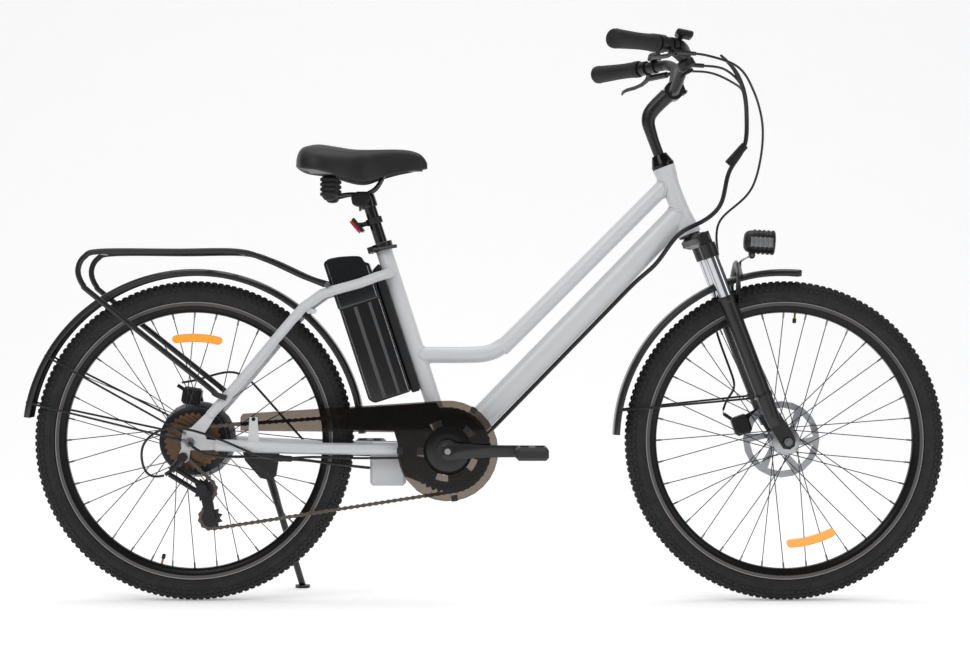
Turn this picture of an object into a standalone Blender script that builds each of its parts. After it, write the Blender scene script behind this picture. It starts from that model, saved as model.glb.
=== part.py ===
"""Electric bicycle with a hub motor in the back wheel and a battery behind the seat tube.

Metres, +Z up, +X forward. The chain side faces -Y. The origin is on the ground, under the middle of the
outline. The bicycle stands on its two tyres and on the foot of its kickstand, on the +Y side.
"""

import math

import bmesh
import bpy
from mathutils import Matrix, Vector

# Wheels and tyres
TYRE_RADIUS = 0.330
TYRE_WIDTH = 0.050
TREAD_FLAT = 0.022
TYRE_DEPTH = 0.0425
RIM_RADIUS = TYRE_RADIUS - TYRE_DEPTH
RIM_WIDTH = 0.027
RIM_DEPTH = 0.0235
WHEEL_FACETS = 32
MOTOR_FACETS = 20
SPOKES = 36
SPOKE_RADIUS = 0.0011
VALVE_LENGTH = 0.020

# Layout of the frame
WHEELBASE = 1.220
REAR_AXLE_X = -0.601
HEAD_TILT = math.radians(20.8)
SEAT_TILT = math.radians(18.0)
FORK_RAKE = 0.032
LEG_OFFSET = 0.019
BRACKET_DROP = 0.018
BRACKET_TO_GUARD = 0.171
SEAT_TUBE_LENGTH = 0.449
STAY_DROP = 0.066

# Frame tubes, as radii and half sizes
HEAD_TUBE_LOW = 0.469
HEAD_TUBE_LENGTH = 0.148
HEAD_TUBE_BORE = 0.0165
HEAD_TUBE_WAIST = 0.0185
HEAD_TUBE_RIM = 0.0250
TOP_TUBE_RADIUS = 0.017
TOP_TUBE_JOINT = 0.205
DOWN_TUBE_RADIUS = 0.026
DOWN_TUBE_SQUASH = 0.78
SEAT_TUBE_RADIUS = 0.017
SHELL_RADIUS = 0.0205
SHELL_HALF = 0.0360
STAY_RADIUS = 0.0105
REAR_SPACING = 0.136
DROPOUT_THICKNESS = 0.007

# Fork
FORK_TRAVEL = 0.050
STEERER_RADIUS = 0.0143
CROWN_HEIGHT = 0.030
STANCHION_RADIUS = 0.014
LEG_RADIUS = 0.0165
LEG_SPACING = 0.128
LEG_TOP = 0.322
STANCHION_OVERLAP = 0.070
FRONT_SPACING = 0.100
AXLE_RADIUS = 0.0048

# Mudguards
GUARD_GAP = 0.022
GUARD_WIDTH = 0.058
GUARD_SIDE = 0.013
GUARD_WALL = 0.0022

# Drivetrain
CHAIN_PITCH = 0.0127
RING_TEETH = 42
COG_TEETH = (14, 16, 18, 20, 22, 24, 28)
PULLEY_TEETH = 11
COG_SPACING = 0.0050
COG_THICKNESS = 0.0018
RING_LINE = 0.047
CRANK_LENGTH = 0.170
CRANK_LINE = 0.077
PEDAL_LENGTH = 0.094
PEDAL_WIDTH = 0.066
PEDAL_THICKNESS = 0.026
COVER_RADIUS = 0.103
SPINDLE_RADIUS = 0.0085

# Hubs and brakes
MOTOR_RADIUS = 0.070
MOTOR_HALF = 0.040
HUB_FLANGE_RADIUS = 0.029
ROTOR_RADIUS = 0.080
ROTOR_THICKNESS = 0.0020
FRONT_ROTOR_LINE = 0.0385
REAR_ROTOR_LINE = 0.0545

# Battery
BATTERY_WIDTH = 0.077
BATTERY_DEPTH = 0.090
BATTERY_BASE = 0.148
COLLAR_ROOM = 0.009
BATTERY_LENGTH = SEAT_TUBE_LENGTH - BATTERY_BASE - COLLAR_ROOM
RAIL_DEPTH = 0.018

# Seat
POST_RADIUS = 0.0127
POST_REACH = 0.092
SADDLE_LENGTH = 0.270
SADDLE_WIDTH = 0.205
SADDLE_HEIGHT = 0.060

# Stem and handlebar
QUILL_RADIUS = 0.0111
STEM_RISE = 0.140
STEM_REACH = 0.0745
BAR_RADIUS = 0.0111
BAR_CLAMP_RADIUS = 0.0127
BAR_RISE = 0.070
BAR_HALF = 0.209
GRIP_LENGTH = 0.130
GRIP_SWEEP = math.radians(45.6)
GRIP_RADIUS = 0.0170

# Rack
RACK_ROD = 0.0058
RACK_HALF = 0.072
RACK_GAP = 0.029
RACK_LENGTH = 0.352

# Fits
SEAT_GAP = 0.0003
QUILL_ROOM = QUILL_RADIUS + 3 * SEAT_GAP
BAR_ROOM = BAR_RADIUS + 2 * SEAT_GAP
RUN_GAP = 0.0010

bpy.ops.object.select_all(action="DESELECT")
for old in list(bpy.data.objects):
    bpy.data.objects.remove(old, do_unlink=True)
bicycle = bpy.data.collections.new("electric_bicycle")
bpy.context.scene.collection.children.link(bicycle)

# Places that the other sizes give: x and z in the plane of the wheels
GUARD_RADIUS = TYRE_RADIUS + GUARD_GAP + GUARD_WALL
REAR_AXLE = Vector((REAR_AXLE_X, 0.0, TYRE_RADIUS))
FRONT_AXLE = Vector((REAR_AXLE_X + WHEELBASE, 0.0, TYRE_RADIUS))
BRACKET = Vector((REAR_AXLE_X + GUARD_RADIUS + BRACKET_TO_GUARD, 0.0, TYRE_RADIUS - BRACKET_DROP))
STEER_UP = Vector((-math.sin(HEAD_TILT), 0.0, math.cos(HEAD_TILT)))
STEER_AHEAD = Vector((math.cos(HEAD_TILT), 0.0, math.sin(HEAD_TILT)))
SEAT_UP = Vector((-math.sin(SEAT_TILT), 0.0, math.cos(SEAT_TILT)))
SEAT_BACK = Vector((-math.cos(SEAT_TILT), 0.0, -math.sin(SEAT_TILT)))
LEFT = Vector((0.0, 1.0, 0.0))
UP = Vector((0.0, 0.0, 1.0))
AHEAD = Vector((1.0, 0.0, 0.0))


def steer(along, ahead=0.0, left=0.0):
    """A point given along the steering axis, measured up from the foot of the axle's perpendicular."""
    foot = FRONT_AXLE - FORK_RAKE * STEER_AHEAD
    return foot + along * STEER_UP + ahead * STEER_AHEAD + left * LEFT


def seat(along, back=0.0, left=0.0):
    """A point given along the seat tube, measured up from the bottom bracket."""
    return BRACKET + along * SEAT_UP + back * SEAT_BACK + left * LEFT


def paint(name, colour, roughness, metallic=0.0, alpha=1.0):
    """A Principled material. The colour is sRGB, as six hex digits."""
    made = bpy.data.materials.new(name)
    made.use_nodes = True
    shader = made.node_tree.nodes["Principled BSDF"]
    channels = [int(colour[i : i + 2], 16) / 255 for i in (0, 2, 4)]
    linear = [c / 12.92 if c <= 0.04045 else ((c + 0.055) / 1.055) ** 2.4 for c in channels]
    shader.inputs["Base Color"].default_value = (*linear, 1.0)
    shader.inputs["Roughness"].default_value = roughness
    shader.inputs["Metallic"].default_value = metallic
    shader.inputs["Alpha"].default_value = alpha
    return made


def put(name, data, finish, turn=None):
    """An object in the bicycle's collection, with its finish and its place."""
    piece = bpy.data.objects.new(name, data)
    bicycle.objects.link(piece)
    data.materials.clear()
    data.materials.append(finish)
    if turn is not None:
        piece.matrix_world = turn
    return piece


def facing(at, axis, across=LEFT):
    """The place whose own Z runs along axis, and whose own X lies as near as it can to across."""
    upright = axis.normalized()
    first = across - across.dot(upright) * upright
    first = first.normalized() if first.length > 1e-6 else upright.orthogonal().normalized()
    second = upright.cross(first)
    return Matrix.Translation(at) @ Matrix((first, second, upright)).transposed().to_4x4()


def smoothed(points, spacing):
    """Points about this far apart on a smooth curve that passes through all of the given points."""
    ends = [2 * points[0] - points[1], *points, 2 * points[-1] - points[-2]]
    curve = []
    for i in range(1, len(ends) - 2):
        before, start, stop, after = ends[i - 1 : i + 3]
        count = max(1, round((stop - start).length / spacing))
        for j in range(count):
            t = j / count
            pull = (stop - before) * t + (2 * before - 5 * start + 4 * stop - after) * t**2
            pull += (3 * start - before - 3 * stop + after) * t**3
            curve.append(start + pull / 2)
    return [*curve, points[-1]]


def mesh_of(piece):
    """The mesh that an object's modifiers or curve settings give, with its loose caps joined on."""
    bpy.context.view_layer.update()
    graph = bpy.context.evaluated_depsgraph_get()
    mesh = bpy.data.meshes.new_from_object(piece.evaluated_get(graph), depsgraph=graph)
    work = bmesh.new()
    work.from_mesh(mesh)
    bmesh.ops.remove_doubles(work, verts=work.verts, dist=1e-6)
    bmesh.ops.recalc_face_normals(work, faces=work.faces)
    if work.calc_volume(signed=True) < 0:
        bmesh.ops.reverse_faces(work, faces=work.faces)
    work.to_mesh(mesh)
    work.free()
    mesh.name = piece.name
    return mesh


def as_mesh(piece):
    """The same piece as a plain mesh in the same place, so that it can be cut and joined."""
    name, place, finish = piece.name, piece.matrix_world.copy(), piece.data.materials[0]
    mesh = mesh_of(piece)
    place = piece.matrix_world.copy()
    bpy.data.objects.remove(piece)
    return put(name, mesh, finish, place)


def rod(name, points, radius, finish, sides=8, flat=1.0):
    """A round bar or tube along the points. Its width across the bicycle is flat times its depth."""
    curve = bpy.data.curves.new(name, "CURVE")
    curve.dimensions = "3D"
    curve.bevel_depth = radius
    curve.bevel_resolution = (sides - 4) // 2
    curve.use_fill_caps = True
    spline = curve.splines.new("POLY")
    spline.points.add(len(points) - 1)
    for node, point in zip(spline.points, points):
        node.co = (*point, 1.0)
    piece = put(name, curve, finish)
    if flat != 1.0:
        piece = as_mesh(piece)
        piece.data.transform(Matrix.Diagonal((1.0, flat, 1.0, 1.0)))
    return piece


def lathe(name, profile, at, axis, finish, steps=24, ring=False, across=LEFT):
    """A turned piece. The profile lists (radius, height) down its outer side; a ring's profile is closed."""
    work = bmesh.new()
    verts = [work.verts.new((radius, 0.0, height)) for radius, height in profile]
    for first, second in zip(verts, verts[1:]):
        work.edges.new((first, second))
    if ring:
        work.edges.new((verts[-1], verts[0]))
    mesh = bpy.data.meshes.new(name)
    work.to_mesh(mesh)
    work.free()
    piece = put(name, mesh, finish, facing(at, axis, across))
    screw = piece.modifiers.new("turn", "SCREW")
    screw.steps = steps
    screw.render_steps = steps
    screw.use_merge_vertices = True
    screw.merge_threshold = 1e-5
    return piece


def cylinder(name, radius, length, at, axis, finish, steps=16, across=LEFT):
    """A plain round bar of this length, centred on its place."""
    work = bmesh.new()
    bmesh.ops.create_cone(work, cap_ends=True, segments=steps, radius1=radius, radius2=radius, depth=length)
    mesh = bpy.data.meshes.new(name)
    work.to_mesh(mesh)
    work.free()
    return put(name, mesh, finish, facing(at, axis, across))


def pipe(name, outer, inner, length, at, axis, finish, steps=20, across=LEFT):
    """A round tube of this length, centred on its place."""
    half = length / 2
    profile = [(outer, half), (outer, -half), (inner, -half), (inner, half)]
    return lathe(name, profile, at, axis, finish, steps, ring=True, across=across)


def plate(name, outline, thickness, place, finish, holes=()):
    """A flat piece cut to an outline of (x, y) points, centred on the plane of its place."""
    curve = bpy.data.curves.new(name, "CURVE")
    curve.dimensions = "2D"
    curve.fill_mode = "BOTH"
    curve.extrude = thickness / 2
    for loop in (outline, *holes):
        spline = curve.splines.new("POLY")
        spline.points.add(len(loop) - 1)
        spline.use_cyclic_u = True
        for node, point in zip(spline.points, loop):
            node.co = (point[0], point[1], 0.0, 1.0)
    return as_mesh(put(name, curve, finish, place))


def side_plate(name, outline, thickness, left, finish, holes=()):
    """A plate in a plane along the bicycle, cut to an outline of (x, z) points."""
    upright = Matrix.Translation(left * LEFT) @ Matrix.Rotation(math.pi / 2, 4, "X")
    return plate(name, outline, thickness, upright, finish, holes)


def block(name, size, at, finish, edge=0.0, lean=0.0, segments=1):
    """A box with rounded edges, leaning back by this angle about the axis across the bicycle."""
    work = bmesh.new()
    bmesh.ops.create_cube(work, size=1.0)
    bmesh.ops.scale(work, vec=size, verts=work.verts)
    mesh = bpy.data.meshes.new(name)
    work.to_mesh(mesh)
    work.free()
    place = Matrix.Translation(at) @ Matrix.Rotation(-lean, 4, "Y")
    piece = put(name, mesh, finish, place)
    if edge:
        bevel = piece.modifiers.new("edge", "BEVEL")
        bevel.width = edge
        bevel.segments = segments
    return piece


def loft(name, rings, finish):
    """A closed body through a row of rings with as many points each."""
    work = bmesh.new()
    rows = [[work.verts.new(point) for point in ring] for ring in rings]
    for row, after in zip(rows, rows[1:]):
        for i in range(len(row)):
            j = (i + 1) % len(row)
            work.faces.new((row[i], row[j], after[j], after[i]))
    work.faces.new(rows[0])
    work.faces.new(rows[-1])
    bmesh.ops.recalc_face_normals(work, faces=work.faces)
    if work.calc_volume(signed=True) < 0:
        bmesh.ops.reverse_faces(work, faces=work.faces)
    mesh = bpy.data.meshes.new(name)
    work.to_mesh(mesh)
    work.free()
    return put(name, mesh, finish)


def oval(centre, first, second, count=10, start=0.0):
    """Points round an oval whose half axes are the vectors first and second."""
    turns = [start + 2 * math.pi * i / count for i in range(count)]
    return [centre + math.cos(turn) * first + math.sin(turn) * second for turn in turns]


def arc(centre_x, centre_y, radius, start, stop, count):
    """(x, y) points on an arc, from one angle in degrees to another."""
    step = (stop - start) / (count - 1)
    turns = [math.radians(start + step * i) for i in range(count)]
    return [(centre_x + radius * math.cos(turn), centre_y + radius * math.sin(turn)) for turn in turns]


def combine(piece, others, operation):
    """Cuts the others from a piece one by one, or joins them to it, and leaves a plain mesh."""
    if piece.type == "CURVE":
        piece = as_mesh(piece)
    for other in others:
        step = piece.modifiers.new(operation.lower(), "BOOLEAN")
        step.operation = operation
        step.object = other
        piece = as_mesh(piece)
        bpy.data.objects.remove(other)
    return piece


def joined(piece, *others):
    return combine(piece, [as_mesh(other) if other.type == "CURVE" else other for other in others], "UNION")


def cut(piece, *others):
    return combine(piece, [as_mesh(other) if other.type == "CURVE" else other for other in others],
                   "DIFFERENCE")


def bundle(name, pieces, finish):
    """Separate solids held in one mesh, to be joined to a body that touches them all."""
    work = bmesh.new()
    for piece in pieces:
        mesh = mesh_of(piece)
        mesh.transform(piece.matrix_world)
        work.from_mesh(mesh)
        bpy.data.objects.remove(piece)
    mesh = bpy.data.meshes.new(name)
    work.to_mesh(mesh)
    work.free()
    return put(name, mesh, finish)


def mirrored(piece, name):
    """A copy of a piece on the other side of the bicycle."""
    mesh = mesh_of(piece)
    mesh.transform(Matrix.Diagonal((1.0, -1.0, 1.0, 1.0)) @ piece.matrix_world)
    mesh.flip_normals()
    return put(name, mesh, piece.data.materials[0])


def pivot(name, at, axis, *pieces):
    """An empty on a joint's axis, which runs along its own Z. The pieces that turn or slide hang on it."""
    empty = bpy.data.objects.new(name, None)
    empty.empty_display_size = 0.03
    bicycle.objects.link(empty)
    empty.matrix_world = facing(at, axis)
    bpy.context.view_layer.update()
    for piece in pieces:
        piece.parent = empty
        piece.matrix_parent_inverse = empty.matrix_world.inverted()
    return empty


# Finishes
white_paint = paint("white_paint", "D2D3D4", 0.35)
black_paint = paint("black_paint", "1E1E20", 0.38)
black_plastic = paint("black_plastic", "26262A", 0.5)
grey_plastic = paint("grey_plastic", "3C3D40", 0.55)
rubber = paint("rubber", "2B2B2C", 0.85)
alloy = paint("alloy", "A9ABAD", 0.32, 1.0)
steel = paint("steel", "8A8C8F", 0.35, 1.0)
chrome = paint("chrome", "D9DADC", 0.12, 1.0)
dark_steel = paint("dark_steel", "57524C", 0.38, 1.0)
smoked_plastic = paint("smoked_plastic", "4A342C", 0.2, alpha=0.75)
foam_cover = paint("foam_cover", "4A4B4E", 0.75)
red_lens = paint("red_lens", "A3131B", 0.25)
battery_shell = paint("battery_shell", "202124", 0.45)


def wheel_turn(centre, left=0.0):
    """Where a wheel's turned parts lie: their height runs to the left, with a flat side facing the ground."""
    half_facet = math.pi / WHEEL_FACETS
    turn = Matrix.Rotation(half_facet, 3, "Y") @ Vector((0.0, 0.0, -1.0))
    return {"at": centre + left * LEFT, "axis": LEFT, "across": turn}


def toothed(count, pitch_radius, root_drop=0.0042, tip_rise=0.0030):
    """The outline of a sprocket, with a root and a tip for every tooth, between the chain's rollers."""
    outline = []
    for i in range(count):
        for step, radius in ((0.0, pitch_radius - root_drop), (0.5, pitch_radius + tip_rise)):
            turn = 2 * math.pi * (i + step) / count
            outline.append((radius * math.cos(turn), radius * math.sin(turn)))
    return outline


def pitch_radius(teeth):
    """The radius at which a chain's rollers lie on a sprocket."""
    return CHAIN_PITCH / (2 * math.sin(math.pi / teeth))


def both_sides(side):
    """A ring's closed profile, from the half of it that lies to the left, listed from its outer edge inwards."""
    return [side[0], *[(radius, -height) for radius, height in side], *side[:0:-1]]


def tyre(name, centre):
    """A tyre with a flat tread, rounded shoulders and beads that sit on the rim."""
    crown = TYRE_RADIUS / math.cos(math.pi / WHEEL_FACETS)
    bead = RIM_RADIUS + SEAT_GAP
    half = TYRE_WIDTH / 2
    side = [(crown, TREAD_FLAT / 2), (crown - 0.42 * (crown - bead), half), (bead, RIM_WIDTH / 2 + 0.001)]
    profile = both_sides(side)
    return lathe(name, profile, finish=rubber, steps=WHEEL_FACETS, ring=True, **wheel_turn(centre))


def rim(name, centre, valve_turn):
    """A box-section rim, with the valve standing in towards the hub."""
    half = RIM_WIDTH / 2
    inner = RIM_RADIUS - RIM_DEPTH
    side = [(RIM_RADIUS, half), (RIM_RADIUS - 0.45 * RIM_DEPTH, half), (inner, 0.5 * half)]
    profile = both_sides(side)
    ring = lathe(name, profile, finish=black_paint, steps=WHEEL_FACETS, ring=True, **wheel_turn(centre))
    out = Vector((math.sin(valve_turn), 0.0, math.cos(valve_turn)))
    middle = centre + (inner + 0.004 - VALVE_LENGTH / 2) * out
    valve = cylinder("valve", 0.0035, VALVE_LENGTH + 0.008, middle, out, steel, 8)
    return joined(as_mesh(ring), as_mesh(valve))


def spokes(centre, flange_radius, flange_left, flange_right, crossings, first_turn=0.0):
    """Crossed spokes from the hub's two flanges to the rim, half of them on each flange."""
    made = []
    per_flange = SPOKES // 2
    facet = 2 * math.pi / WHEEL_FACETS
    flat = (RIM_RADIUS - RIM_DEPTH) * math.cos(facet / 2)
    for flange, line in enumerate((flange_left, flange_right)):
        for i in range(per_flange):
            lean = 1 if i % 2 else -1
            hub_turn = first_turn + 2 * math.pi * (i + flange / 2) / per_flange
            rim_turn = hub_turn + lean * crossings * 2 * math.pi / per_flange
            start = Vector((math.sin(hub_turn), 0.0, math.cos(hub_turn))) * (flange_radius - 0.004)
            past_flat = (rim_turn + facet / 2) % facet - facet / 2
            rim_end = flat / math.cos(past_flat) - 1.5 * SEAT_GAP
            stop = Vector((math.sin(rim_turn), 0.0, math.cos(rim_turn))) * rim_end
            start += centre + (line + 0.0024 * lean) * LEFT
            stop += centre + 0.06 * line * LEFT
            made.append(cylinder("spoke", SPOKE_RADIUS, (stop - start).length, (start + stop) / 2,
                                 stop - start, steel, 3))
    return bundle("spokes", made, steel)


def rotor(name, centre, line, bolt_radius):
    """A brake disc: a pierced ring on six slanted arms."""
    outer = arc(0, 0, ROTOR_RADIUS, 0, 342, 20)
    bore = arc(0, 0, bolt_radius - 0.003, 0, 330, 12)
    windows = []
    band = ROTOR_RADIUS - 0.0135
    for i in range(6):
        out = arc(0, 0, band, 60 * i + 5, 60 * i + 50, 3)
        back = arc(0, 0, bolt_radius + 0.006, 60 * i + 32, 60 * i - 8, 3)
        windows.append(out + back)
    place = Matrix.Translation(centre + line * LEFT) @ Matrix.Rotation(math.pi / 2, 4, "X")
    return plate(name, outer, ROTOR_THICKNESS, place, steel, [bore, *windows])


def reflector(centre, turn, left):
    """A curved reflector that clips on to the spokes halfway out."""
    rings = []
    for i in range(5):
        angle = turn + math.radians(-14 + 7 * i)
        out = Vector((math.sin(angle), 0.0, math.cos(angle)))
        base = centre + 0.212 * out
        rings.append([base + a * out + b * LEFT for a, b in
                      ((-0.008, -0.011 + left), (0.008, -0.011 + left), (0.008, 0.011 + left),
                       (-0.008, 0.011 + left))])
    return loft("reflector", rings, steel)


# Front wheel: spokes cross three times between a slim hub's flanges and the rim
front_tyre = tyre("front_tyre", FRONT_AXLE)
front_rim = rim("front_rim", FRONT_AXLE, math.radians(5))
barrel = 0.0145
flange_line = 0.029
axle_bore = AXLE_RADIUS + SEAT_GAP
end_line = FRONT_SPACING / 2 - SEAT_GAP
disc_seat = FRONT_ROTOR_LINE - ROTOR_THICKNESS / 2 - SEAT_GAP
profile = [(0.0085, end_line), (0.0085, FRONT_ROTOR_LINE + 0.0035), (0.0160, FRONT_ROTOR_LINE + 0.0015)]
profile += [(0.0160, disc_seat), (0.0215, disc_seat), (0.0215, flange_line + 0.003)]
profile += [(HUB_FLANGE_RADIUS, flange_line + 0.002), (HUB_FLANGE_RADIUS, flange_line - 0.002)]
profile += [(barrel, flange_line - 0.008), (barrel, -flange_line + 0.008)]
profile += [(HUB_FLANGE_RADIUS, -flange_line + 0.002), (HUB_FLANGE_RADIUS, -flange_line - 0.002)]
profile += [(0.0120, -flange_line - 0.004), (0.0100, -end_line), (axle_bore, -end_line),
            (axle_bore, end_line)]
front_hub = as_mesh(lathe("front_hub", profile, FRONT_AXLE, LEFT, alloy, 12, ring=True))
front_spokes = spokes(FRONT_AXLE, HUB_FLANGE_RADIUS, flange_line, -flange_line, 3)
front_hub = joined(front_hub, front_spokes, as_mesh(reflector(FRONT_AXLE, math.radians(165), -0.008)))
front_rotor = rotor("front_rotor", FRONT_AXLE, FRONT_ROTOR_LINE, 0.0205)
pivot("front_wheel_axis", FRONT_AXLE, LEFT, front_tyre, front_rim, front_hub, front_rotor)

# Back wheel: the motor is the hub, and its spokes cross once
rear_tyre = tyre("rear_tyre", REAR_AXLE)
rear_rim = rim("rear_rim", REAR_AXLE, math.radians(195))
motor_flange = MOTOR_HALF - 0.006
rear_disc_seat = REAR_ROTOR_LINE - ROTOR_THICKNESS / 2 - SEAT_GAP
profile = [(0.0130, REAR_ROTOR_LINE + 0.004), (0.0160, REAR_ROTOR_LINE + 0.002), (0.0160, rear_disc_seat)]
profile += [(0.0240, rear_disc_seat), (0.0260, MOTOR_HALF + 0.002), (MOTOR_RADIUS - 0.014, MOTOR_HALF)]
profile += [(MOTOR_RADIUS, motor_flange + 0.002), (MOTOR_RADIUS, motor_flange - 0.002)]
profile += [(MOTOR_RADIUS - 0.006, motor_flange - 0.006), (MOTOR_RADIUS - 0.006, 0.018 - motor_flange)]
profile += [(MOTOR_RADIUS, 0.014 - motor_flange), (MOTOR_RADIUS, 0.010 - motor_flange)]
motor_bore = (AXLE_RADIUS + SEAT_GAP) / math.cos(math.pi / MOTOR_FACETS)
profile += [(0.030, -0.0265), (motor_bore, -0.0265), (motor_bore, REAR_ROTOR_LINE + 0.004)]
motor_hub = as_mesh(lathe("motor_hub", profile, REAR_AXLE, LEFT, black_paint, MOTOR_FACETS, ring=True))
rear_spokes = spokes(REAR_AXLE, MOTOR_RADIUS, motor_flange, 0.012 - motor_flange, 1)
motor_hub = joined(motor_hub, rear_spokes, as_mesh(reflector(REAR_AXLE, math.radians(2), -0.008)))
rear_rotor = rotor("rear_rotor", REAR_AXLE, REAR_ROTOR_LINE, 0.0205)
pivot("rear_wheel_axis", REAR_AXLE, LEFT, rear_tyre, rear_rim, motor_hub, rear_rotor)

# Axles with their nuts, which the dropouts hold
hub_span = REAR_SPACING / 2 + DROPOUT_THICKNESS
nut = 0.0085


def axle(name, centre, half_span, stub, left_stub):
    """A solid axle with a washer and a nut outside each dropout."""
    profile = [(0.0, half_span + left_stub), (AXLE_RADIUS, half_span + left_stub),
               (AXLE_RADIUS, half_span + 0.009)]
    profile += [(nut, half_span + 0.009), (nut + 0.0015, half_span + SEAT_GAP),
                (AXLE_RADIUS, half_span + SEAT_GAP)]
    low = [(radius, -height) for radius, height in reversed(profile)]
    low[-1] = (0.0, -half_span - stub)
    low[-2] = (AXLE_RADIUS, -half_span - stub)
    return lathe(name, profile + low, centre, LEFT, steel, 10)


front_axle = axle("front_axle", FRONT_AXLE, FRONT_SPACING / 2 + 0.008, 0.012, 0.012)
rear_axle = axle("rear_axle", REAR_AXLE, hub_span, 0.013, 0.013)

# Front of the frame: head tube, top tube, down tube, seat tube and bottom bracket shell, welded together
head_high = HEAD_TUBE_LOW + HEAD_TUBE_LENGTH
waist_low = HEAD_TUBE_LOW + 0.42 * HEAD_TUBE_LENGTH
waist_high = HEAD_TUBE_LOW + 0.72 * HEAD_TUBE_LENGTH
outside = [(HEAD_TUBE_RIM - 0.0015, head_high), (HEAD_TUBE_RIM - 0.003, head_high - 0.016),
           (HEAD_TUBE_WAIST, waist_high)]
outside += [(HEAD_TUBE_WAIST, waist_low), (HEAD_TUBE_RIM - 0.001, HEAD_TUBE_LOW + 0.018)]
outside += [(HEAD_TUBE_RIM + 0.001, HEAD_TUBE_LOW + 0.006), (HEAD_TUBE_RIM + 0.001, HEAD_TUBE_LOW)]
head_solid = lathe("head", [(0.0, head_high), *outside, (0.0, HEAD_TUBE_LOW)], steer(0.0), STEER_UP,
                   white_paint, 16)
head_bore = cylinder("bore", HEAD_TUBE_BORE, 2 * HEAD_TUBE_LENGTH,
                     steer(HEAD_TUBE_LOW + HEAD_TUBE_LENGTH / 2),
                     STEER_UP, white_paint, 16)

down_high = steer(HEAD_TUBE_LOW + 0.046)
down_low = BRACKET + 0.006 * AHEAD
down_tube = rod("down_tube", [down_high, down_low], DOWN_TUBE_RADIUS, white_paint, 14, DOWN_TUBE_SQUASH)
down_run = (down_low - down_high).normalized()
down_under = down_run.cross(LEFT)
top_high = steer(head_high - 0.031)
top_level = seat(TOP_TUBE_JOINT)
corner_x = top_high.x - (top_high.z - top_level.z)
bend = Vector((corner_x, 0.0, top_level.z))
slope = (top_high - bend).normalized()
turn_in = 0.060
top_points = [top_high, bend + turn_in * slope, bend + 0.45 * turn_in * slope - 0.06 * turn_in * AHEAD]
top_points += [bend - 0.30 * turn_in * AHEAD + 0.10 * turn_in * slope, bend - 0.95 * turn_in * AHEAD,
               top_level]
top_tube = rod("top_tube", top_points, TOP_TUBE_RADIUS, white_paint, 12)
seat_tube = cylinder("seat_tube", SEAT_TUBE_RADIUS, SEAT_TUBE_LENGTH, seat(SEAT_TUBE_LENGTH / 2), SEAT_UP,
                     white_paint)
seat_bore = cylinder("bore", POST_RADIUS + SEAT_GAP, SEAT_TUBE_LENGTH, seat(SEAT_TUBE_LENGTH / 2 + 0.09),
                     SEAT_UP, white_paint)
shell = cylinder("shell", SHELL_RADIUS, 2 * SHELL_HALF, BRACKET, LEFT, white_paint, 16)
shell_bore = cylinder("bore", SPINDLE_RADIUS + 0.0045, 4 * SHELL_HALF, BRACKET, LEFT, white_paint, 16)
frame_front = joined(as_mesh(head_solid), down_tube, top_tube, as_mesh(seat_tube), as_mesh(shell))
frame_front = cut(frame_front, as_mesh(head_bore), as_mesh(seat_bore), as_mesh(shell_bore))
frame_front.name = "frame_front"

# Bearing cups: the lower one under the head tube turns with the fork, and the cap covers the upper one
cap_high = head_high + 0.0275
cap_profile = [(0.0150, cap_high), (0.0160, cap_high - 0.002), (HEAD_TUBE_RIM - 0.0015, head_high + 0.004)]
cap_profile += [(HEAD_TUBE_RIM - 0.0015, head_high + SEAT_GAP),
                (STEERER_RADIUS + RUN_GAP, head_high + SEAT_GAP)]
cap_profile += [(STEERER_RADIUS + RUN_GAP, cap_high - 0.006), (QUILL_RADIUS + RUN_GAP, cap_high - 0.004)]
cap_profile += [(QUILL_RADIUS + RUN_GAP, cap_high)]
headset_cap = lathe("headset_cap", cap_profile, steer(0.0), STEER_UP, black_plastic, 14, ring=True)

# Back of the frame: two stays a side run from the bottom bracket and the seat tube to the dropouts
dropout_line = REAR_SPACING / 2 + DROPOUT_THICKNESS / 2
lower_start = BRACKET + Vector((-SHELL_RADIUS - 0.004 + 0.001, -0.024, 0.0))
lower_points = [lower_start, BRACKET + Vector((-0.085, -0.0333, 0.001))]
lower_points += [Vector((REAR_AXLE.x + 0.215, -0.056, BRACKET.z + 0.005)),
                 REAR_AXLE + Vector((0.090, -dropout_line + 0.003, -0.007))]
lower_points += [REAR_AXLE + Vector((0.052, -dropout_line + 0.001, -0.006))]
lower_stay = rod("chainstay", smoothed(lower_points, 0.08), 1.15 * STAY_RADIUS, white_paint, 8)
joint_height = SEAT_TUBE_LENGTH - STAY_DROP
stay_joint = seat(joint_height)
upper_points = [seat(joint_height, 0.0, -0.013), seat(joint_height, 0.012, -0.036),
                seat(joint_height, 0.030, -0.0505)]
upper_points += [stay_joint + Vector((-0.060, -0.0545, -0.0215)),
                 stay_joint + Vector((-0.138, -0.0565, -0.043))]
upper_points += [stay_joint + Vector((-0.176, -0.0575, -0.070)),
                 REAR_AXLE + Vector((0.105, -0.0650, 0.128))]
upper_points += [REAR_AXLE + Vector((0.040, -dropout_line, 0.054))]
upper_stay = rod("seatstay", smoothed(upper_points, 0.055), STAY_RADIUS, white_paint, 8)
hanger = Vector((REAR_AXLE.x - 0.013, REAR_AXLE.z - 0.030))
dropout_shape = [(hanger.x + 0.011, hanger.y - 0.006), (hanger.x + 0.014, REAR_AXLE.z - 0.016)]
dropout_shape += [(REAR_AXLE.x + 0.030, REAR_AXLE.z - 0.016), (REAR_AXLE.x + 0.066, REAR_AXLE.z - 0.015)]
dropout_shape += [(REAR_AXLE.x + 0.068, REAR_AXLE.z + 0.002), (REAR_AXLE.x + 0.034, REAR_AXLE.z + 0.006)]
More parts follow.
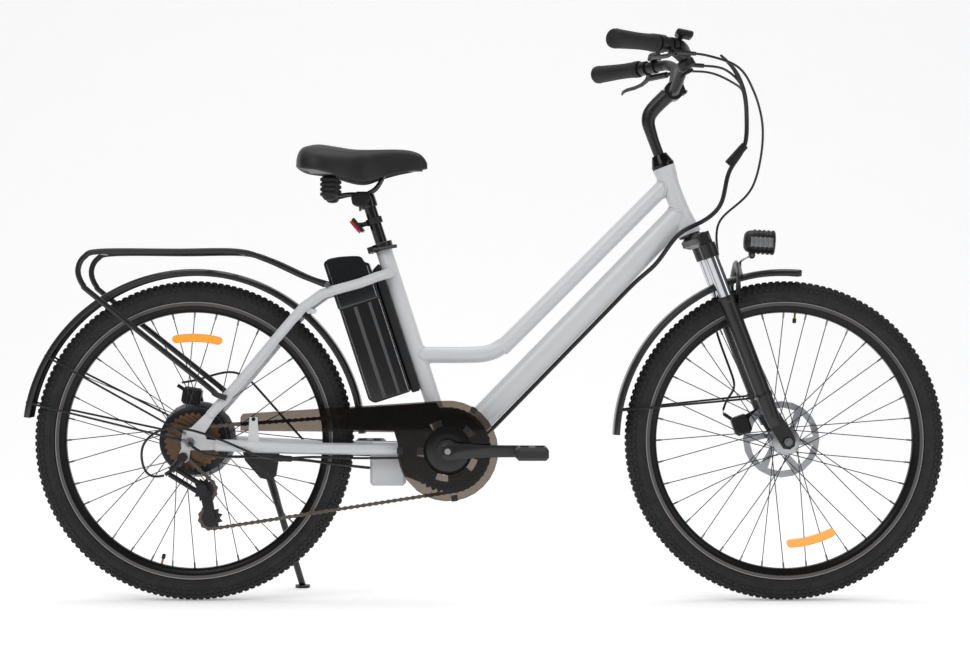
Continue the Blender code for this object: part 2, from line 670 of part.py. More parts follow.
dropout_shape += [(REAR_AXLE.x + 0.030, REAR_AXLE.z + 0.018), (REAR_AXLE.x + 0.054, REAR_AXLE.z + 0.056)]
dropout_shape += [(REAR_AXLE.x + 0.040, REAR_AXLE.z + 0.066), (REAR_AXLE.x + 0.004, REAR_AXLE.z + 0.031)]
dropout_shape += [(REAR_AXLE.x - 0.014, REAR_AXLE.z + 0.024), (REAR_AXLE.x - 0.018, REAR_AXLE.z + 0.004)]
dropout_shape += [(REAR_AXLE.x - 0.017, REAR_AXLE.z - 0.012), (hanger.x - 0.011, hanger.y + 0.002)]
dropout_shape += [(hanger.x - 0.006, hanger.y - 0.010), (hanger.x + 0.005, hanger.y - 0.011)]
axle_hole = arc(REAR_AXLE.x, REAR_AXLE.z, AXLE_RADIUS + 2 * SEAT_GAP, 0, 324, 10)
right_dropout = side_plate("dropout", dropout_shape, DROPOUT_THICKNESS, -dropout_line, white_paint,
                           [axle_hole])
left_dropout = mirrored(right_dropout, "dropout_left")
left_lower = mirrored(lower_stay, "chainstay_left")
left_upper = mirrored(upper_stay, "seatstay_left")
bridge_radius = 0.0065
low_bridge = cylinder("bridge", 0.008, 0.058, BRACKET + Vector((-0.058, 0.0, 0.0)), LEFT, white_paint, 10)
high_turn = math.radians(48)
high_out = Vector((math.cos(high_turn), 0.0, math.sin(high_turn)))
high_at = REAR_AXLE + (GUARD_RADIUS + bridge_radius + SEAT_GAP) * high_out
high_bridge = cylinder("bridge", bridge_radius, 0.116, high_at, LEFT, white_paint, 10)

# The kickstand's plate hangs under the left chainstay, with a pin that the leg turns on
stand_pivot = Vector((REAR_AXLE.x + 0.143, 0.0, REAR_AXLE.z - 0.068))
stand_line = 0.0730
stand_plate = [(stand_pivot.x - 0.056, stand_pivot.z + 0.062),
               (stand_pivot.x + 0.030, stand_pivot.z + 0.062)]
stand_plate += [(stand_pivot.x + 0.019, stand_pivot.z - 0.010),
                (stand_pivot.x + 0.006, stand_pivot.z - 0.019)]
stand_plate += [(stand_pivot.x - 0.014, stand_pivot.z - 0.014),
                (stand_pivot.x - 0.046, stand_pivot.z + 0.022)]
stand_plate = side_plate("stand_plate", stand_plate, 0.006, stand_line - 0.0095, white_paint)
stand_foot = Vector((-0.395, 0.200, 0.0))
stand_at = stand_pivot + (stand_line + 0.0040) * LEFT
stand_down = (stand_foot - stand_at).normalized()
stand_folded = Vector((-0.985, 0.120, 0.120)).normalized()
stand_swing = (stand_down - stand_folded).normalized()
stand_axis = (LEFT - LEFT.dot(stand_swing) * stand_swing).normalized()
pin_profile = [(0.0, 0.0130), (0.0068, 0.0130), (0.0068, 0.0097), (0.0040, 0.0097), (0.0040, -0.0120),
               (0.0, -0.0120)]
stand_pin = lathe("pin", pin_profile, stand_at, stand_axis, steel, 12)

# The chain cover's bracket stands on the right chainstay
cover_tab_line = 0.0672
cover_bolt = Vector((REAR_AXLE.x + 0.129, REAR_AXLE.z + 0.047))
cover_tab = [(cover_bolt.x - 0.012, cover_bolt.y - 0.052), (cover_bolt.x + 0.012, cover_bolt.y - 0.054)]
cover_tab += [(cover_bolt.x + 0.008, cover_bolt.y + 0.004), (cover_bolt.x - 0.008, cover_bolt.y + 0.004)]
cover_tab = side_plate("cover_tab", cover_tab, 0.0024, -cover_tab_line, white_paint)

# A tab on the low bridge carries the controller's box
box_front = -0.0875
tab_start = BRACKET + Vector((-0.060, 0.0, -0.002))
tab_stop = BRACKET + Vector((box_front + SEAT_GAP, 0.0, -0.002))
box_tab = block("box_tab", ((tab_start - tab_stop).length, 0.024, 0.005), (tab_start + tab_stop) / 2,
                white_paint)
frame_rear = joined(right_dropout, lower_stay, upper_stay, as_mesh(low_bridge), as_mesh(high_bridge),
                    left_dropout,
                    left_lower, left_upper, stand_plate, cover_tab, as_mesh(stand_pin), as_mesh(box_tab))
room = [cylinder("room", SEAT_TUBE_RADIUS + SEAT_GAP, 0.3, stay_joint, SEAT_UP, white_paint),
        cylinder("room", SHELL_RADIUS + SEAT_GAP, 0.2, BRACKET, LEFT, white_paint, 16)]
frame_rear = cut(frame_rear, *[as_mesh(piece) for piece in room])
frame_rear.name = "frame_rear"


def mudguard(name, centre, start, stop, count):
    """A pressed mudguard: a shallow channel bent round the wheel. Angles are from straight ahead, upwards."""
    half = GUARD_WIDTH / 2
    top = 0.80 * half
    section = [(-half, -GUARD_SIDE), (-half, -0.45 * GUARD_SIDE), (-top, 0.0), (top, 0.0)]
    section += [(half, -0.45 * GUARD_SIDE), (half, -GUARD_SIDE), (half - GUARD_WALL, -GUARD_SIDE)]
    section += [(half - GUARD_WALL, -0.50 * GUARD_SIDE), (top - 0.4 * GUARD_WALL, -GUARD_WALL)]
    section += [(0.4 * GUARD_WALL - top, -GUARD_WALL), (GUARD_WALL - half, -0.50 * GUARD_SIDE)]
    section += [(GUARD_WALL - half, -GUARD_SIDE)]
    rings = []
    for i in range(count):
        turn = math.radians(start + (stop - start) * i / (count - 1))
        out = Vector((math.cos(turn), 0.0, math.sin(turn)))
        rings.append([centre + (GUARD_RADIUS + rise) * out + left * LEFT for left, rise in section])
    return loft(name, rings, black_paint)


def guard_point(centre, turn, left, rise=0.0):
    """A point on a mudguard, at this angle in degrees up from straight ahead."""
    angle = math.radians(turn)
    return centre + (GUARD_RADIUS + rise) * Vector((math.cos(angle), 0.0, math.sin(angle))) + left * LEFT


# Rear mudguard with two pairs of wire stays, which the dropouts' eyes hold
stay_wire = 0.0022
wire_line = REAR_SPACING / 2 + DROPOUT_THICKNESS + stay_wire + SEAT_GAP
rear_fender = mudguard("rear_fender", REAR_AXLE, 2.5, 172, 20)
wires = []
for turn, foot_x, foot_z in ((167, -0.012, 0.004), (150, -0.010, 0.019)):
    foot = REAR_AXLE + Vector((foot_x, -wire_line, foot_z))
    edge = guard_point(REAR_AXLE, turn, -GUARD_WIDTH / 2, -0.7 * GUARD_SIDE)
    near = foot.lerp(edge, 0.12)
    near.y = -wire_line
    wire = rod("wire", [foot, near, edge.lerp(foot, 0.05), edge + 0.0015 * LEFT], stay_wire, steel, 4)
    wires += [mirrored(wire, "wire"), wire]
rear_fender = joined(rear_fender, *wires)
rear_fender.name = "rear_fender"

# Front mudguard with one pair of stays to the fork's legs
FRONT_GUARD_START = 84.5
FRONT_GUARD_STOP = 178.0
FRONT_GUARD_RINGS = 12
front_guard_step = math.radians(FRONT_GUARD_STOP - FRONT_GUARD_START) / (FRONT_GUARD_RINGS - 1)
front_fender = mudguard("front_fender", FRONT_AXLE, FRONT_GUARD_START, FRONT_GUARD_STOP, FRONT_GUARD_RINGS)
stay_height = 0.079
wires = []
for side in (-1, 1):
    foot = steer(stay_height + 0.028, LEG_OFFSET - 0.6 * LEG_RADIUS, side * (LEG_SPACING / 2))
    foot -= STEER_AHEAD * (LEG_RADIUS * 0.4 + stay_wire + 0.0015)
    edge = guard_point(FRONT_AXLE, 169.5, side * GUARD_WIDTH / 2, -0.7 * GUARD_SIDE)
    wires.append(rod("wire", [foot, edge.lerp(foot, 0.06), edge - 0.0015 * side * LEFT], stay_wire, steel,
                     4))
front_fender = joined(front_fender, *wires)
front_fender.name = "front_fender"

# Rack: two bent rods, a platform between them, and cross rods
deck = REAR_AXLE.z + GUARD_RADIUS + RACK_GAP + RACK_ROD
rack_back = REAR_AXLE.x - 0.228
rack_front = rack_back + RACK_LENGTH
loop_points = [Vector((rack_front + 0.150, -0.057, deck - 0.0665)),
               Vector((rack_front + 0.105, -0.066, deck - 0.050))]
loop_points += [Vector((rack_front + 0.030, -RACK_HALF, deck - 0.016)),
                Vector((rack_front - 0.030, -RACK_HALF, deck))]
loop_points += [Vector((rack_back + 0.20, -RACK_HALF, deck)), Vector((rack_back + 0.048, -RACK_HALF, deck))]
loop_points += [Vector((rack_back + 0.013, -RACK_HALF, deck - 0.011)),
                Vector((rack_back, -RACK_HALF, deck - 0.038))]
loop_points += [Vector((rack_back + 0.010, -RACK_HALF, deck - 0.068)),
                Vector((rack_back + 0.040, -RACK_HALF, deck - 0.096))]
loop_points += [REAR_AXLE + Vector((0.030, -RACK_HALF - 0.0005, 0.119))]
loop_points += [REAR_AXLE + Vector((0.052, -0.0815, 0.0995)), REAR_AXLE + Vector((0.076, -0.0849, 0.0905))]
near_loop = rod("rack", smoothed(loop_points, 0.075), RACK_ROD, black_paint, 6)
far_loop = mirrored(near_loop, "loop")
platform_middle = (rack_back + 0.075 + rack_front - 0.082) / 2
platform_length = rack_front - 0.082 - rack_back - 0.075
tray = [(-platform_length / 2, -RACK_HALF), (platform_length / 2, -RACK_HALF)]
tray += [(platform_length / 2, RACK_HALF), (-platform_length / 2, RACK_HALF)]
slots = []
slot_half = 0.013
for line in (-0.0525, -0.0175, 0.0175, 0.0525):
    half = 0.42 * platform_length
    low, high = line - slot_half, line + slot_half
    slots.append([(-half, low), (half, low), (half, high), (-half, high)])
tray_place = Matrix.Translation((platform_middle, 0.0, deck + RACK_ROD - 0.0015))
tray = plate("tray", tray, 0.0030, tray_place, black_paint, slots)
crosses = []
cross_places = ((rack_front - 0.030, deck, 0.074), (rack_back + 0.034, deck, 0.074),
                (rack_front + 0.147, deck - 0.0655, 0.058))
for cross_x, cross_z, half in cross_places:
    ends = [Vector((cross_x, -half, cross_z)), Vector((cross_x, half, cross_z))]
    crosses.append(rod("cross", ends, 0.0045, black_paint, 6))
rack = joined(near_loop, far_loop, tray, *crosses)
rack.name = "rack"


def upright_plate(name, outline, thickness, finish, left=0.0):
    """A plate beside the seat tube, cut to an outline of (back, along) points."""
    across = Matrix((SEAT_BACK, SEAT_UP, SEAT_BACK.cross(SEAT_UP))).transposed().to_4x4()
    return plate(name, outline, thickness, Matrix.Translation(BRACKET + left * LEFT) @ across, finish)


def softened(piece, width, segments=1, angle=40):
    """Rounds the sharp edges of a piece."""
    bevel = piece.modifiers.new("edges", "BEVEL")
    bevel.width = width
    bevel.segments = segments
    bevel.limit_method = "ANGLE"
    bevel.angle_limit = math.radians(angle)
    return piece


# Battery: an aluminium case with a moulded cap, which slides on a rail behind the seat tube
rail_front = SEAT_TUBE_RADIUS + SEAT_GAP
rail_back = rail_front + RAIL_DEPTH
rail_low = BATTERY_BASE - 0.014
rail_high = BATTERY_BASE + BATTERY_LENGTH - 0.030
rail_shape = [(rail_front, rail_low), (rail_front, rail_high), (rail_back, rail_high - 0.010),
              (rail_back, rail_low)]
battery_rail = upright_plate("battery_rail", rail_shape, 0.036, black_plastic)
softened(battery_rail, 0.003)
case_front = rail_back + SEAT_GAP
case_back = case_front + BATTERY_DEPTH
case_low = BATTERY_BASE
case_split = BATTERY_BASE + 0.66 * BATTERY_LENGTH
case_high = BATTERY_BASE + BATTERY_LENGTH
case_shape = [(case_front, case_low - 0.010), (case_front, case_split + 0.020),
              (case_back - 0.002, case_split + 0.020)]
case_shape += [(case_back - 0.002, case_low + 0.020), (case_back - 0.010, case_low + 0.012)]
case = softened(upright_plate("battery", case_shape, BATTERY_WIDTH - 0.004, battery_shell), 0.005)
cap_shape = [(case_front, case_split), (case_front, case_high - 0.020),
             (case_front + 0.010, case_high - 0.010)]
cap_shape += [(case_front + 0.30 * BATTERY_DEPTH, case_high - 0.001),
              (case_front + 0.62 * BATTERY_DEPTH, case_high + 0.007)]
cap_shape += [(case_back - 0.016, case_high + 0.009), (case_back - 0.004, case_high + 0.003)]
cap_shape += [(case_back, case_high - 0.010), (case_back, case_split)]
cap = softened(upright_plate("cap", cap_shape, BATTERY_WIDTH, battery_shell), 0.007, 2)
grooves = []
for side in (-1, 1):
    for back in (0.34, 0.66):
        groove_shape = [(case_front + (back - 0.05) * BATTERY_DEPTH, case_low - 0.03)]
        groove_shape += [(case_front + (back + 0.05) * BATTERY_DEPTH, case_low - 0.03)]
        groove_shape += [(case_front + (back + 0.05) * BATTERY_DEPTH, case_split - 0.012)]
        groove_shape += [(case_front + (back - 0.05) * BATTERY_DEPTH, case_split - 0.012)]
        grooves.append(upright_plate("groove", groove_shape, 0.004, battery_shell,
                                     side * (BATTERY_WIDTH / 2 - 0.002)))
battery = cut(joined(as_mesh(case), as_mesh(cap)), *grooves)
battery.name = "battery"
pivot("battery_slide", seat(BATTERY_BASE), SEAT_UP, battery)

# Controller: a painted box under the bottom of the seat tube, between the stays
box_centre = BRACKET + Vector((box_front - 0.037, 0.0, -0.031))
controller_box = block("controller_box", (0.074, 0.040, 0.088), box_centre, white_paint, 0.006)

# Seat collar with its quick lever, on top of the seat tube
collar_ring = cylinder("seat_collar", SEAT_TUBE_RADIUS + 0.0045, 0.015, seat(SEAT_TUBE_LENGTH - 0.0080),
                       SEAT_UP, black_paint, 18)
collar_ears = block("ears", (0.014, 0.0276, 0.013),
                    seat(SEAT_TUBE_LENGTH - 0.0080, SEAT_TUBE_RADIUS + 0.0075), black_paint)
collar_ears.matrix_world = Matrix.Translation(collar_ears.location) @ Matrix.Rotation(-SEAT_TILT, 4, "Y")
collar_middle = SEAT_TUBE_LENGTH - 0.0080
ear_half = 0.0138
ear_back = SEAT_TUBE_RADIUS + 0.0075
collar_bolt = cylinder("bolt", 0.0030, 0.032, seat(collar_middle, ear_back, 0.004), LEFT, steel, 8)
collar_nut = cylinder("nut", 0.0075, 0.008, seat(collar_middle, ear_back, ear_half + 0.003), LEFT, steel,
                      12)
collar_room = cylinder("room", SEAT_TUBE_RADIUS + SEAT_GAP, 0.05, seat(collar_middle), SEAT_UP,
                       white_paint, 16)
seat_collar = joined(as_mesh(collar_ring), as_mesh(collar_ears), as_mesh(collar_bolt), as_mesh(collar_nut))
seat_collar = cut(seat_collar, as_mesh(collar_room))
seat_collar.name = "seat_collar"
cam_radius = 0.0070
lever_pivot = seat(collar_middle, ear_back, -ear_half - SEAT_GAP - cam_radius)
lever_cam = cylinder("quick_lever", cam_radius, 0.012, lever_pivot, SEAT_UP, alloy, 12)
lever_arm = rod("arm", [lever_pivot, lever_pivot + Vector((0.014, -0.0028, 0.001)),
                        lever_pivot + Vector((0.024, -0.0066, 0.003)),
                        lever_pivot + Vector((0.054, -0.0050, 0.008))], 0.0038, alloy, 8)
quick_lever = joined(as_mesh(lever_cam), lever_arm)
quick_lever.name = "quick_lever"
pivot("quick_lever_axis", lever_pivot, -SEAT_UP, quick_lever)

# Seatpost, with the reflector's clamp round it
post_top = SEAT_TUBE_LENGTH + POST_REACH
post_length = POST_REACH + 0.125
seatpost = cylinder("seatpost", POST_RADIUS, post_length, seat(post_top - post_length / 2), SEAT_UP,
                    black_paint, 16)
reflector_at = 0.0475
clamp_ring = pipe("rear_reflector", POST_RADIUS + 0.0040, POST_RADIUS + SEAT_GAP, 0.013,
                  seat(SEAT_TUBE_LENGTH + reflector_at), SEAT_UP, black_plastic, 16)
clamp_neck = block("neck", (0.022, 0.012, 0.010),
                   seat(SEAT_TUBE_LENGTH + reflector_at, POST_RADIUS + 0.0125), black_plastic,
                   lean=SEAT_TILT)
lens_at = seat(SEAT_TUBE_LENGTH + reflector_at, POST_RADIUS + 0.0250)
lens = block("lens", (0.012, 0.044, 0.034), lens_at, red_lens, 0.003, math.radians(6))
rear_reflector = joined(as_mesh(clamp_ring), as_mesh(clamp_neck), as_mesh(lens))
rear_reflector.name = "rear_reflector"

# Saddle: two rails in a clamp, two ribbed rubber barrels, a moulded base and a padded cover
saddle_x = seat(post_top).x + 0.1237
saddle_floor = seat(post_top).z + 0.0600
cover_tail = saddle_x - SADDLE_LENGTH
SADDLE_ROWS = (
    (0.000, 0.30, 0.42, 0.060), (0.035, 0.68, 0.60, 0.020), (0.090, 0.92, 0.82, -0.020),
    (0.180, 1.00, 0.93, -0.060),
    (0.300, 0.94, 0.89, -0.210), (0.430, 0.74, 0.76, -0.390), (0.530, 0.50, 0.73, -0.420),
    (0.640, 0.34, 0.75, -0.260),
    (0.760, 0.27, 0.77, -0.110), (0.880, 0.235, 0.76, -0.020), (0.955, 0.19, 0.64, 0.060),
    (1.000, 0.08, 0.34, 0.120),
)


def saddle_row(share):
    """The saddle's half width, top and hem at this share of its length, read between the rows."""
    for i in range(len(SADDLE_ROWS) - 1):
        low, high = SADDLE_ROWS[i], SADDLE_ROWS[i + 1]
        if share <= high[0]:
            t = (share - low[0]) / (high[0] - low[0])
            return [a + (b - a) * t for a, b in zip(low[1:], high[1:])]
    return SADDLE_ROWS[-1][1:]


rings = []
base_rings = []
for i in range(17):
    share = 0.5 - 0.5 * math.cos(math.pi * i / 16)
    width, top, hem = saddle_row(share)
    half = width * SADDLE_WIDTH / 2
    x = cover_tail + share * SADDLE_LENGTH
    floor = saddle_floor + 0.0065
    top_z = saddle_floor + top * SADDLE_HEIGHT
    hem_z = min(saddle_floor + hem * SADDLE_HEIGHT, top_z - 0.006)
    under = max(floor, hem_z + 0.0015)
    rise = top_z - under
    right = [(0.0, top_z - 0.02 * rise), (0.42 * half, top_z), (0.76 * half, top_z - 0.14 * rise)]
    right += [(0.95 * half, top_z - 0.42 * rise), (half, 0.3 * top_z + 0.7 * under), (0.985 * half, hem_z)]
    right += [(0.90 * half, hem_z), (0.86 * half, under - 0.0005 * (under > floor))]
    ring = right + [(-left, z) for left, z in right[:0:-1]]
    rings.append([Vector((x, left, z)) for left, z in ring])
    if 0.04 < share < 0.97:
        low = max(hem_z + 0.0015, floor) - SEAT_GAP
        base_rings.append([Vector((x, 0.80 * half * side, z)) for side, z in
                           ((-1, low), (-0.6, low), (0.6, low), (1, low), (0.9, low - 0.0055),
                            (-0.9, low - 0.0055))])
saddle_cover = loft("saddle_cover", rings, foam_cover)
saddle_base = loft("saddle_base", base_rings, black_plastic)
base_under = saddle_floor + 0.0065 - SEAT_GAP - 0.0055

clamp_at = seat(post_top, 0.012) + 0.006 * UP
saddle_clamp = cylinder("saddle_frame", 0.0145, 0.054, clamp_at, LEFT, steel, 14)
clamp_neck = cylinder("neck", POST_RADIUS + 0.0045, 0.030, seat(post_top + 0.0005), SEAT_UP, steel, 14)
neck_room = cylinder("room", POST_RADIUS + SEAT_GAP, 0.060, seat(post_top - 0.030 + SEAT_GAP), SEAT_UP,
                     steel, 16)
barrel_x = cover_tail + 0.068
barrel_line = 0.050
barrel_low = clamp_at.z + 0.001
barrel_high = base_under - SEAT_GAP
rails = []
barrels = []
rail_z = clamp_at.z + 0.0100
nose_x = cover_tail + 0.680 * SADDLE_LENGTH
for side in (-1, 1):
    line = 0.021 * side
    points = [Vector((nose_x, 0.4 * line, base_under - SEAT_GAP - 0.0036)),
              Vector((nose_x - 0.020, line, rail_z + 0.013))]
    points += [Vector((nose_x - 0.040, line, rail_z + 0.001)), Vector((clamp_at.x, line, rail_z))]
    points += [Vector((clamp_at.x - 0.024, line * 1.15, rail_z)),
               Vector((barrel_x + 0.004, side * barrel_line, barrel_low + 0.004))]
    rails.append(rod("rail", points, 0.0035, steel, 6))
    ribs = []
    for i in range(6):
        height = barrel_high + (barrel_low - barrel_high) * i / 5
        ribs.append((0.0118 if i % 2 else 0.0095, height - clamp_at.z))
    profile = [(0.0, ribs[0][1]), *ribs, (0.0, ribs[-1][1])]
    barrels.append(lathe("barrel", profile, Vector((barrel_x, side * barrel_line, clamp_at.z)), UP, rubber,
                         10))
saddle_frame = joined(as_mesh(saddle_clamp), as_mesh(clamp_neck), *rails,
                      *[as_mesh(piece) for piece in barrels])
saddle_frame = cut(saddle_frame, as_mesh(neck_room))
saddle_frame.name = "saddle_frame"
pivot("seatpost_slide", seat(SEAT_TUBE_LENGTH), SEAT_UP, seatpost, rear_reflector, saddle_frame,
      saddle_base, saddle_cover)

# Stem: a quill in the steerer, swept forward to the bar's clamp
clamp_centre = steer(head_high + STEM_RISE, STEM_REACH)
stem_rows = (
    (cap_high - 0.055, 0.0, 0.0, QUILL_RADIUS, QUILL_RADIUS),
    (cap_high + 0.020, 0.0, 0.0, QUILL_RADIUS, QUILL_RADIUS),
    (cap_high + 0.050, 0.001, 0.04, 0.0122, 0.0118), (cap_high + 0.072, 0.004, 0.22, 0.0140, 0.0125),
    (cap_high + 0.088, 0.016, 0.65, 0.0160, 0.0130), (cap_high + 0.100, 0.038, 0.98, 0.0160, 0.0140),
    (cap_high + 0.110, 0.062, 1.02, 0.0165, 0.0165),
)
rings = []
for height, ahead, lean, depth, width in stem_rows:
    along_depth = math.cos(lean) * STEER_AHEAD - math.sin(lean) * STEER_UP
    rings.append(oval(steer(height, ahead), depth * along_depth, width * LEFT, 10))
stem = joined(loft("stem", rings, black_paint),
              as_mesh(cylinder("clamp", 0.0195, 0.044, clamp_centre, LEFT, black_paint, 14)))
lug = block("lug", (0.012, 0.040, 0.030), clamp_centre + 0.019 * STEER_AHEAD - 0.010 * STEER_UP,
            black_paint, 0.003)
stem = joined(stem, as_mesh(lug))
stem = cut(stem, as_mesh(cylinder("room", BAR_CLAMP_RADIUS + SEAT_GAP, 0.08, clamp_centre, LEFT, steel,
                                  14)))
stem.name = "stem"

# Handlebar: rises from the clamp and sweeps back to the grips
grip_along = {side: Vector((-math.sin(GRIP_SWEEP), side * math.cos(GRIP_SWEEP),
                            -0.02)).normalized() for side in (-1, 1)}
grip_start = {side: clamp_centre + Vector((-0.053, side * BAR_HALF, BAR_RISE + 0.002)) for side in (-1, 1)}
half_bar = [clamp_centre + Vector((0.0, 0.036, 0.0)),
            clamp_centre + Vector((0.010, 0.080, 0.46 * BAR_RISE))]
half_bar += [clamp_centre + Vector((0.014, 0.118, 0.86 * BAR_RISE)), grip_start[1] - 0.075 * grip_along[1]]
half_bar += [grip_start[1] - 0.040 * grip_along[1], grip_start[1] + (GRIP_LENGTH - 0.006) * grip_along[1]]
left_half = smoothed([clamp_centre, *half_bar], 0.042)
right_half = [Vector((point.x, -point.y, point.z)) for point in reversed(left_half[1:])]
handlebar = rod("handlebar", right_half + left_half, BAR_RADIUS, black_paint, 10)
sleeve = cylinder("sleeve", BAR_CLAMP_RADIUS, 0.056, clamp_centre, LEFT, black_paint, 14)
handlebar = joined(as_mesh(handlebar), as_mesh(sleeve))
handlebar.name = "handlebar"


def on_bar(side, along, out=0.0, lift=0.0):
    """A point by the straight end of the bar: along it from the grip, out in the lever's plane, or lifted."""
    return grip_start[side] + along * grip_along[side] + out * lever_out[side] + lift * UP


lever_out = {}
for side in (-1, 1):
    level = Vector((math.cos(GRIP_SWEEP), side * math.sin(GRIP_SWEEP), 0.0))
    lever_out[side] = (0.775 * level - 0.632 * UP).normalized()


def grip(name, side):
    """A moulded grip with a palm rest that widens towards its closed end."""
    rows = ((0.0, 1.0, 1.0), (0.006, 1.06, 1.06), (0.35, 1.0, 1.02), (0.62, 1.06, 1.14),
            (0.84, 1.14, 1.30), (0.95, 1.10, 1.22),
            (1.0, 0.86, 0.92))
    flat = UP.cross(grip_along[side]).normalized()
    upright = grip_along[side].cross(flat).normalized()
    rings = []
    for share, tall, wide in rows:
        middle = grip_start[side] + share * GRIP_LENGTH * grip_along[side]
        rings.append(oval(middle, tall * GRIP_RADIUS * upright, wide * GRIP_RADIUS * flat, 12))
    body = loft(name, rings, rubber)
    hole = cylinder("room", BAR_ROOM, 2 * GRIP_LENGTH - 0.011, grip_start[side], grip_along[side], rubber,
                    12)
    return cut(body, as_mesh(hole))


def bar_ring(name, side, along, length, outer, finish):
    """The outside of a clamp round the bar."""
    return as_mesh(cylinder(name, outer, length, on_bar(side, along), grip_along[side], finish, 12))


def bored(piece, side, along):
    """The piece with a hole through it for the bar."""
    room = cylinder("room", BAR_ROOM, 0.050, on_bar(side, along), grip_along[side], black_paint, 12)
    name = piece.name
    piece = cut(piece, as_mesh(room))
    piece.name = name
    return piece


def brake_perch(name, side, along):
    """A brake lever's clamp and body, with the barrel adjuster that its cable leaves by."""
    ring = bar_ring(name, side, along, 0.014, 0.0155, black_paint)
    start = on_bar(side, along + 0.010, 0.0300)
    stop = on_bar(side, along - 0.046, 0.0265)
    body = rod("body", [start, stop], 0.0070, black_paint, 8)
    arm = rod("arm", [on_bar(side, along, 0.0120), on_bar(side, along, 0.0290)], 0.0065, black_paint, 6)
    barrel = rod("barrel", [stop, on_bar(side, along - 0.066, 0.0255)], 0.0045, black_paint, 6)
    slot = block("slot", (0.029, 0.0250, 0.0065), on_bar(side, along + 0.0125, 0.0330), black_paint)
    lever_pin = on_bar(side, along + 0.008, 0.0300)
    normal = grip_along[side].cross(lever_out[side])
    slot.matrix_world = facing(on_bar(side, along + 0.0125, 0.0330), normal, lever_out[side])
    made = cut(joined(ring, body, arm, barrel), as_mesh(slot))
    pin = as_mesh(cylinder("pin", 0.0022, 0.013, lever_pin, normal, black_paint, 8))
    made = joined(made, pin)
    made = bored(made, side, along)
    made.name = name
    return made


def brake_lever(name, side, along):
    """A brake lever's blade, curved away from the grip, with a rolled end."""
    flat = lever_out[side]
    normal = grip_along[side].cross(flat)
    rows = ((0.008, 0.0300, 0.0055, 0.0028), (0.020, 0.0375, 0.0055, 0.0028),
            (0.036, 0.0455, 0.0048, 0.0045),
            (0.060, 0.0520, 0.0040, 0.0052), (0.086, 0.0555, 0.0036, 0.0052),
            (0.100, 0.0600, 0.0036, 0.0050),
            (0.106, 0.0650, 0.0030, 0.0045))
    rings = []
    for reach, out, depth, width in rows:
        centre = on_bar(side, along + reach, out)
        rings.append(oval(centre, depth * (0.9 * flat - 0.35 * grip_along[side]), width * normal, 8))
    blade = loft(name, rings, black_paint)
    eye = cylinder("eye", 0.0065, 0.0056, on_bar(side, along + 0.008, 0.0300), normal, black_paint, 12)
    hole = cylinder("room", 0.0022 + SEAT_GAP, 0.05, on_bar(side, along + 0.008, 0.0300), normal,
                    black_paint, 8)
    return cut(joined(blade, as_mesh(eye)), as_mesh(hole))


grip_right = grip("grip_right", -1)
grip_left = grip("grip_left", 1)
grip_right.name = "grip_right"
grip_left.name = "grip_left"
perch_along = {-1: -0.030, 1: -0.012}
brake_perch_right = brake_perch("brake_perch_right", -1, perch_along[-1])
brake_perch_left = brake_perch("brake_perch_left", 1, perch_along[1])
brake_lever_right = brake_lever("brake_lever_right", -1, perch_along[-1])
brake_lever_left = brake_lever("brake_lever_left", 1, perch_along[1])

# Throttle: a collar beside the right grip that turns with the thumb
throttle_at = -0.0115
throttle = bar_ring("throttle", -1, throttle_at, 0.017, 0.0185, black_plastic)
paddle_out = (-UP - 0.30 * UP.cross(grip_along[-1])).normalized()
paddle_root = on_bar(-1, throttle_at) + 0.0160 * paddle_out
paddle = rod("paddle",
             [paddle_root, on_bar(-1, throttle_at) + 0.0300 * paddle_out - 0.004 * grip_along[-1]], 0.0050,
             black_plastic, 8)
throttle = bored(joined(throttle, paddle), -1, throttle_at)
throttle.name = "throttle"

# Shifter: a clamp, a rounded case under the bar and a thumb lever on a pin below it
shifter_at = -0.0490
shifter_centre = on_bar(-1, shifter_at - 0.012) + Vector((0.022, 0.020, -0.036))
case_axis = (0.85 * UP - 0.5 * AHEAD).normalized()
shifter = bar_ring("shifter", -1, shifter_at, 0.012, 0.0155, black_plastic)
shifter_case = lathe("case",
                     [(0.0, 0.0115), (0.0150, 0.0110), (0.0185, 0.0060), (0.0185, -0.0060),
                      (0.0140, -0.0105), (0.0, -0.0105)],
                     shifter_centre, case_axis, black_plastic, 14)
shifter_neck = rod("neck", [on_bar(-1, shifter_at + 0.002) + 0.012 * paddle_out, shifter_centre], 0.0055,
                   black_plastic, 6)
shift_exit = shifter_centre + Vector((0.036, 0.010, -0.001))
shifter_spout = rod("spout", [shifter_centre, shift_exit], 0.0045, black_plastic, 8)
lever_foot = shifter_centre - 0.0150 * case_axis
shift_pin = cylinder("pin", 0.0030, 0.008, shifter_centre - 0.0135 * case_axis, case_axis, steel, 8)
shifter = joined(shifter, as_mesh(shifter_case), shifter_neck, shifter_spout, as_mesh(shift_pin))
shifter = bored(shifter, -1, shifter_at)
shifter.name = "shifter"
thumb_run = (-0.80 * AHEAD - 0.55 * LEFT - 0.30 * UP)
thumb_run = (thumb_run - thumb_run.dot(case_axis) * case_axis).normalized()
shift_lever = rod("shift_lever",
                  [lever_foot, lever_foot + 0.016 * thumb_run,
                   lever_foot + 0.034 * thumb_run - 0.004 * case_axis],
                  0.0036, black_plastic, 8)
shift_eye = cylinder("eye", 0.0075, 0.0064, lever_foot, case_axis, black_plastic, 10)
shift_lever = joined(as_mesh(shift_eye), shift_lever)
shift_lever = cut(shift_lever,
                  as_mesh(cylinder("room", 0.0030 + SEAT_GAP, 0.02, lever_foot, case_axis, rubber, 8)))
shift_lever.name = "shift_lever"

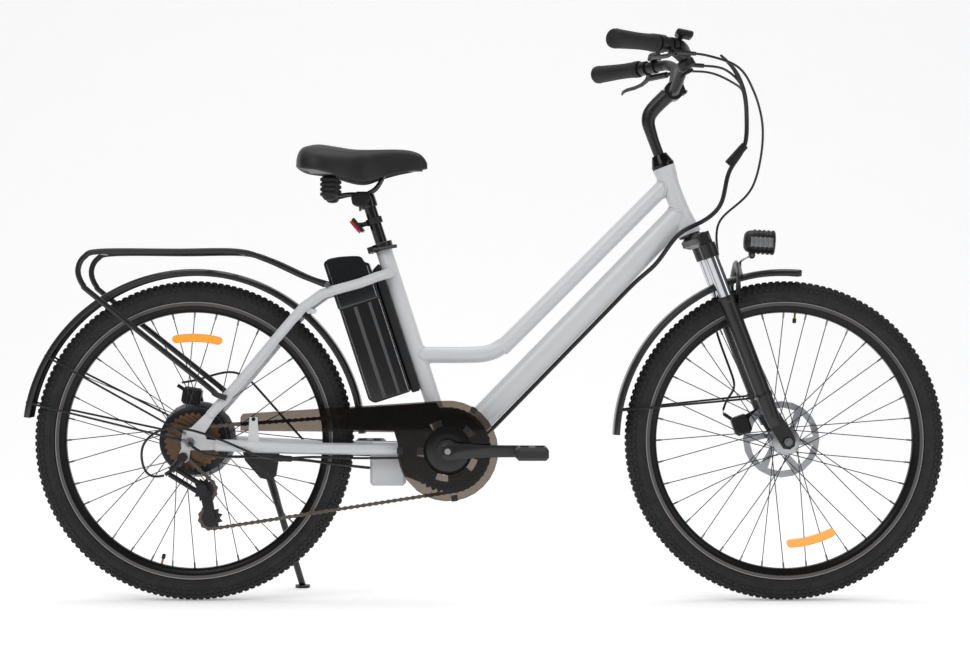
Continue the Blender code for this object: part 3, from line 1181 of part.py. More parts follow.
# Display on a ring of its own, and the bell on the other side
display_at = -0.0650
display = bar_ring("display", -1, display_at, 0.007, 0.0138, black_plastic)
display_top = on_bar(-1, display_at) + Vector((0.014, 0.008, 0.0235))
display_case = block("case", (0.034, 0.050, 0.013), display_top, black_plastic, 0.003, math.radians(-12))
display_neck = rod("neck", [on_bar(-1, display_at) + 0.008 * UP, display_top], 0.0050, black_plastic, 6)
display = bored(joined(display, as_mesh(display_case), display_neck), -1, display_at)
display.name = "display"
bell_at = -0.0400
bell_top = on_bar(1, bell_at) + 0.0150 * UP
bell = bar_ring("bell", 1, bell_at, 0.010, 0.0145, black_plastic)
bell_dome = lathe("dome",
                  [(0.0, 0.0170), (0.0080, 0.0155), (0.0130, 0.0110), (0.0150, 0.0040), (0.0150, -0.0010),
                   (0.0, -0.0010)],
                  bell_top, UP, black_paint, 14)
bell = bored(joined(bell, as_mesh(bell_dome)), 1, bell_at)
bell.name = "bell"

# Fork: steerer, crown and two chromed stanchions in one, which the legs slide on
crown_high = HEAD_TUBE_LOW - 0.0030
crown_low = crown_high - CROWN_HEIGHT
stanchion_low = LEG_TOP - STANCHION_OVERLAP
steerer_high = cap_high - 0.0063
steerer_floor = cap_high - 0.060
profile = [(0.0, steerer_floor), (QUILL_ROOM, steerer_floor), (QUILL_ROOM, steerer_high)]
profile += [(STEERER_RADIUS, steerer_high), (STEERER_RADIUS, crown_high + 0.0027),
            (0.0225, crown_high + 0.0027)]
profile += [(0.0225, crown_high - 0.002), (STEERER_RADIUS, crown_high - 0.004),
            (STEERER_RADIUS, crown_low + 0.004)]
profile += [(0.0, crown_low + 0.004)]
steerer = lathe("fork_crown", profile, steer(0.0), STEER_UP, steel, 12)
crown_rows = []
for i in range(9):
    left = (i - 4) / 4 * (LEG_SPACING / 2 + STANCHION_RADIUS + 0.004)
    share = abs(i - 4) / 4
    ahead = LEG_OFFSET * (1 - (1 - share) ** 2) * 0.98
    depth = 0.0235 - 0.0060 * share if i not in (0, 8) else 0.0115
    tall = CROWN_HEIGHT / 2 * (1.0 if i not in (0, 8) else 0.72)
    drop = -0.003 * share**2
    middle = steer((crown_high + crown_low) / 2 + drop, ahead * 0.9, left)
    crown_rows.append(oval(middle, depth * STEER_AHEAD, tall * STEER_UP, 8, math.pi / 8))
crown = loft("crown", crown_rows, black_paint)
stanchions = []
for side in (-1, 1):
    high = crown_high - 0.004
    middle = steer((high + stanchion_low) / 2, LEG_OFFSET, side * LEG_SPACING / 2)
    stanchions.append(as_mesh(cylinder("stanchion", STANCHION_RADIUS, high - stanchion_low, middle,
                                       STEER_UP, chrome, 12)))
fork_crown = joined(as_mesh(steerer), crown, *stanchions)
fork_crown.name = "fork_crown"


def fork_leg(side):
    """A cast leg that tapers towards its flattened dropout, with a collar at the seal."""
    line = side * LEG_SPACING / 2
    rows = ((LEG_TOP, 1.10, 1.10), (LEG_TOP - 0.012, 1.10, 1.10), (LEG_TOP - 0.014, 1.0, 1.0),
            (0.15, 1.0, 1.0), (0.060, 0.94, 0.92),
            (0.040, 0.80, 0.62))
    rings = []
    for height, deep, wide in rows:
        rings.append(oval(steer(height, LEG_OFFSET, line), deep * LEG_RADIUS * STEER_AHEAD,
                          wide * LEG_RADIUS * LEFT, 12))
    return loft("leg", rings, black_paint)


tab_half = 0.0040
tab_line = FRONT_SPACING / 2 + tab_half
lowers = [fork_leg(-1), fork_leg(1)]
for side in (-1, 1):
    foot = FRONT_AXLE
    high = steer(0.060, LEG_OFFSET)
    tab = [(high.x - 0.014, high.z - 0.004), (foot.x - 0.014, foot.z - 0.006),
           (foot.x - 0.009, foot.z - 0.014)]
    tab += [(foot.x + 0.004, foot.z - 0.016), (foot.x + 0.014, foot.z - 0.009),
            (foot.x + 0.016, foot.z + 0.004)]
    tab += [(foot.x + 0.010, foot.z + 0.018), (high.x + 0.014, high.z + 0.012)]
    hole = arc(foot.x, foot.z, AXLE_RADIUS + 2 * SEAT_GAP, 0, 324, 10)
    lowers.append(side_plate("tab", tab, 2 * tab_half, side * tab_line, black_paint, [hole]))
arch_rows = []
for i in range(9):
    turn = math.pi * (i / 8)
    left = -math.cos(turn) * (LEG_SPACING / 2)
    height = LEG_TOP - 0.020 + 0.068 * math.sin(turn) ** 0.7
    ahead = LEG_OFFSET + 0.020 + 0.032 * math.sin(turn)
    middle = steer(height, ahead, left)
    swing = abs(math.cos(turn)) ** 1.5
    outward = math.copysign(1.0, -math.cos(turn)) * LEFT
    across = ((1 - swing) * STEER_UP + swing * outward).normalized()
    arch_rows.append(oval(middle, 0.0055 * STEER_AHEAD, 0.0150 * across, 8, math.pi / 8))
arch = loft("arch", arch_rows, black_paint)
lowers.append(arch)

# Headlight on a bracket that is bolted to the arch
light_pivot = steer(LEG_TOP + 0.052, LEG_OFFSET + 0.052) + Vector((0.030, 0.0, 0.019))
strip_points = [steer(LEG_TOP + 0.044, LEG_OFFSET + 0.055), steer(LEG_TOP + 0.056, LEG_OFFSET + 0.060)]
strip_points += [light_pivot - Vector((0.012, 0.0, 0.005)), light_pivot]
rings = []
for i, point in enumerate(strip_points):
    run = (strip_points[min(i + 1, 3)] - strip_points[max(i - 1, 0)]).normalized()
    flat = LEFT.cross(run)
    wide = 0.009 if i < 2 else 0.0042
    rings.append([point + a * 0.0016 * flat + b * wide * LEFT for a,
                  b in ((-1, -1), (1, -1), (1, 1), (-1, 1))])
strip = loft("strip", rings, steel)
light_eye = cylinder("eye", 0.0065, 0.0100, light_pivot, LEFT, steel, 12)
mount_turn = math.pi / 2 + HEAD_TILT - math.radians(6)
mount_out = Vector((math.cos(mount_turn), 0.0, math.sin(mount_turn)))
past_start = mount_turn - math.radians(FRONT_GUARD_START)
past_flat = (past_start % front_guard_step) - front_guard_step / 2
guard_flat = GUARD_RADIUS * math.cos(front_guard_step / 2) / math.cos(past_flat)
guard_mount = cylinder("mount", 0.0060, 0.013,
                       FRONT_AXLE + (guard_flat + 1.5 * SEAT_GAP + 0.0065) * mount_out, mount_out,
                       black_paint, 8)
fork_lowers = joined(*lowers, joined(strip, as_mesh(light_eye)), as_mesh(guard_mount))
rooms = [as_mesh(cylinder("room", 0.0020 + SEAT_GAP, 0.03, light_pivot, LEFT, steel, 8))]
bore_low = stanchion_low - FORK_TRAVEL - 0.012
bore_high = LEG_TOP + 0.120
for side in (-1, 1):
    middle = steer((bore_low + bore_high) / 2, LEG_OFFSET, side * LEG_SPACING / 2)
    rooms.append(as_mesh(cylinder("room", STANCHION_RADIUS + 2 * SEAT_GAP, bore_high - bore_low, middle,
                                  STEER_UP, black_paint, 12)))
fork_lowers = cut(fork_lowers, *rooms)
fork_lowers.name = "fork_lowers"

light_centre = light_pivot + Vector((0.012, 0.0, 0.0285))
body_profile = [(0.0, 0.034), (0.0215, 0.034), (0.0255, 0.031), (0.0255, 0.016), (0.0235, 0.014)]
for i in range(2):
    low = 0.008 - 0.012 * i
    body_profile += [(0.0255, low), (0.0255, low - 0.0055), (0.0235, low - 0.0080)]
body_profile += [(0.0215, -0.022), (0.0170, -0.028), (0.0, -0.029)]
headlight = lathe("headlight", body_profile, light_centre, AHEAD - 0.06 * UP, grey_plastic, 12)
eye_room = cylinder("room", 0.0080, 0.0106, light_pivot, LEFT, grey_plastic, 12)
headlight = cut(as_mesh(headlight), as_mesh(eye_room))
lugs = []
for side in (-1, 1):
    centre = light_pivot + side * (0.0050 + SEAT_GAP + 0.0020) * LEFT
    lugs.append(block("lug", (0.012, 0.0040, 0.018), centre + 0.0050 * UP, grey_plastic))
lug_pin = cylinder("pin", 0.0020, 0.018, light_pivot, LEFT, steel, 8)
headlight = joined(headlight, *[as_mesh(piece) for piece in lugs], as_mesh(lug_pin))
headlight.name = "headlight"
pivot("headlight_axis", light_pivot, LEFT, headlight)

# Disc brake calipers, each with its lever arm and the bracket that it is bolted by
def caliper(name, centre, line, reach, rise, bracket):
    """A cast body with a slot that the disc runs in."""
    middle = centre + Vector((reach, line + 0.006, rise))
    body = block(name, (0.040, 0.034, 0.036), middle, black_paint, 0.005, math.atan2(reach, rise))
    piston = cylinder("piston", 0.0135, 0.012, middle + 0.020 * LEFT, LEFT, black_paint, 14)
    arm = rod("arm", [middle + 0.024 * LEFT, middle + Vector((-0.016, 0.024, 0.010)),
                      middle + Vector((-0.034, 0.022, 0.022))],
              0.0042, black_paint, 6)
    slot = cylinder("slot", ROTOR_RADIUS + 0.0030, 0.0064, centre + line * LEFT, LEFT, black_paint, 24)
    return cut(joined(as_mesh(body), as_mesh(piston), arm, bracket), as_mesh(slot))


front_caliper_reach = -0.083
front_caliper_rise = 0.030
leg_back = steer(0.066, LEG_OFFSET - 0.951 * LEG_RADIUS - SEAT_GAP, LEG_SPACING / 2)
bracket_start = FRONT_AXLE + Vector((front_caliper_reach + 0.004, FRONT_ROTOR_LINE + 0.018,
                                     front_caliper_rise + 0.006))
bracket_stop = Vector((leg_back.x, LEG_SPACING / 2 - 0.003, leg_back.z))
run = (bracket_stop - bracket_start).normalized()
rings = []
for point in (bracket_start, bracket_stop):
    rings.append([point + a * 0.010 * STEER_UP + b * 0.0045 * LEFT for a,
                  b in ((-1, -1), (1, -1), (1, 1), (-1, 1))])
front_caliper = caliper("front_caliper", FRONT_AXLE, FRONT_ROTOR_LINE, front_caliper_reach,
                        front_caliper_rise,
                        loft("bracket", rings, black_paint))
front_caliper.name = "front_caliper"
plate_line = REAR_SPACING / 2 - SEAT_GAP - 0.0035
shape = [(-0.012, 0.016), (0.014, 0.016), (0.016, 0.045), (0.004, 0.104), (-0.030, 0.104), (-0.034, 0.080),
         (-0.014, 0.048)]
shape = [(REAR_AXLE.x + x, REAR_AXLE.z + z) for x, z in shape]
rear_caliper = caliper("rear_caliper", REAR_AXLE, REAR_ROTOR_LINE, -0.014, 0.090,
                       side_plate("bracket", shape, 0.0068, plate_line, black_paint))
rear_caliper.name = "rear_caliper"

# Cassette: seven toothed cogs on one core, the smallest outermost
outer_cog = REAR_SPACING / 2 - 0.0080
cogs = []
for i, teeth in enumerate(COG_TEETH):
    outline = toothed(teeth, pitch_radius(teeth))
    if 1 < i < 6:
        outline = outline[1::2]
    outline = [(REAR_AXLE.x + x, REAR_AXLE.z + z) for x, z in outline]
    cogs.append(side_plate("cog", outline, COG_THICKNESS, -(outer_cog - COG_SPACING * i), dark_steel))
core_high = -(outer_cog - COG_SPACING * (len(COG_TEETH) - 1)) + 0.0020
core_low = -outer_cog - 0.0030
core = cylinder("cassette", 0.0195, core_high - core_low, REAR_AXLE + (core_high + core_low) / 2 * LEFT,
                LEFT, dark_steel)
cog_hole = cylinder("room", AXLE_RADIUS + 0.0015, 0.2, REAR_AXLE, LEFT, dark_steel, 16)
cassette = cut(joined(as_mesh(core), bundle("cogs", cogs, dark_steel)), as_mesh(cog_hole))
cassette.name = "cassette"
pivot("cassette_axis", REAR_AXLE, LEFT, cassette)

# Chainring with five windows, bolted to the right crank
ring_outline = [(BRACKET.x + x, BRACKET.z + z) for x, z in toothed(RING_TEETH, pitch_radius(RING_TEETH))]
ring_band = pitch_radius(RING_TEETH) - 0.016
windows = []
for i in range(5):
    out = arc(BRACKET.x, BRACKET.z, ring_band, 72 * i + 10, 72 * i + 62, 4)
    windows.append(out + arc(BRACKET.x, BRACKET.z, 0.034, 72 * i + 52, 72 * i + 20, 3))
ring_hole = arc(BRACKET.x, BRACKET.z, SPINDLE_RADIUS + 0.0020, 0, 315, 8)
chainring = side_plate("chainring", ring_outline, 0.0022, -RING_LINE, black_paint, [ring_hole, *windows])


def crank(name, side, toward):
    """A crank arm with its boss on the spindle and the pedal's axle screwed into its far end."""
    rings = []
    for share, tall, half in ((-0.06, 0.0135, 0.0066), (0.0, 0.0185, 0.0066), (0.12, 0.0160, 0.0066),
                              (0.5, 0.0125, 0.0060),
                              (0.92, 0.0120, 0.0060), (1.0, 0.0120, 0.0060), (1.055, 0.0070, 0.0056)):
        middle = BRACKET + share * CRANK_LENGTH * toward * AHEAD + side * CRANK_LINE * LEFT
        rings.append([middle + a * tall * UP + b * half * LEFT for a, b in
                      ((-0.6, -1), (0.6, -1), (1, -0.4), (1, 0.4), (0.6, 1), (-0.6, 1), (-1, 0.4),
                       (-1, -0.4))])
    arm = loft(name, rings, black_paint)
    end = BRACKET + CRANK_LENGTH * toward * AHEAD + side * (CRANK_LINE + 0.046) * LEFT
    return joined(arm, as_mesh(cylinder("pedal_axle", 0.0048, 0.088, end, LEFT, steel, 10)))


crank_right = crank("crank_right", -1, 1)
boss_in = RING_LINE + 0.0011 + SEAT_GAP
boss_length = CRANK_LINE - boss_in
boss = cylinder("boss", 0.0230, boss_length, BRACKET - (boss_in + boss_length / 2) * LEFT, LEFT,
                black_paint, 16)
spindle_room = cylinder("room", SPINDLE_RADIUS + SEAT_GAP, 0.08, BRACKET - (CRANK_LINE - 0.022) * LEFT,
                        LEFT, steel, 12)
crank_right = cut(joined(crank_right, as_mesh(boss)), as_mesh(spindle_room))
crank_right.name = "crank_right"
crank_left = crank("crank_left", 1, -1)
spindle_half = CRANK_LINE + 0.006
bearing_low = SHELL_HALF - 0.010
bearing_high = SHELL_HALF + 0.002
bearing = SPINDLE_RADIUS + 0.0042
profile = [(0.0, CRANK_LINE), (SPINDLE_RADIUS, CRANK_LINE), (SPINDLE_RADIUS, bearing_high),
           (bearing, bearing_high)]
profile += [(bearing, bearing_low), (SPINDLE_RADIUS, bearing_low), (SPINDLE_RADIUS, -bearing_low),
            (bearing, -bearing_low)]
profile += [(bearing, -bearing_high), (SPINDLE_RADIUS, -bearing_high), (SPINDLE_RADIUS, -spindle_half),
            (0.0, -spindle_half)]
crank_left = joined(crank_left, as_mesh(lathe("spindle", profile, BRACKET, LEFT, steel, 12)))
crank_left.name = "crank_left"


def pedal(name, side, toward):
    """A platform pedal: a tapered body with two windows and a bore for its axle."""
    centre = BRACKET + CRANK_LENGTH * toward * AHEAD + side * (CRANK_LINE + 0.012 + PEDAL_LENGTH / 2) * LEFT
    body = block(name, (PEDAL_WIDTH, PEDAL_LENGTH, PEDAL_THICKNESS), centre, black_plastic, 0.006)
    rooms = []
    for reach in (-0.23, 0.23):
        size = (0.26 * PEDAL_WIDTH, 0.66 * PEDAL_LENGTH, 2 * PEDAL_THICKNESS)
        rooms.append(as_mesh(block("window", size, centre + reach * PEDAL_WIDTH * AHEAD, black_plastic)))
    rooms.append(as_mesh(cylinder("bore", 0.0048 + SEAT_GAP, 0.16, centre - side * 0.040 * LEFT, LEFT,
                                  black_plastic, 10)))
    made = cut(as_mesh(body), *rooms)
    made.name = name
    return made


pedal_right = pedal("pedal_right", -1, 1)
pedal_left = pedal("pedal_left", 1, -1)
crank_axis = pivot("crank_axis", BRACKET, LEFT, chainring, crank_right, crank_left)
for side, toward, piece in ((-1, 1, pedal_right), (1, -1, pedal_left)):
    pedal_axis = pivot(f"{piece.name}_axis",
                       BRACKET + CRANK_LENGTH * toward * AHEAD + side * CRANK_LINE * LEFT, LEFT, piece)
    pedal_axis.parent = crank_axis
    pedal_axis.matrix_parent_inverse = crank_axis.matrix_world.inverted()

# Chain: round the chainring, the lower pulley, the upper pulley and the smallest cog, in the order it travels
guide_at = REAR_AXLE + Vector((0.029, 0.0, -0.098))
tension_at = REAR_AXLE + Vector((0.041, 0.0, -0.155))
pulley_radius = pitch_radius(PULLEY_TEETH)
chain_wheels = ((BRACKET, pitch_radius(RING_TEETH), -1, -RING_LINE),
                (tension_at, pulley_radius, -1, -outer_cog),
                (guide_at, pulley_radius, 1, -outer_cog),
                (REAR_AXLE, pitch_radius(COG_TEETH[0]), -1, -outer_cog))


def tangent(first, second):
    """Where the chain leaves one wheel and meets the next. A wheel that it rounds clockwise counts as -1."""
    gap = second[0] - first[0]
    reach = second[1] * second[2] - first[1] * first[2]
    lean = math.atan2(gap.z, gap.x) + math.acos(reach / gap.length)
    normal = Vector((math.cos(lean), 0.0, math.sin(lean)))
    return first[0] - first[2] * first[1] * normal, second[0] - second[2] * second[1] * normal


def turn_of(centre, point):
    return math.atan2(point.z - centre.z, point.x - centre.x)


runs = [tangent(chain_wheels[i], chain_wheels[(i + 1) % 4]) for i in range(4)]
legs = []
for i, (centre, radius, way, line) in enumerate(chain_wheels):
    start = turn_of(centre, runs[i - 1][1])
    sweep = way * ((way * (turn_of(centre, runs[i][0]) - start)) % (2 * math.pi))
    legs.append((abs(sweep) * radius, centre, radius, start, sweep))
    legs.append(((runs[i][1] - runs[i][0]).length, *runs[i], None, None))
chain_length = sum(leg[0] for leg in legs)
links = 2 * round(chain_length / CHAIN_PITCH / 2)
link = chain_length / links
leg_ends = [0.0]
for leg in legs:
    leg_ends.append(leg_ends[-1] + leg[0])
ring_reach = 3.5 * link
cog_reach = 2.5 * link


def chain_row(distance, tall, near, far):
    """The corners of the chain's section at this distance along it, from near to far on one side of its line."""
    distance %= chain_length
    i = max(k for k in range(len(legs)) if leg_ends[k] <= distance)
    length, first, second, start, sweep = legs[i]
    share = (distance - leg_ends[i]) / length
    if start is None:
        point = first.lerp(second, share)
        out = (second - first).normalized().cross(LEFT)
    else:
        turn = start + sweep * share
        out = -math.copysign(1.0, sweep) * Vector((math.cos(turn), 0.0, math.sin(turn)))
        point = first + second * Vector((math.cos(turn), 0.0, math.sin(turn)))
    left = chain_wheels[i // 2][3]
    if start is None and i in (1, 7):
        ring_end = ring_reach if i == 1 else length - ring_reach
        cog_end = length - cog_reach if i == 1 else cog_reach
        share = min(1.0, max(0.0, (distance - leg_ends[i] - ring_end) / (cog_end - ring_end)))
        left = -RING_LINE + (RING_LINE - outer_cog) * share
    return [point + rise * tall * out + (left + wide) * LEFT for rise,
            wide in ((-1, near), (1, near), (1, far), (-1, far))]


def chain_strip(start, stop, rows):
    """A length of chain with a section at each pin, each a (half height, near, far)."""
    count = round((stop - start) / link)
    rings = []
    for i in range(count + 1):
        rings.append(chain_row(start + (stop - start) * i / count, *rows[i % len(rows)]))
    return loft("strip", rings, dark_steel)


pieces = []
ring_start = leg_ends[7] + legs[7][0] - ring_reach
ring_stop = chain_length + leg_ends[1] + ring_reach
back_start = leg_ends[2] - cog_reach
back_stop = leg_ends[7] + cog_reach
for side in (-1, 1):
    near, far = sorted((0.0017 * side, 0.0029 * side))
    pieces.append(chain_strip(ring_start, ring_stop, ((0.0043, near, far), (0.0033, near, far))))
    pieces.append(chain_strip(back_start, back_stop, ((0.0043, near, far), (0.0033, near, far))))
lap = 0.6 * link
lower_run = chain_strip(leg_ends[1] + ring_reach - lap, back_start + lap,
                        ((0.0040, -0.0026, 0.0026), (0.0028, -0.0020, 0.0020)))
upper_run = chain_strip(back_stop - lap, ring_start + lap,
                        ((0.0040, -0.0026, 0.0026), (0.0028, -0.0020, 0.0020)))
chain = joined(lower_run, pieces[0], pieces[2], upper_run, pieces[1], pieces[3])
chain.name = "chain"

# Derailleur: a knuckle on the hanger, two links, and a cage that holds the pulleys
pulley_bolt = 0.0025


def pulley(name, centre):
    """A toothed pulley with a boss on each side."""
    outline = [(centre.x + x, centre.z + z) for x, z in toothed(PULLEY_TEETH, pulley_radius)]
    boss = cylinder("boss", 0.0085, 0.0066, centre - outer_cog * LEFT, LEFT, black_plastic, 12)
    bore = cylinder("room", pulley_bolt + SEAT_GAP, 0.2, centre, LEFT, black_plastic, 10)
    return cut(joined(side_plate(name, outline, 0.0022, -outer_cog, black_plastic), as_mesh(boss)),
               as_mesh(bore))


pulley_upper = pulley("pulley_upper", guide_at)
pulley_lower = pulley("pulley_lower", tension_at)
pulley_upper.name = "pulley_upper"
pulley_lower.name = "pulley_lower"
pivot("pulley_upper_axis", guide_at, LEFT, pulley_upper)
pivot("pulley_lower_axis", tension_at, LEFT, pulley_lower)
cage_turn = math.degrees(turn_of(guide_at, tension_at))
cage_shape = arc(guide_at.x, guide_at.z, 0.0115, cage_turn + 90, cage_turn + 270, 7)
cage_shape += arc(tension_at.x, tension_at.z, 0.0100, cage_turn - 90, cage_turn + 90, 7)
cage = [side_plate("cage", cage_shape, 0.0016, -outer_cog + side * 0.0052, black_paint) for side in (-1, 1)]
for centre in (guide_at, tension_at):
    bolt = cylinder("bolt", pulley_bolt, 0.0150, centre - outer_cog * LEFT, LEFT, black_paint, 8)
    cage.append(as_mesh(bolt))
knuckle_at = Vector((hanger.x, -REAR_SPACING / 2 - DROPOUT_THICKNESS - SEAT_GAP - 0.0085, hanger.y))
lower_knuckle = guide_at + Vector((-0.004, -outer_cog - 0.0170, 0.002))
elbow = REAR_AXLE + Vector((-0.036, knuckle_at.y - 0.002, -0.057))
cage.append(as_mesh(cylinder("knuckle", 0.0100, 0.0170, knuckle_at, LEFT, black_paint, 12)))
cage.append(rod("neck", [knuckle_at, elbow], 0.0075, black_paint, 8))
for rise in (-0.007, 0.007):
    shift = Vector((0.6 * rise, 0.0, rise))
    cage.append(rod("link", [elbow + shift, lower_knuckle + shift], 0.0058, black_paint, 6))
cage.append(as_mesh(cylinder("knuckle", 0.0125, 0.0195, lower_knuckle + 0.0018 * LEFT, LEFT, black_paint,
                             12)))
barrel_out = elbow + Vector((-0.012, -0.001, -0.008))
cage.append(rod("barrel", [elbow, barrel_out], 0.0045, black_paint, 6))
derailleur = joined(*cage)
derailleur.name = "derailleur"

# Chain cover: a disc round the chainring and a tail over the top of the chain, with a wall that turns inwards
cover_face = 0.0655
cover_wall = 0.0120
cover_sheet = 0.0016
tail_low = cover_bolt + Vector((-0.027, -0.024))
cover_outline = arc(BRACKET.x, BRACKET.z, COVER_RADIUS, -128, 96, 20)
cover_outline += [(cover_bolt.x - 0.022, cover_bolt.y + 0.011),
                  (cover_bolt.x - 0.027, cover_bolt.y + 0.004)]
cover_outline += [(tail_low.x, tail_low.y), (BRACKET.x - 0.108, BRACKET.z + 0.038)]
cover_outline += arc(BRACKET.x, BRACKET.z, COVER_RADIUS, 172, 215, 6)
inner_outline = arc(BRACKET.x, BRACKET.z, COVER_RADIUS - cover_sheet, -128, 96, 20)
inner_outline += [(cover_bolt.x - 0.020, cover_bolt.y + 0.011 - cover_sheet),
                  (cover_bolt.x - 0.060, cover_bolt.y + 0.003)]
inner_outline += [(cover_bolt.x - 0.060, cover_bolt.y - 0.060), (BRACKET.x - 0.140, BRACKET.z + 0.005)]
inner_outline += [(BRACKET.x - 0.140, BRACKET.z - 0.120), (BRACKET.x - 0.060, BRACKET.z - 0.120)]
cover_hole = arc(BRACKET.x, BRACKET.z, 0.0500, 0, 340, 18)
bolt_hole = arc(cover_bolt.x, cover_bolt.y, 0.0030, 0, 315, 8)
sheet = side_plate("chain_guard", cover_outline, cover_sheet, -cover_face + cover_sheet / 2,
                   smoked_plastic, [cover_hole, bolt_hole])
wall = side_plate("wall", cover_outline, cover_wall, -cover_face + 0.0002 + cover_wall / 2, smoked_plastic)
inside = side_plate("inside", inner_outline, 3 * cover_wall, -cover_face + cover_wall / 2, smoked_plastic)
chain_guard = joined(sheet, cut(wall, inside))
chain_guard.name = "chain_guard"

# Kickstand: a leg on a slanted pin, so that it folds back along the stay, with a flat foot
leg_eye = cylinder("kickstand_leg", 0.0110, 0.0152, stand_at + 0.0016 * stand_axis, stand_axis,
                   black_paint, 14)
ankle = stand_foot + 0.0040 * UP
leg_run = rod("leg", [stand_at, stand_at.lerp(ankle, 0.15), ankle], 0.0068, black_paint, 8)
foot_disc = cylinder("foot", 0.0160, 0.0060, stand_foot + 0.0030 * UP, UP, black_paint, 14)
kickstand_leg = joined(as_mesh(leg_eye), leg_run, as_mesh(foot_disc))
pin_room = cylinder("room", 0.0040 + SEAT_GAP, 0.0240, stand_at, stand_axis, steel, 12)
kickstand_leg = cut(kickstand_leg, as_mesh(pin_room))
kickstand_leg.name = "kickstand_leg"
pivot("kickstand_axis", stand_at, stand_axis, kickstand_leg)

# Cables, which run from the bar into a sleeve, under the down tube and along the chainstays
def under_tube(along, away, left=0.0):
    """A point under the down tube, this far along it from its top and this far from its axis."""
    return down_high + along * down_run + away * down_under + left * LEFT


tube_reach = (down_low - down_high).length
bundle_radius = 0.0048
under = DOWN_TUBE_RADIUS + bundle_radius + 2 * SEAT_GAP
thin_under = 0.955 * DOWN_TUBE_RADIUS + 0.0025 + 2 * SEAT_GAP
bundle_points = [clamp_centre + Vector((0.0851, -0.1200, 0.0592)),
                 clamp_centre + Vector((0.1181, -0.0850, 0.0332)),
                 clamp_centre + Vector((0.1411, -0.0560, -0.0108))]
bundle_points += [clamp_centre + Vector((0.1471, -0.0400, -0.0638)),
                  clamp_centre + Vector((0.1436, -0.0340, -0.1198)), steer(0.560, 0.1180, -0.033)]
bundle_points += [steer(0.502, 0.0800, -0.036), steer(0.4825, 0.0300, -0.0385),
                  steer(0.4780, -0.022, -0.0390)]
bundle_points += [under_tube(0.115, under + 0.004, -0.022), under_tube(0.165, under, 0.0)]
bundle_points += [under_tube(0.30, under), under_tube(tube_reach - 0.090, under)]
bundle = rod("cable_bundle", smoothed(bundle_points, 0.060), bundle_radius, black_plastic, 8)
sleeve_points = [clamp_centre + Vector((0.1441, -0.0345, -0.1148)), steer(0.575, 0.1225, -0.0332)]
sleeve = rod("sleeve", sleeve_points, 0.0085, black_plastic, 8)
perch_exit = {side: on_bar(side, perch_along[side] - 0.066, 0.0255) for side in (-1, 1)}
perch_run = {side: (perch_exit[side] - on_bar(side, perch_along[side] - 0.046,
                                              0.0265)).normalized() for side in (-1, 1)}
spout_run = (shift_exit - shifter_centre).normalized()
shift_line = [shift_exit + 0.0006 * spout_run, shift_exit + 0.018 * spout_run,
              bundle_points[0] - Vector((0.010, 0.006, -0.002))]
shift_line += [bundle_points[0] + Vector((0.006, 0.006, -0.004))]
left_line = [perch_exit[1] + 0.0006 * perch_run[1], perch_exit[1] + 0.030 * perch_run[1],
             clamp_centre + Vector((0.0851, 0.0700, 0.0472))]
left_line += [clamp_centre + Vector((0.1251, 0.0000, 0.0172)),
              bundle_points[2] + Vector((0.0, 0.004, 0.0)), bundle_points[3]]
cable_bundle = joined(bundle, sleeve,
                      rod("shift_line", smoothed(shift_line, 0.04), 0.0025, black_plastic, 6),
                      rod("left_line", smoothed(left_line, 0.06), 0.0025, black_plastic, 6))
cable_bundle.name = "cable_bundle"

front_line = [perch_exit[-1] + 0.0006 * perch_run[-1], perch_exit[-1] + 0.024 * perch_run[-1]]
front_line += [clamp_centre + Vector((0.1181, -0.1280, 0.0372)),
               clamp_centre + Vector((0.1521, -0.0900, -0.0028)),
               clamp_centre + Vector((0.1731, -0.0400, -0.0378)),
               clamp_centre + Vector((0.1846, -0.0080, -0.0778))]
front_line += [clamp_centre + Vector((0.1831, 0.0140, -0.1378)),
               clamp_centre + Vector((0.1621, 0.0320, -0.2078)), steer(0.470, 0.0700, 0.048)]
front_line += [steer(0.405, 0.0480, 0.062), steer(0.365, 0.0300, 0.0880), steer(0.325, 0.0130, 0.0900)]
front_line += [steer(0.270, -0.0080, 0.0850), steer(0.200, -0.0120, 0.0780), steer(0.130, -0.0160, 0.0720)]
arm_end = FRONT_AXLE + Vector((front_caliper_reach - 0.034, FRONT_ROTOR_LINE + 0.006 + 0.022,
                               front_caliper_rise + 0.022))
front_line += [arm_end + Vector((0.006, 0.0010, 0.0320)), arm_end + Vector((-0.0010, 0.0, 0.0080))]
front_brake_cable = rod("front_brake_cable", smoothed(front_line, 0.060), 0.0025, black_plastic, 6)

rear_line = [under_tube(tube_reach - 0.0885, under, 0.004),
             under_tube(tube_reach - 0.030, thin_under, 0.006)]
rear_line += [BRACKET + Vector((0.022, 0.008, -0.0225)), BRACKET + Vector((-0.008, 0.012, -0.0265))]
rear_line += [BRACKET + Vector((-0.050, 0.024, -0.0200)), BRACKET + Vector((-0.085, 0.0350, -0.0165))]
rear_line += [REAR_AXLE + Vector((0.3510, 0.0480, -0.0335)), REAR_AXLE + Vector((0.2610, 0.0640, -0.0290)),
              REAR_AXLE + Vector((0.2290, 0.0735, -0.0140))]
rear_line += [REAR_AXLE + Vector((0.2010, 0.0790, 0.0150)), REAR_AXLE + Vector((0.1040, 0.0830, 0.1235)),
              REAR_AXLE + Vector((0.0850, 0.0850, 0.1360))]
rear_line += [REAR_AXLE + Vector((0.0610, 0.0860, 0.1410)), REAR_AXLE + Vector((0.0260, 0.0850, 0.1330)),
              REAR_AXLE + Vector((-0.0090, 0.0840, 0.1220))]
rear_line += [REAR_AXLE + Vector((-0.0390, 0.0826, 0.1175))]
rear_brake_cable = rod("rear_brake_cable", smoothed(rear_line, 0.060), 0.0025, black_plastic, 6)

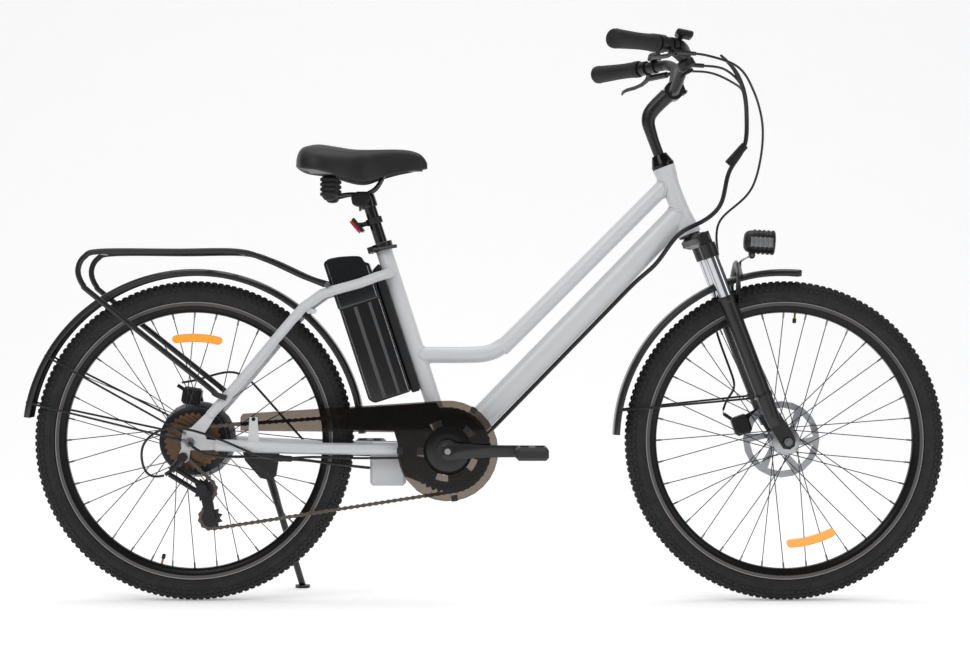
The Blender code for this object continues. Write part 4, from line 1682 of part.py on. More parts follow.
motor_line = [REAR_AXLE + Vector((0.0, -hub_span - 0.0140, 0.0)),
              REAR_AXLE + Vector((0.001, -0.0960, -0.001))]
motor_line += [REAR_AXLE + Vector((0.022, -0.0965, -0.018)), REAR_AXLE + Vector((0.046, -0.0880, -0.0265))]
motor_line += [REAR_AXLE + Vector((0.070, -0.0760, -0.0290)),
               REAR_AXLE + Vector((0.1410, -0.0670, -0.0300)),
               REAR_AXLE + Vector((0.2150, -0.0600, -0.0350))]
motor_line += [REAR_AXLE + Vector((0.3010, -0.0450, -0.0470)),
               REAR_AXLE + Vector((0.3625, -0.0150, -0.0560))]
motor_wire = rod("motor_cable", smoothed(motor_line, 0.050), 0.0030, black_plastic, 6)
plug = rod("plug", [REAR_AXLE + Vector((0.1610, -0.0655, -0.0315)),
                    REAR_AXLE + Vector((0.2090, -0.0605, -0.0348))], 0.0070, black_plastic, 8)
shift_route = [barrel_out + Vector((-0.0020, -0.0002, -0.0014)),
               barrel_out + Vector((-0.030, -0.003, -0.006))]
shift_route += [REAR_AXLE + Vector((-0.0930, -0.0900, -0.0500)),
                REAR_AXLE + Vector((-0.0960, -0.0920, -0.0100)),
                REAR_AXLE + Vector((-0.0640, -0.0940, 0.0240))]
shift_route += [REAR_AXLE + Vector((-0.0140, -0.0940, 0.0300)),
                REAR_AXLE + Vector((0.0410, -0.0910, 0.0150)),
                REAR_AXLE + Vector((0.0910, -0.0860, -0.0050))]
shift_route += [REAR_AXLE + Vector((0.1390, -0.0745, -0.0270)),
                REAR_AXLE + Vector((0.1850, -0.0665, -0.0335))]
shift_route += [REAR_AXLE + Vector((0.2410, -0.0610, -0.0305)),
                REAR_AXLE + Vector((0.3410, -0.0450, -0.0340)),
                BRACKET + Vector((-0.085, -0.0330, -0.0165))]
shift_route += [BRACKET + Vector((-0.050, -0.0240, -0.0200)), BRACKET + Vector((-0.008, -0.0120, -0.0265))]
shift_route += [BRACKET + Vector((0.022, -0.0080, -0.0225)),
                under_tube(tube_reach - 0.030, thin_under, -0.006)]
shift_route += [under_tube(tube_reach - 0.0885, under, -0.004)]
shift_run = rod("shift_run", smoothed(shift_route, 0.060), 0.0025, black_plastic, 6)
motor_cable = joined(motor_wire, plug, shift_run)
motor_cable.name = "motor_cable"

# The fork's parts ride on its slide, and all that turns with the fork hangs on the steering axis
front_wheel_axis = bpy.data.objects["front_wheel_axis"]
headlight_axis = bpy.data.objects["headlight_axis"]
fork_slide = pivot("fork_slide", steer(LEG_TOP), STEER_UP, fork_lowers, front_fender, front_caliper,
                   front_axle,
                   front_wheel_axis, headlight_axis)
lever_axes = []
for side, lever in ((-1, brake_lever_right), (1, brake_lever_left)):
    hinge = lever_out[side].cross(grip_along[side])
    lever_axes.append(pivot(f"{lever.name}_axis", on_bar(side, perch_along[side] + 0.008, 0.0300), hinge,
                            lever))
throttle_axis = pivot("throttle_axis", on_bar(-1, throttle_at), grip_along[-1], throttle)
shift_axis = pivot("shift_lever_axis", lever_foot, case_axis, shift_lever)
pivot("steering_axis", steer(HEAD_TUBE_LOW), STEER_UP, fork_crown, stem, handlebar, grip_right, grip_left,
      brake_perch_right,
      brake_perch_left, shifter, display, bell, fork_slide, throttle_axis, shift_axis, *lever_axes)
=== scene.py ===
"""The looks of a step-through electric bicycle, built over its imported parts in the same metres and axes."""

import math

import bmesh
import bpy
import numpy as np
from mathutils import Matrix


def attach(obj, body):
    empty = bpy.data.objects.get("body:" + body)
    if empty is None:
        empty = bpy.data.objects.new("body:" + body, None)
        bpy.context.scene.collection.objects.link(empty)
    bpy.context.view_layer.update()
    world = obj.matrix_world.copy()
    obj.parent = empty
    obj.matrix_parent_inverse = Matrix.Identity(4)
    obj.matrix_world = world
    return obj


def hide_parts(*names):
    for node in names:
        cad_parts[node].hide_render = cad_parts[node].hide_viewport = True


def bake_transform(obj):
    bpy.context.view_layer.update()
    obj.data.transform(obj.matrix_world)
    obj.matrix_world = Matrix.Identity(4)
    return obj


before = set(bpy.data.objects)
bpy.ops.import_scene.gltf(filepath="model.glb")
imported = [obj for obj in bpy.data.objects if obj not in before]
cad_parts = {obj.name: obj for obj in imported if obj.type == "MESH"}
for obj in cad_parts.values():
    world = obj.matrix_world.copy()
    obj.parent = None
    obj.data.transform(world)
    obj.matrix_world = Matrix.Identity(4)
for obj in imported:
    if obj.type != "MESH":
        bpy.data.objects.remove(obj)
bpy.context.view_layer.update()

# Main frame: welded aluminium tubes in light grey satin lacquer. The head tube is waisted,
# and the long down tube is pressed a little flat. The tubes meet in smooth weld beads.
LEFT = np.array((0.0, 1.0, 0.0))
UP = np.array((0.0, 0.0, 1.0))
AHEAD = np.array((1.0, 0.0, 0.0))
TYRE_RADIUS = 0.33
REAR_AXLE = np.array((-0.601, 0.0, TYRE_RADIUS))
FRONT_AXLE = np.array((0.619, 0.0, TYRE_RADIUS))
BRACKET = np.array((-0.0758, 0.0, 0.312))
HEAD_TILT = math.radians(20.8)
SEAT_TILT = math.radians(18.0)
STEER_UP = np.array((-math.sin(HEAD_TILT), 0.0, math.cos(HEAD_TILT)))
STEER_AHEAD = np.array((math.cos(HEAD_TILT), 0.0, math.sin(HEAD_TILT)))
SEAT_UP = np.array((-math.sin(SEAT_TILT), 0.0, math.cos(SEAT_TILT)))
SEAT_BACK = np.array((-math.cos(SEAT_TILT), 0.0, -math.sin(SEAT_TILT)))
HEAD_LOW = 0.469
HEAD_HIGH = 0.617
SIDES = ((-1, "right"), (1, "left"))


def steer(along, ahead=0.0, left=0.0):
    """A point by the steering axis: up along it, ahead of it and to its left, from 32 mm behind the
    axle."""
    return FRONT_AXLE - 0.032 * STEER_AHEAD + along * STEER_UP + ahead * STEER_AHEAD + left * LEFT


def seat(along, back=0.0, left=0.0):
    """A point by the seat tube: up along it, behind it and to its left, from the bottom bracket."""
    return BRACKET + along * SEAT_UP + back * SEAT_BACK + left * LEFT


def unit(vector):
    """The vector divided by its own length."""
    return vector / np.linalg.norm(vector, axis=-1, keepdims=True)


def full_turn(count):
    """The angles that cut a full turn into this many equal steps."""
    return np.linspace(0, 2 * math.pi, count, endpoint=False)


def side_way(turn):
    """The direction in the bicycle's own plane at an angle up from straight ahead."""
    return np.stack((np.cos(turn), 0 * turn, np.sin(turn)), -1)


def through(points, step):
    """Points a step apart on a curve through the given ones: each span is the cubic whose slope at a given
    point is half the way from the point before it to the point after it."""
    given = np.asarray(points, float)
    given = np.vstack((2 * given[0] - given[1], given, 2 * given[-1] - given[-2]))
    spans = []
    for before, start, stop, after in zip(given, given[1:], given[2:], given[3:]):
        steps = max(1, round(np.linalg.norm(stop - start) / step))
        share = np.linspace(0, 1, steps, endpoint=False)[:, None]
        bend = 2 * before - 5 * start + 4 * stop - after
        twist = 3 * start - before - 3 * stop + after
        spans.append(start + 0.5 * ((stop - before) * share + bend * share**2 + twist * share**3))
    return np.vstack((*spans, given[-2]))


def placed(name, data):
    """The object of this name that puts a mesh, a lamp or a camera in the scene, at the origin."""
    made = bpy.data.objects.new(name, data)
    bpy.context.scene.collection.objects.link(made)
    return made


def meshed(name, points, faces, sharp=35, outward=True):
    """A mesh in the scene, shaded smooth except over edges that bend more than sharp degrees. With outward
    on, points within a micrometre of each other are made one, and the faces are turned outward."""
    mesh = bpy.data.meshes.new(name)
    mesh.from_pydata(np.reshape(points, (-1, 3)).tolist(), [], faces)
    if outward:
        work = bmesh.new()
        work.from_mesh(mesh)
        bmesh.ops.remove_doubles(work, verts=work.verts, dist=1e-6)
        bmesh.ops.recalc_face_normals(work, faces=work.faces)
        work.to_mesh(mesh)
        work.free()
    mesh.shade_smooth()
    mesh.set_sharp_from_angle(angle=math.radians(sharp))
    return placed(name, mesh)


def surface(name, grid, ring=False, sharp=35):
    """The mesh of a grid whose rows are closed loops: each cell is a face, and the end rows are filled, or
    in a ring the last row meets the first. Edges that bend more than sharp degrees stay crisp."""
    rows, count = grid.shape[:2]
    index = np.arange(rows * count).reshape(rows, count)
    after = np.roll(index, -1, axis=1)
    cells = np.stack((index, after, np.roll(after, -1, axis=0), np.roll(index, -1, axis=0)), -1)
    faces = (cells if ring else cells[:-1]).reshape(-1, 4).tolist()
    if not ring:
        faces += [index[0].tolist(), index[-1].tolist()]
    return meshed(name, grid, faces, sharp)


def swept(name, path, radius, sides=20, wide=1.0, across=LEFT, sharp=35):
    """A tube: round each point of the path lies an ellipse, in the plane across the path, whose half axes
    are the radius there and wide times it. The wide axis lies as near as it can to the across direction,
    and is turned to the other side wherever it would point away from the one before it."""
    path = np.asarray(path, float)
    run = unit(np.gradient(path, axis=0))
    first = unit(across - (run @ across)[:, None] * run)
    first[1:] *= np.cumprod(np.sign(np.sum(first[1:] * first[:-1], axis=1)))[:, None]
    second = np.cross(run, first)
    turn = full_turn(sides)
    radius = np.broadcast_to(radius, len(path))[:, None, None]
    wide = np.broadcast_to(wide, len(path))[:, None, None]
    ring = wide * np.cos(turn)[
        None, :, None
    ] * first[:, None] + np.sin(turn)[None, :, None] * second[:, None]
    return surface(name, path[:, None] + radius * ring, sharp=sharp)


def turned(name, profile, at, axis, steps=96, ring=False, sharp=35):
    """A turned piece: each (radius, height) of the profile goes round the axis in a circle. In a ring the
    profile's last point meets its first."""
    profile = np.asarray(profile, float)
    axis = unit(np.asarray(axis, float))
    first = unit(np.cross(axis, (0.31, 0.17, 0.93)))
    second = np.cross(axis, first)
    turn = full_turn(steps)[None, :, None]
    grid = at + profile[:, 1, None, None] * axis + profile[:, 0, None, None] * (
        np.cos(turn) * first + np.sin(turn) * second
    )
    return surface(name, grid, ring, sharp)


def linear(code):
    """An sRGB hex colour as linear RGBA: up to 0.04 a channel is divided by 12.92, above it follows the 2.4
    power."""
    channels = np.array([int(code[i : i + 2], 16) for i in (1, 3, 5)]) / 255
    channels = np.where(channels <= 0.04045, channels / 12.92, ((channels + 0.055) / 1.055) ** 2.4)
    return (*channels.tolist(), 1.0)


def add(tree, kind, inputs=None, **settings):
    """A node of this kind: each input is linked where a socket is given, and set where a value is."""
    made = tree.nodes.new("ShaderNode" + kind)
    for key, value in settings.items():
        setattr(made, key, value)
    for key, value in (inputs or {}).items():
        if isinstance(value, bpy.types.NodeSocket):
            tree.links.new(value, made.inputs[key])
        else:
            made.inputs[key].default_value = value
    return made


def finish(name, shader_inputs):
    """A material with the given inputs on its Principled shader, and its tree, shader and object
    coordinates."""
    made = bpy.data.materials.new(name)
    made.use_nodes = True
    tree = made.node_tree
    shader = tree.nodes["Principled BSDF"]
    for key, value in shader_inputs.items():
        shader.inputs[key].default_value = value
    return made, tree, shader, add(tree, "TexCoord").outputs["Object"]


def ramp(tree, share, low, high):
    """A colour that goes evenly from one hex colour to another as the share goes from 0 to 1."""
    made = add(tree, "ValToRGB", {"Fac": share})
    made.color_ramp.elements[0].color, made.color_ramp.elements[1].color = linear(low), linear(high)
    return made.outputs["Color"]


def dented(tree, shader, height, distance, strength):
    """Dents a finish: a height from 0 to 1 stands for this many metres, at the given strength."""
    bump = add(tree, "Bump", {"Height": height, "Distance": distance, "Strength": strength})
    tree.links.new(bump.outputs["Normal"], shader.inputs["Normal"])


def grained(name, low, high, roughness, metallic, grain, dent, coat=0.0):
    """A finish that drifts between two colours over 40 mm, with a fine grain of this size in metres that
    dents it by this many metres and breaks up its shine."""
    made, tree, shader, place = finish(
        name, {"Metallic": metallic, "Coat Weight": coat, "Coat Roughness": 0.15}
    )
    drift = add(tree, "TexNoise", {"Vector": place, "Scale": 25.0, "Detail": 3.0})
    blend = add(tree, "Mix", {0: drift.outputs["Fac"], 6: linear(low), 7: linear(high)}, data_type="RGBA")
    tree.links.new(blend.outputs[2], shader.inputs["Base Color"])
    fine = add(tree, "TexNoise", {"Vector": place, "Scale": 1 / grain, "Detail": 4.0, "Roughness": 0.6})
    shine = add(
        tree, "MapRange",
        {"Value": fine.outputs["Fac"], "To Min": 0.85 * roughness, "To Max": 1.15 * roughness}
    )
    tree.links.new(shine.outputs["Result"], shader.inputs["Roughness"])
    dented(tree, shader, fine.outputs["Fac"], dent, 1.0)
    return made


def fit(piece, material, body, slot, *nodes):
    """Gives a piece its finish, hangs it on its body, and hides the CAD nodes that it stands for."""
    piece.data.materials.clear()
    piece.data.materials.append(material)
    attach(piece, body)
    if nodes:
        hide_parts(*nodes)
    return piece


def dressed(node, material, sharp=32):
    """A CAD node kept as it is: its facets are welded and shaded smooth, but not over edges of more than
    sharp degrees."""
    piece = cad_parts[node]
    piece.data.materials.clear()
    piece.data.materials.append(material)
    piece.data.shade_smooth()
    weld = piece.modifiers.new("weld", "WELD")
    weld.merge_threshold = 1e-5
    split = piece.modifiers.new("edges", "EDGE_SPLIT")
    split.split_angle = math.radians(sharp)
    return piece


def bead(name, start, way, deep, wide, at, axis, radius):
    """A weld bead where a tube meets another. Points round the tube's oval slide along its way until they
    lie at the other tube's radius from its axis, which is the smaller root of a quadratic, and the bead
    ripples on."""
    way, axis = unit(way), unit(axis)
    turn = full_turn(216)[:, None]
    rim = start + deep * np.cos(turn) * unit(np.cross(LEFT, way)) + wide * np.sin(turn) * LEFT
    off = (rim - at) - ((rim - at) @ axis)[:, None] * axis
    slide = way - (way @ axis) * axis
    square, product = slide @ slide, off @ slide
    root = np.sqrt(np.maximum(product**2 - square * ((off**2).sum(1) - radius**2), 0))
    path = rim + ((-product - root) / square)[:, None] * way
    run = unit(np.roll(path, -1, axis=0) - np.roll(path, 1, axis=0))
    out = path - path.mean(axis=0)
    out = unit(out - (out * run).sum(1, keepdims=True) * run)
    round_it = full_turn(8)[None, :, None]
    size = (0.0022 + 0.0003 * np.cos(54 * turn))[:, None]
    grid = path[:, None] + size * (
        np.cos(round_it) * out[:, None] + np.sin(round_it) * np.cross(run, out)[:, None]
    )
    return surface(name, grid, ring=True, sharp=60)


# Satin lacquer over aluminium: an orange-peel ripple of under a millimetre shows only in its highlights
frame_lacquer = grained("satin_frame_lacquer", "#C6C7C9", "#CCCDCF", 0.33, 0.0, 0.0016, 0.000006, 0.3)
dressed("frame_rear", frame_lacquer)
dressed("controller_box", frame_lacquer)
head_side = [
    (0.0236, HEAD_HIGH), (0.0237, HEAD_HIGH - 0.004), (0.0222, HEAD_HIGH - 0.016),
    (0.0186, HEAD_HIGH - 0.042), (0.0185, HEAD_HIGH - 0.075), (0.0198, HEAD_LOW + 0.045),
    (0.0238, HEAD_LOW + 0.018), (0.026, HEAD_LOW + 0.006)
]
head_side = np.vstack((through(head_side, 0.002), (0.026, HEAD_LOW), (0.018, HEAD_LOW), (0.018, HEAD_HIGH)))
down_high, down_low = steer(HEAD_LOW + 0.046), BRACKET + 0.006 * AHEAD
top_high, top_level = steer(HEAD_HIGH - 0.031), seat(0.205)
corner = np.array((top_high[0] - (top_high[2] - top_level[2]), 0.0, top_level[2]))
slope = unit(top_high - corner)
top_path = [
    top_high, corner + 0.06 * slope, corner + 0.027 * slope - 0.0036 * AHEAD,
    corner - 0.018 * AHEAD + 0.006 * slope, corner - 0.057 * AHEAD, top_level
]
seat_side = [(0.0132, 0.3), (0.0132, 0.449), (0.0166, 0.449), (0.017, 0.4484), (0.017, 0.0), (0.0132, 0.0)]
shell_side = [
    (0.0135, 0.036), (0.0198, 0.036), (0.0205, 0.0353), (0.0205, -0.0353), (0.0198, -0.036),
    (0.0135, -0.036)
]
fit(
    turned("head_tube", head_side, steer(0.0), STEER_UP, 72, ring=True),
    frame_lacquer, "frame", "frame_paint", "frame_front"
)
fit(
    swept("down_tube", np.linspace(down_high, down_low, 40), 0.0259, 48, 0.78),
    frame_lacquer, "frame", "frame_paint"
)
fit(swept("top_tube", through(top_path, 0.006), 0.017, 40), frame_lacquer, "frame", "frame_paint")
fit(turned("seat_tube", seat_side, BRACKET, SEAT_UP, 56, ring=True), frame_lacquer, "frame", "frame_paint")
fit(
    turned("bracket_shell", shell_side, BRACKET, LEFT, 64, ring=True), frame_lacquer, "frame", "frame_paint"
)
welds = {
    "down_tube_head_weld": (down_low, down_high - down_low, 0.0259, 0.0202, steer(0.0), STEER_UP, 0.02),
    "down_tube_shell_weld": (down_high, down_low - down_high, 0.0259, 0.0202, BRACKET, LEFT, 0.0205),
    "top_tube_head_weld": (corner, slope, 0.017, 0.017, steer(0.0), STEER_UP, 0.0212),
    "top_tube_seat_weld": (corner - 0.057 * AHEAD, -AHEAD, 0.017, 0.0168, BRACKET, SEAT_UP, 0.017),
    "seat_tube_shell_weld": (seat(0.2), -SEAT_UP, 0.017, 0.017, BRACKET, LEFT, 0.0205),
}
for name, shape in welds.items():
    fit(bead(name, *shape), frame_lacquer, "frame", "frame_paint")

# Tyres: black 26 by 1.95 inch rubber with a close block tread. The blocks are moulded in staggered rows
# between two ribs, and the smooth side walls carry a thin raised ring.
TREAD_BLOCKS = 150
CASING = 0.3275
BLOCK_RISE = 0.0026
RIM_TOP = 0.2878


def tyre(name, centre):
    """A tyre as a function of two angles. The lean runs over the casing from bead to bead: the reach
    follows its cosine and the width its sine. Staggered square waves along each row lift the rubber by the
    block height."""
    turn = full_turn(8 * TREAD_BLOCKS)[None, :]
    side = np.array((
        (1.0, 0), (0.93, 0), (0.86, 0), (0.82, 0.3), (0.78, 0), (0.68, 0), (0.62, 0), (0.6, 1), (0.5, 1),
        (0.48, 0), (0.44, 0), (0.42, 1), (0.3, 1), (0.28, 0), (0.22, 0), (0.2, 1), (0.07, 1), (0.05, 0),
    ))
    share = np.concatenate((-side[:, 0], side[::-1, 0]))[:, None]
    lift = np.concatenate((side[:, 1], side[::-1, 1]))[:, None]
    lean = share * math.radians(128)
    reach = RIM_TOP + (CASING - RIM_TOP) * np.clip((np.cos(lean) + 0.63) / 1.63, 0, 1)
    width = 0.0248 * np.sign(share) * np.abs(np.sin(lean)) ** 0.92
    phase = turn * TREAD_BLOCKS / (2 * math.pi) + 0.5 * (np.floor(np.abs(share) / 0.21) % 2)
    block = np.where(np.abs(share) < 0.7, np.abs((phase % 1.0) - 0.5) < 0.3, True)
    rise = BLOCK_RISE * lift * block
    out = reach + rise * np.cos(lean)
    across = width + rise * np.sin(lean)
    grid = centre + out[..., None] * side_way(turn) + across[..., None] * LEFT
    bead = grid[[-1, 0]]
    bead[..., 1] = np.array((0.0125, -0.0125))[:, None]
    return surface(name, np.concatenate((grid, bead)), ring=True, sharp=28)


# Vulcanised rubber: near black and matt, a little dusty, with a fine grit
tyre_rubber, tree, shader, place = finish(
    "vulcanised_tyre_rubber", {"Base Color": linear("#202021"), "Roughness": 0.72}
)
grit = add(tree, "TexNoise", {"Vector": place, "Scale": 900.0, "Detail": 3.0})
dust = add(tree, "TexNoise", {"Vector": place, "Scale": 60.0, "Detail": 5.0})
worn = add(
    tree, "MapRange",
    {"Value": dust.outputs["Fac"], "From Min": 0.35, "From Max": 0.7, "To Min": 0.62, "To Max": 0.84}
)
tree.links.new(worn.outputs["Result"], shader.inputs["Roughness"])
shade = ramp(tree, dust.outputs["Fac"], "#141415", "#212122")
tree.links.new(shade, shader.inputs["Base Color"])
dented(tree, shader, grit.outputs["Fac"], 0.0002, 0.8)
fit(tyre("front_tyre_tread", FRONT_AXLE), tyre_rubber, "front_wheel", "tyre_rubber", "front_tyre")
fit(tyre("rear_tyre_tread", REAR_AXLE), tyre_rubber, "rear_wheel", "tyre_rubber", "rear_tyre")

# Rims: a black anodised box section, bent to a hoop and pinned, with a hooked edge either side of the tyre.
# A brass nipple draws each spoke through the inner wall, and the tube's valve stands in between two of
# them.
RIM_INNER = 0.264
SPOKES = 36


def rim(name, centre):
    """The rim's section, from the bead hooks over the side walls to the inner wall, turned round the
    axle."""
    half = [
        (RIM_TOP - 0.0015, 0.0105), (RIM_TOP + 0.001, 0.0112), (RIM_TOP + 0.0012, 0.0132),
        (RIM_TOP - 0.002, 0.0138), (0.279, 0.0136), (0.274, 0.0128), (0.2685, 0.01), (0.2652, 0.006),
        (RIM_INNER, 0.0)
    ]
    profile = half + [(radius, -left) for radius, left in half[-2::-1]]
    return turned(name, profile, centre, LEFT, 180, ring=True, sharp=25)


def radial(turn):
    """The outward direction in the wheel's plane at an angle from straight up, turning forward."""
    return np.stack((np.sin(turn), 0 * turn, np.cos(turn)), -1)


def many(name, starts, stops, radius, sides=8, share=(0.0, 1.0), widths=(1.0, 1.0)):
    """Straight wires as one mesh: from each start to its stop run rings of points across the line, at the
    given shares of its length and multiples of the radius, and a face closes each end."""
    starts, stops = np.atleast_2d(starts), np.atleast_2d(stops)
    run = stops - starts
    way = unit(run)
    first = unit(np.cross(way, (0.13, 0.97, 0.21)))
    second = np.cross(way, first)
    turn = full_turn(sides)
    circle = radius * (np.cos(turn)[:, None] * first[:, None] + np.sin(turn)[:, None] * second[:, None])
    rings = [starts[:, None] + along * run[:, None] + wide * circle for along, wide in zip(share, widths)]
    points = np.stack(rings, 1)
    count, rows = points.shape[:2]
    index = np.arange(count * rows * sides).reshape(count, rows, sides)
    after = np.roll(index, -1, axis=2)
    quads = np.stack((index[:, :-1], after[:, :-1], after[:, 1:], index[:, 1:]), -1).reshape(-1, 4).tolist()
    caps = index[:, 0, ::-1].tolist() + index[:, -1].tolist()
    return meshed(name, points, quads + caps, 40, outward=False)


def lacing(centre, flange_radius, lines, crossings):
    """Where the spokes start and end: half on each flange, leaning forward and back in turn, so that each
    passes over the given number of others on its way to the rim."""
    number = np.arange(SPOKES)
    step = 2 * math.pi / (SPOKES / 2)
    flange = number % 2
    lean = np.where((number // 2) % 2, 1, -1)
    hub_turn = step * (number // 2 + flange / 2)
    rim_turn = hub_turn + lean * crossings * step
    line = np.where(flange, lines[1], lines[0])
    starts = centre + (flange_radius - 0.003) * radial(hub_turn) + (line + 0.0024 * lean)[:, None] * LEFT
    stops = centre + (RIM_INNER + 0.0012) * radial(rim_turn) + (0.06 * line)[:, None] * LEFT
    return starts, stops


# Extruded aluminium, anodised black, with a soft metal sheen
rim_anodised = grained("black_anodised_aluminium", "#111112", "#181819", 0.34, 0.55, 0.0009, 0.00001)
# Drawn stainless wire with a black oxide: thin dark lines with a faint shine
spoke_steel = grained("black_stainless_spokes", "#3C3D40", "#4A4B4E", 0.32, 0.9, 0.004, 0.000005)
# Turned brass, nickel-plated grey
nipple_brass = grained("plated_brass_nipples", "#77787A", "#8C8D8F", 0.3, 1.0, 0.003, 0.000005)
# Bare turned brass, dulled to a warm brown
valve_brass = grained("brass_valve_stems", "#8A6A45", "#9B7A52", 0.35, 1.0, 0.003, 0.000005)
# Moulded rubber, matt and fine-pored
rubber_black = grained("moulded_black_rubber", "#141415", "#1C1C1D", 0.62, 0.0, 0.0007, 0.00006)
for wheel, centre, flange_radius, lines, crossings, valve_turn in (
    ("front", FRONT_AXLE, 0.029, (0.029, -0.029), 3, math.radians(5)),
    ("rear", REAR_AXLE, 0.07, (0.034, -0.022), 1, math.radians(195)),
):
    fit(rim(f"{wheel}_rim_hoop", centre), rim_anodised, f"{wheel}_wheel", "rim_paint", f"{wheel}_rim")
    starts, stops = lacing(centre, flange_radius, lines, crossings)
    way = unit(stops - starts)
    fit(many(f"{wheel}_spokes", starts, stops, 0.001), spoke_steel, f"{wheel}_wheel", "dark_steel")
    fit(
        many(f"{wheel}_nipples", stops - 0.013 * way, stops, 0.002, 8, (0.0, 0.15, 1.0), (0.6, 1.0, 1.0)),
        nipple_brass, f"{wheel}_wheel", "dark_steel"
    )
    out = radial(np.array([valve_turn]))
    foot, tip = centre + 0.266 * out, centre + 0.2475 * out
    fit(
        many(
            f"{wheel}_valve_stem", tip, foot, 0.0027, 16, (0.0, 0.1, 0.3, 0.32, 1.0),
            (0.75, 1.0, 1.0, 0.85, 0.85)
        ),
        valve_brass, f"{wheel}_wheel", "dark_steel"
    )
    fit(
        many(
            f"{wheel}_valve_cap", tip - 0.004 * out, tip + 0.006 * out, 0.004, 16, (0.0, 0.2, 1.0),
            (0.7, 1.0, 1.0)
        ),
        rubber_black, f"{wheel}_wheel", "tyre_rubber"
    )

# Rims' faces: a narrow machined edge shines under the bead on both sides of each rim, and the band below it
# is brushed and darker. Both lie as thin rings on the rim's side walls.

# Aluminium turned bare after anodising: a bright narrow ring
edge_machined = grained("machined_rim_edge", "#9A9896", "#A4A2A0", 0.32, 0.6, 0.0015, 0.00001)
# Aluminium brushed after anodising: darker and duller than the edge
band_brushed = grained("brushed_rim_band", "#5D5A58", "#666361", 0.4, 0.6, 0.0012, 0.00002)
for wheel, centre in (("front", FRONT_AXLE), ("rear", REAR_AXLE)):
    for tag, out, high, low, shade in (
        ("edge", 0.0004, 0.2868, 0.2848, edge_machined), ("band", 0.0002, 0.2846, 0.279, band_brushed)
    ):
        for side, hand in SIDES:
            face = [
                (high, 0.0134 * side), (high, (0.0138 + out) * side), (low, (0.0137 + out) * side),
                (low, 0.0132 * side)
            ]
            fit(
                turned(f"{wheel}_rim_{tag}_{hand}", face, centre, LEFT, 180, ring=True),
                shade, f"{wheel}_wheel", "rim_paint"
            )


# Hubs: the front one is a slim turned barrel between two flanges, on cup and cone bearings. The rear one is
# the motor, a cast black drum with eight screws in its left lid. A reflector sits among the spokes of each
# wheel.
def reflector(name, centre, turn):
    """A curved strip far out among the spokes: an arc of 28 degrees with rounded ends and bevelled
    edges."""
    angle = turn + np.radians(np.linspace(-14, 14, 57))
    end = np.sqrt(np.clip(1 - np.linspace(-1, 1, 57) ** 16, 0.04, 1))
    across = np.array([
        (-1, -1), (-0.8, -1.15), (0.8, -1.15), (1, -1), (1, 1), (0.8, 1.15), (-0.8, 1.15), (-1, 1)
    ])
    half, thick = 0.0085, 0.0095
    reach = 0.2125 + half * end[:, None] * across[None, :, 0]
    line = (thick * across[:, 1] - 0.008)[None, :, None] * LEFT
    grid = centre + reach[..., None] * radial(angle)[:, None] + line
    return surface(name, grid, sharp=30)


# Amber acrylic moulded with 2.4 mm prisms: each cell's bright middle is a painted glint, and the plate has a
# painted glow
orange_prism, tree, shader, place = finish(
    "amber_prismatic_acrylic",
    {
        "Base Color": linear("#DC8208"), "Roughness": 0.16, "Coat Weight": 1.0, "Coat Roughness": 0.03,
        "IOR": 1.49
    }
)
cells = add(
    tree, "TexVoronoi", {"Vector": place, "Scale": 420.0, "Randomness": 0.0}, feature="F1",
    distance="CHEBYCHEV"
)
# Painted glints: each cell is bright in its middle and darker at its edge
lit = ramp(tree, cells.outputs["Distance"], "#FFB238", "#E07E08")
tree.links.new(lit, shader.inputs["Base Color"])
tree.links.new(lit, shader.inputs["Emission Color"])
# Painted glow: the reflector is no lamp, yet it gives out a little light
shader.inputs["Emission Strength"].default_value = 0.22
dented(tree, shader, cells.outputs["Distance"], 0.0006, 0.6)
fit(
    reflector("front_wheel_reflector", FRONT_AXLE, math.radians(165)),
    orange_prism, "front_wheel", "dark_steel"
)
fit(reflector("rear_wheel_reflector", REAR_AXLE, math.radians(2)), orange_prism, "rear_wheel", "dark_steel")

# Turned and polished aluminium, with clear highlights
hub_alloy = grained("polished_aluminium_hub", "#A3A5A8", "#B1B3B6", 0.28, 1.0, 0.002, 0.00001)
barrel = [
    (0.0085, 0.0495), (0.0085, 0.0425), (0.0155, 0.0405), (0.016, 0.0375), (0.0205, 0.0372), (0.021, 0.033),
    (0.028, 0.0318), (0.029, 0.0305), (0.029, 0.0275), (0.0275, 0.0265), (0.0165, 0.0245), (0.0135, 0.018),
    (0.0128, 0.0), (0.0135, -0.018), (0.0165, -0.0245), (0.0275, -0.0265), (0.029, -0.0275),
    (0.029, -0.0305), (0.028, -0.0318), (0.014, -0.0335), (0.012, -0.04), (0.0095, -0.0495),
    (0.006, -0.0495), (0.006, 0.0495)
]
fit(
    turned("front_hub_barrel", barrel, FRONT_AXLE, LEFT, 72, ring=True),
    hub_alloy, "front_wheel", "dark_steel", "front_hub"
)

# Die-cast aluminium under black paint, slightly pebbled
cast_black = grained("black_cast_aluminium", "#131315", "#1A1A1C", 0.42, 0.35, 0.0011, 0.00006)
drum = [
    (0.013, 0.0585), (0.0158, 0.057), (0.016, 0.0535), (0.0235, 0.0532), (0.026, 0.0425), (0.03, 0.0408),
    (0.054, 0.0402), (0.06, 0.0385), (0.0635, 0.037), (0.069, 0.0362), (0.07, 0.0352), (0.07, 0.0322),
    (0.069, 0.0315), (0.0645, 0.03), (0.064, 0.028), (0.064, -0.014), (0.0645, -0.017), (0.069, -0.0195),
    (0.07, -0.0205), (0.07, -0.0235), (0.069, -0.0243), (0.062, -0.0255), (0.032, -0.0262),
    (0.0065, -0.0265), (0.0065, 0.0585)
]
fit(
    turned("motor_drum", drum, REAR_AXLE, LEFT, 96, ring=True),
    cast_black, "rear_wheel", "black_paint", "motor_hub"
)
turn = full_turn(8)
lid = REAR_AXLE + 0.047 * radial(turn) + 0.04 * LEFT
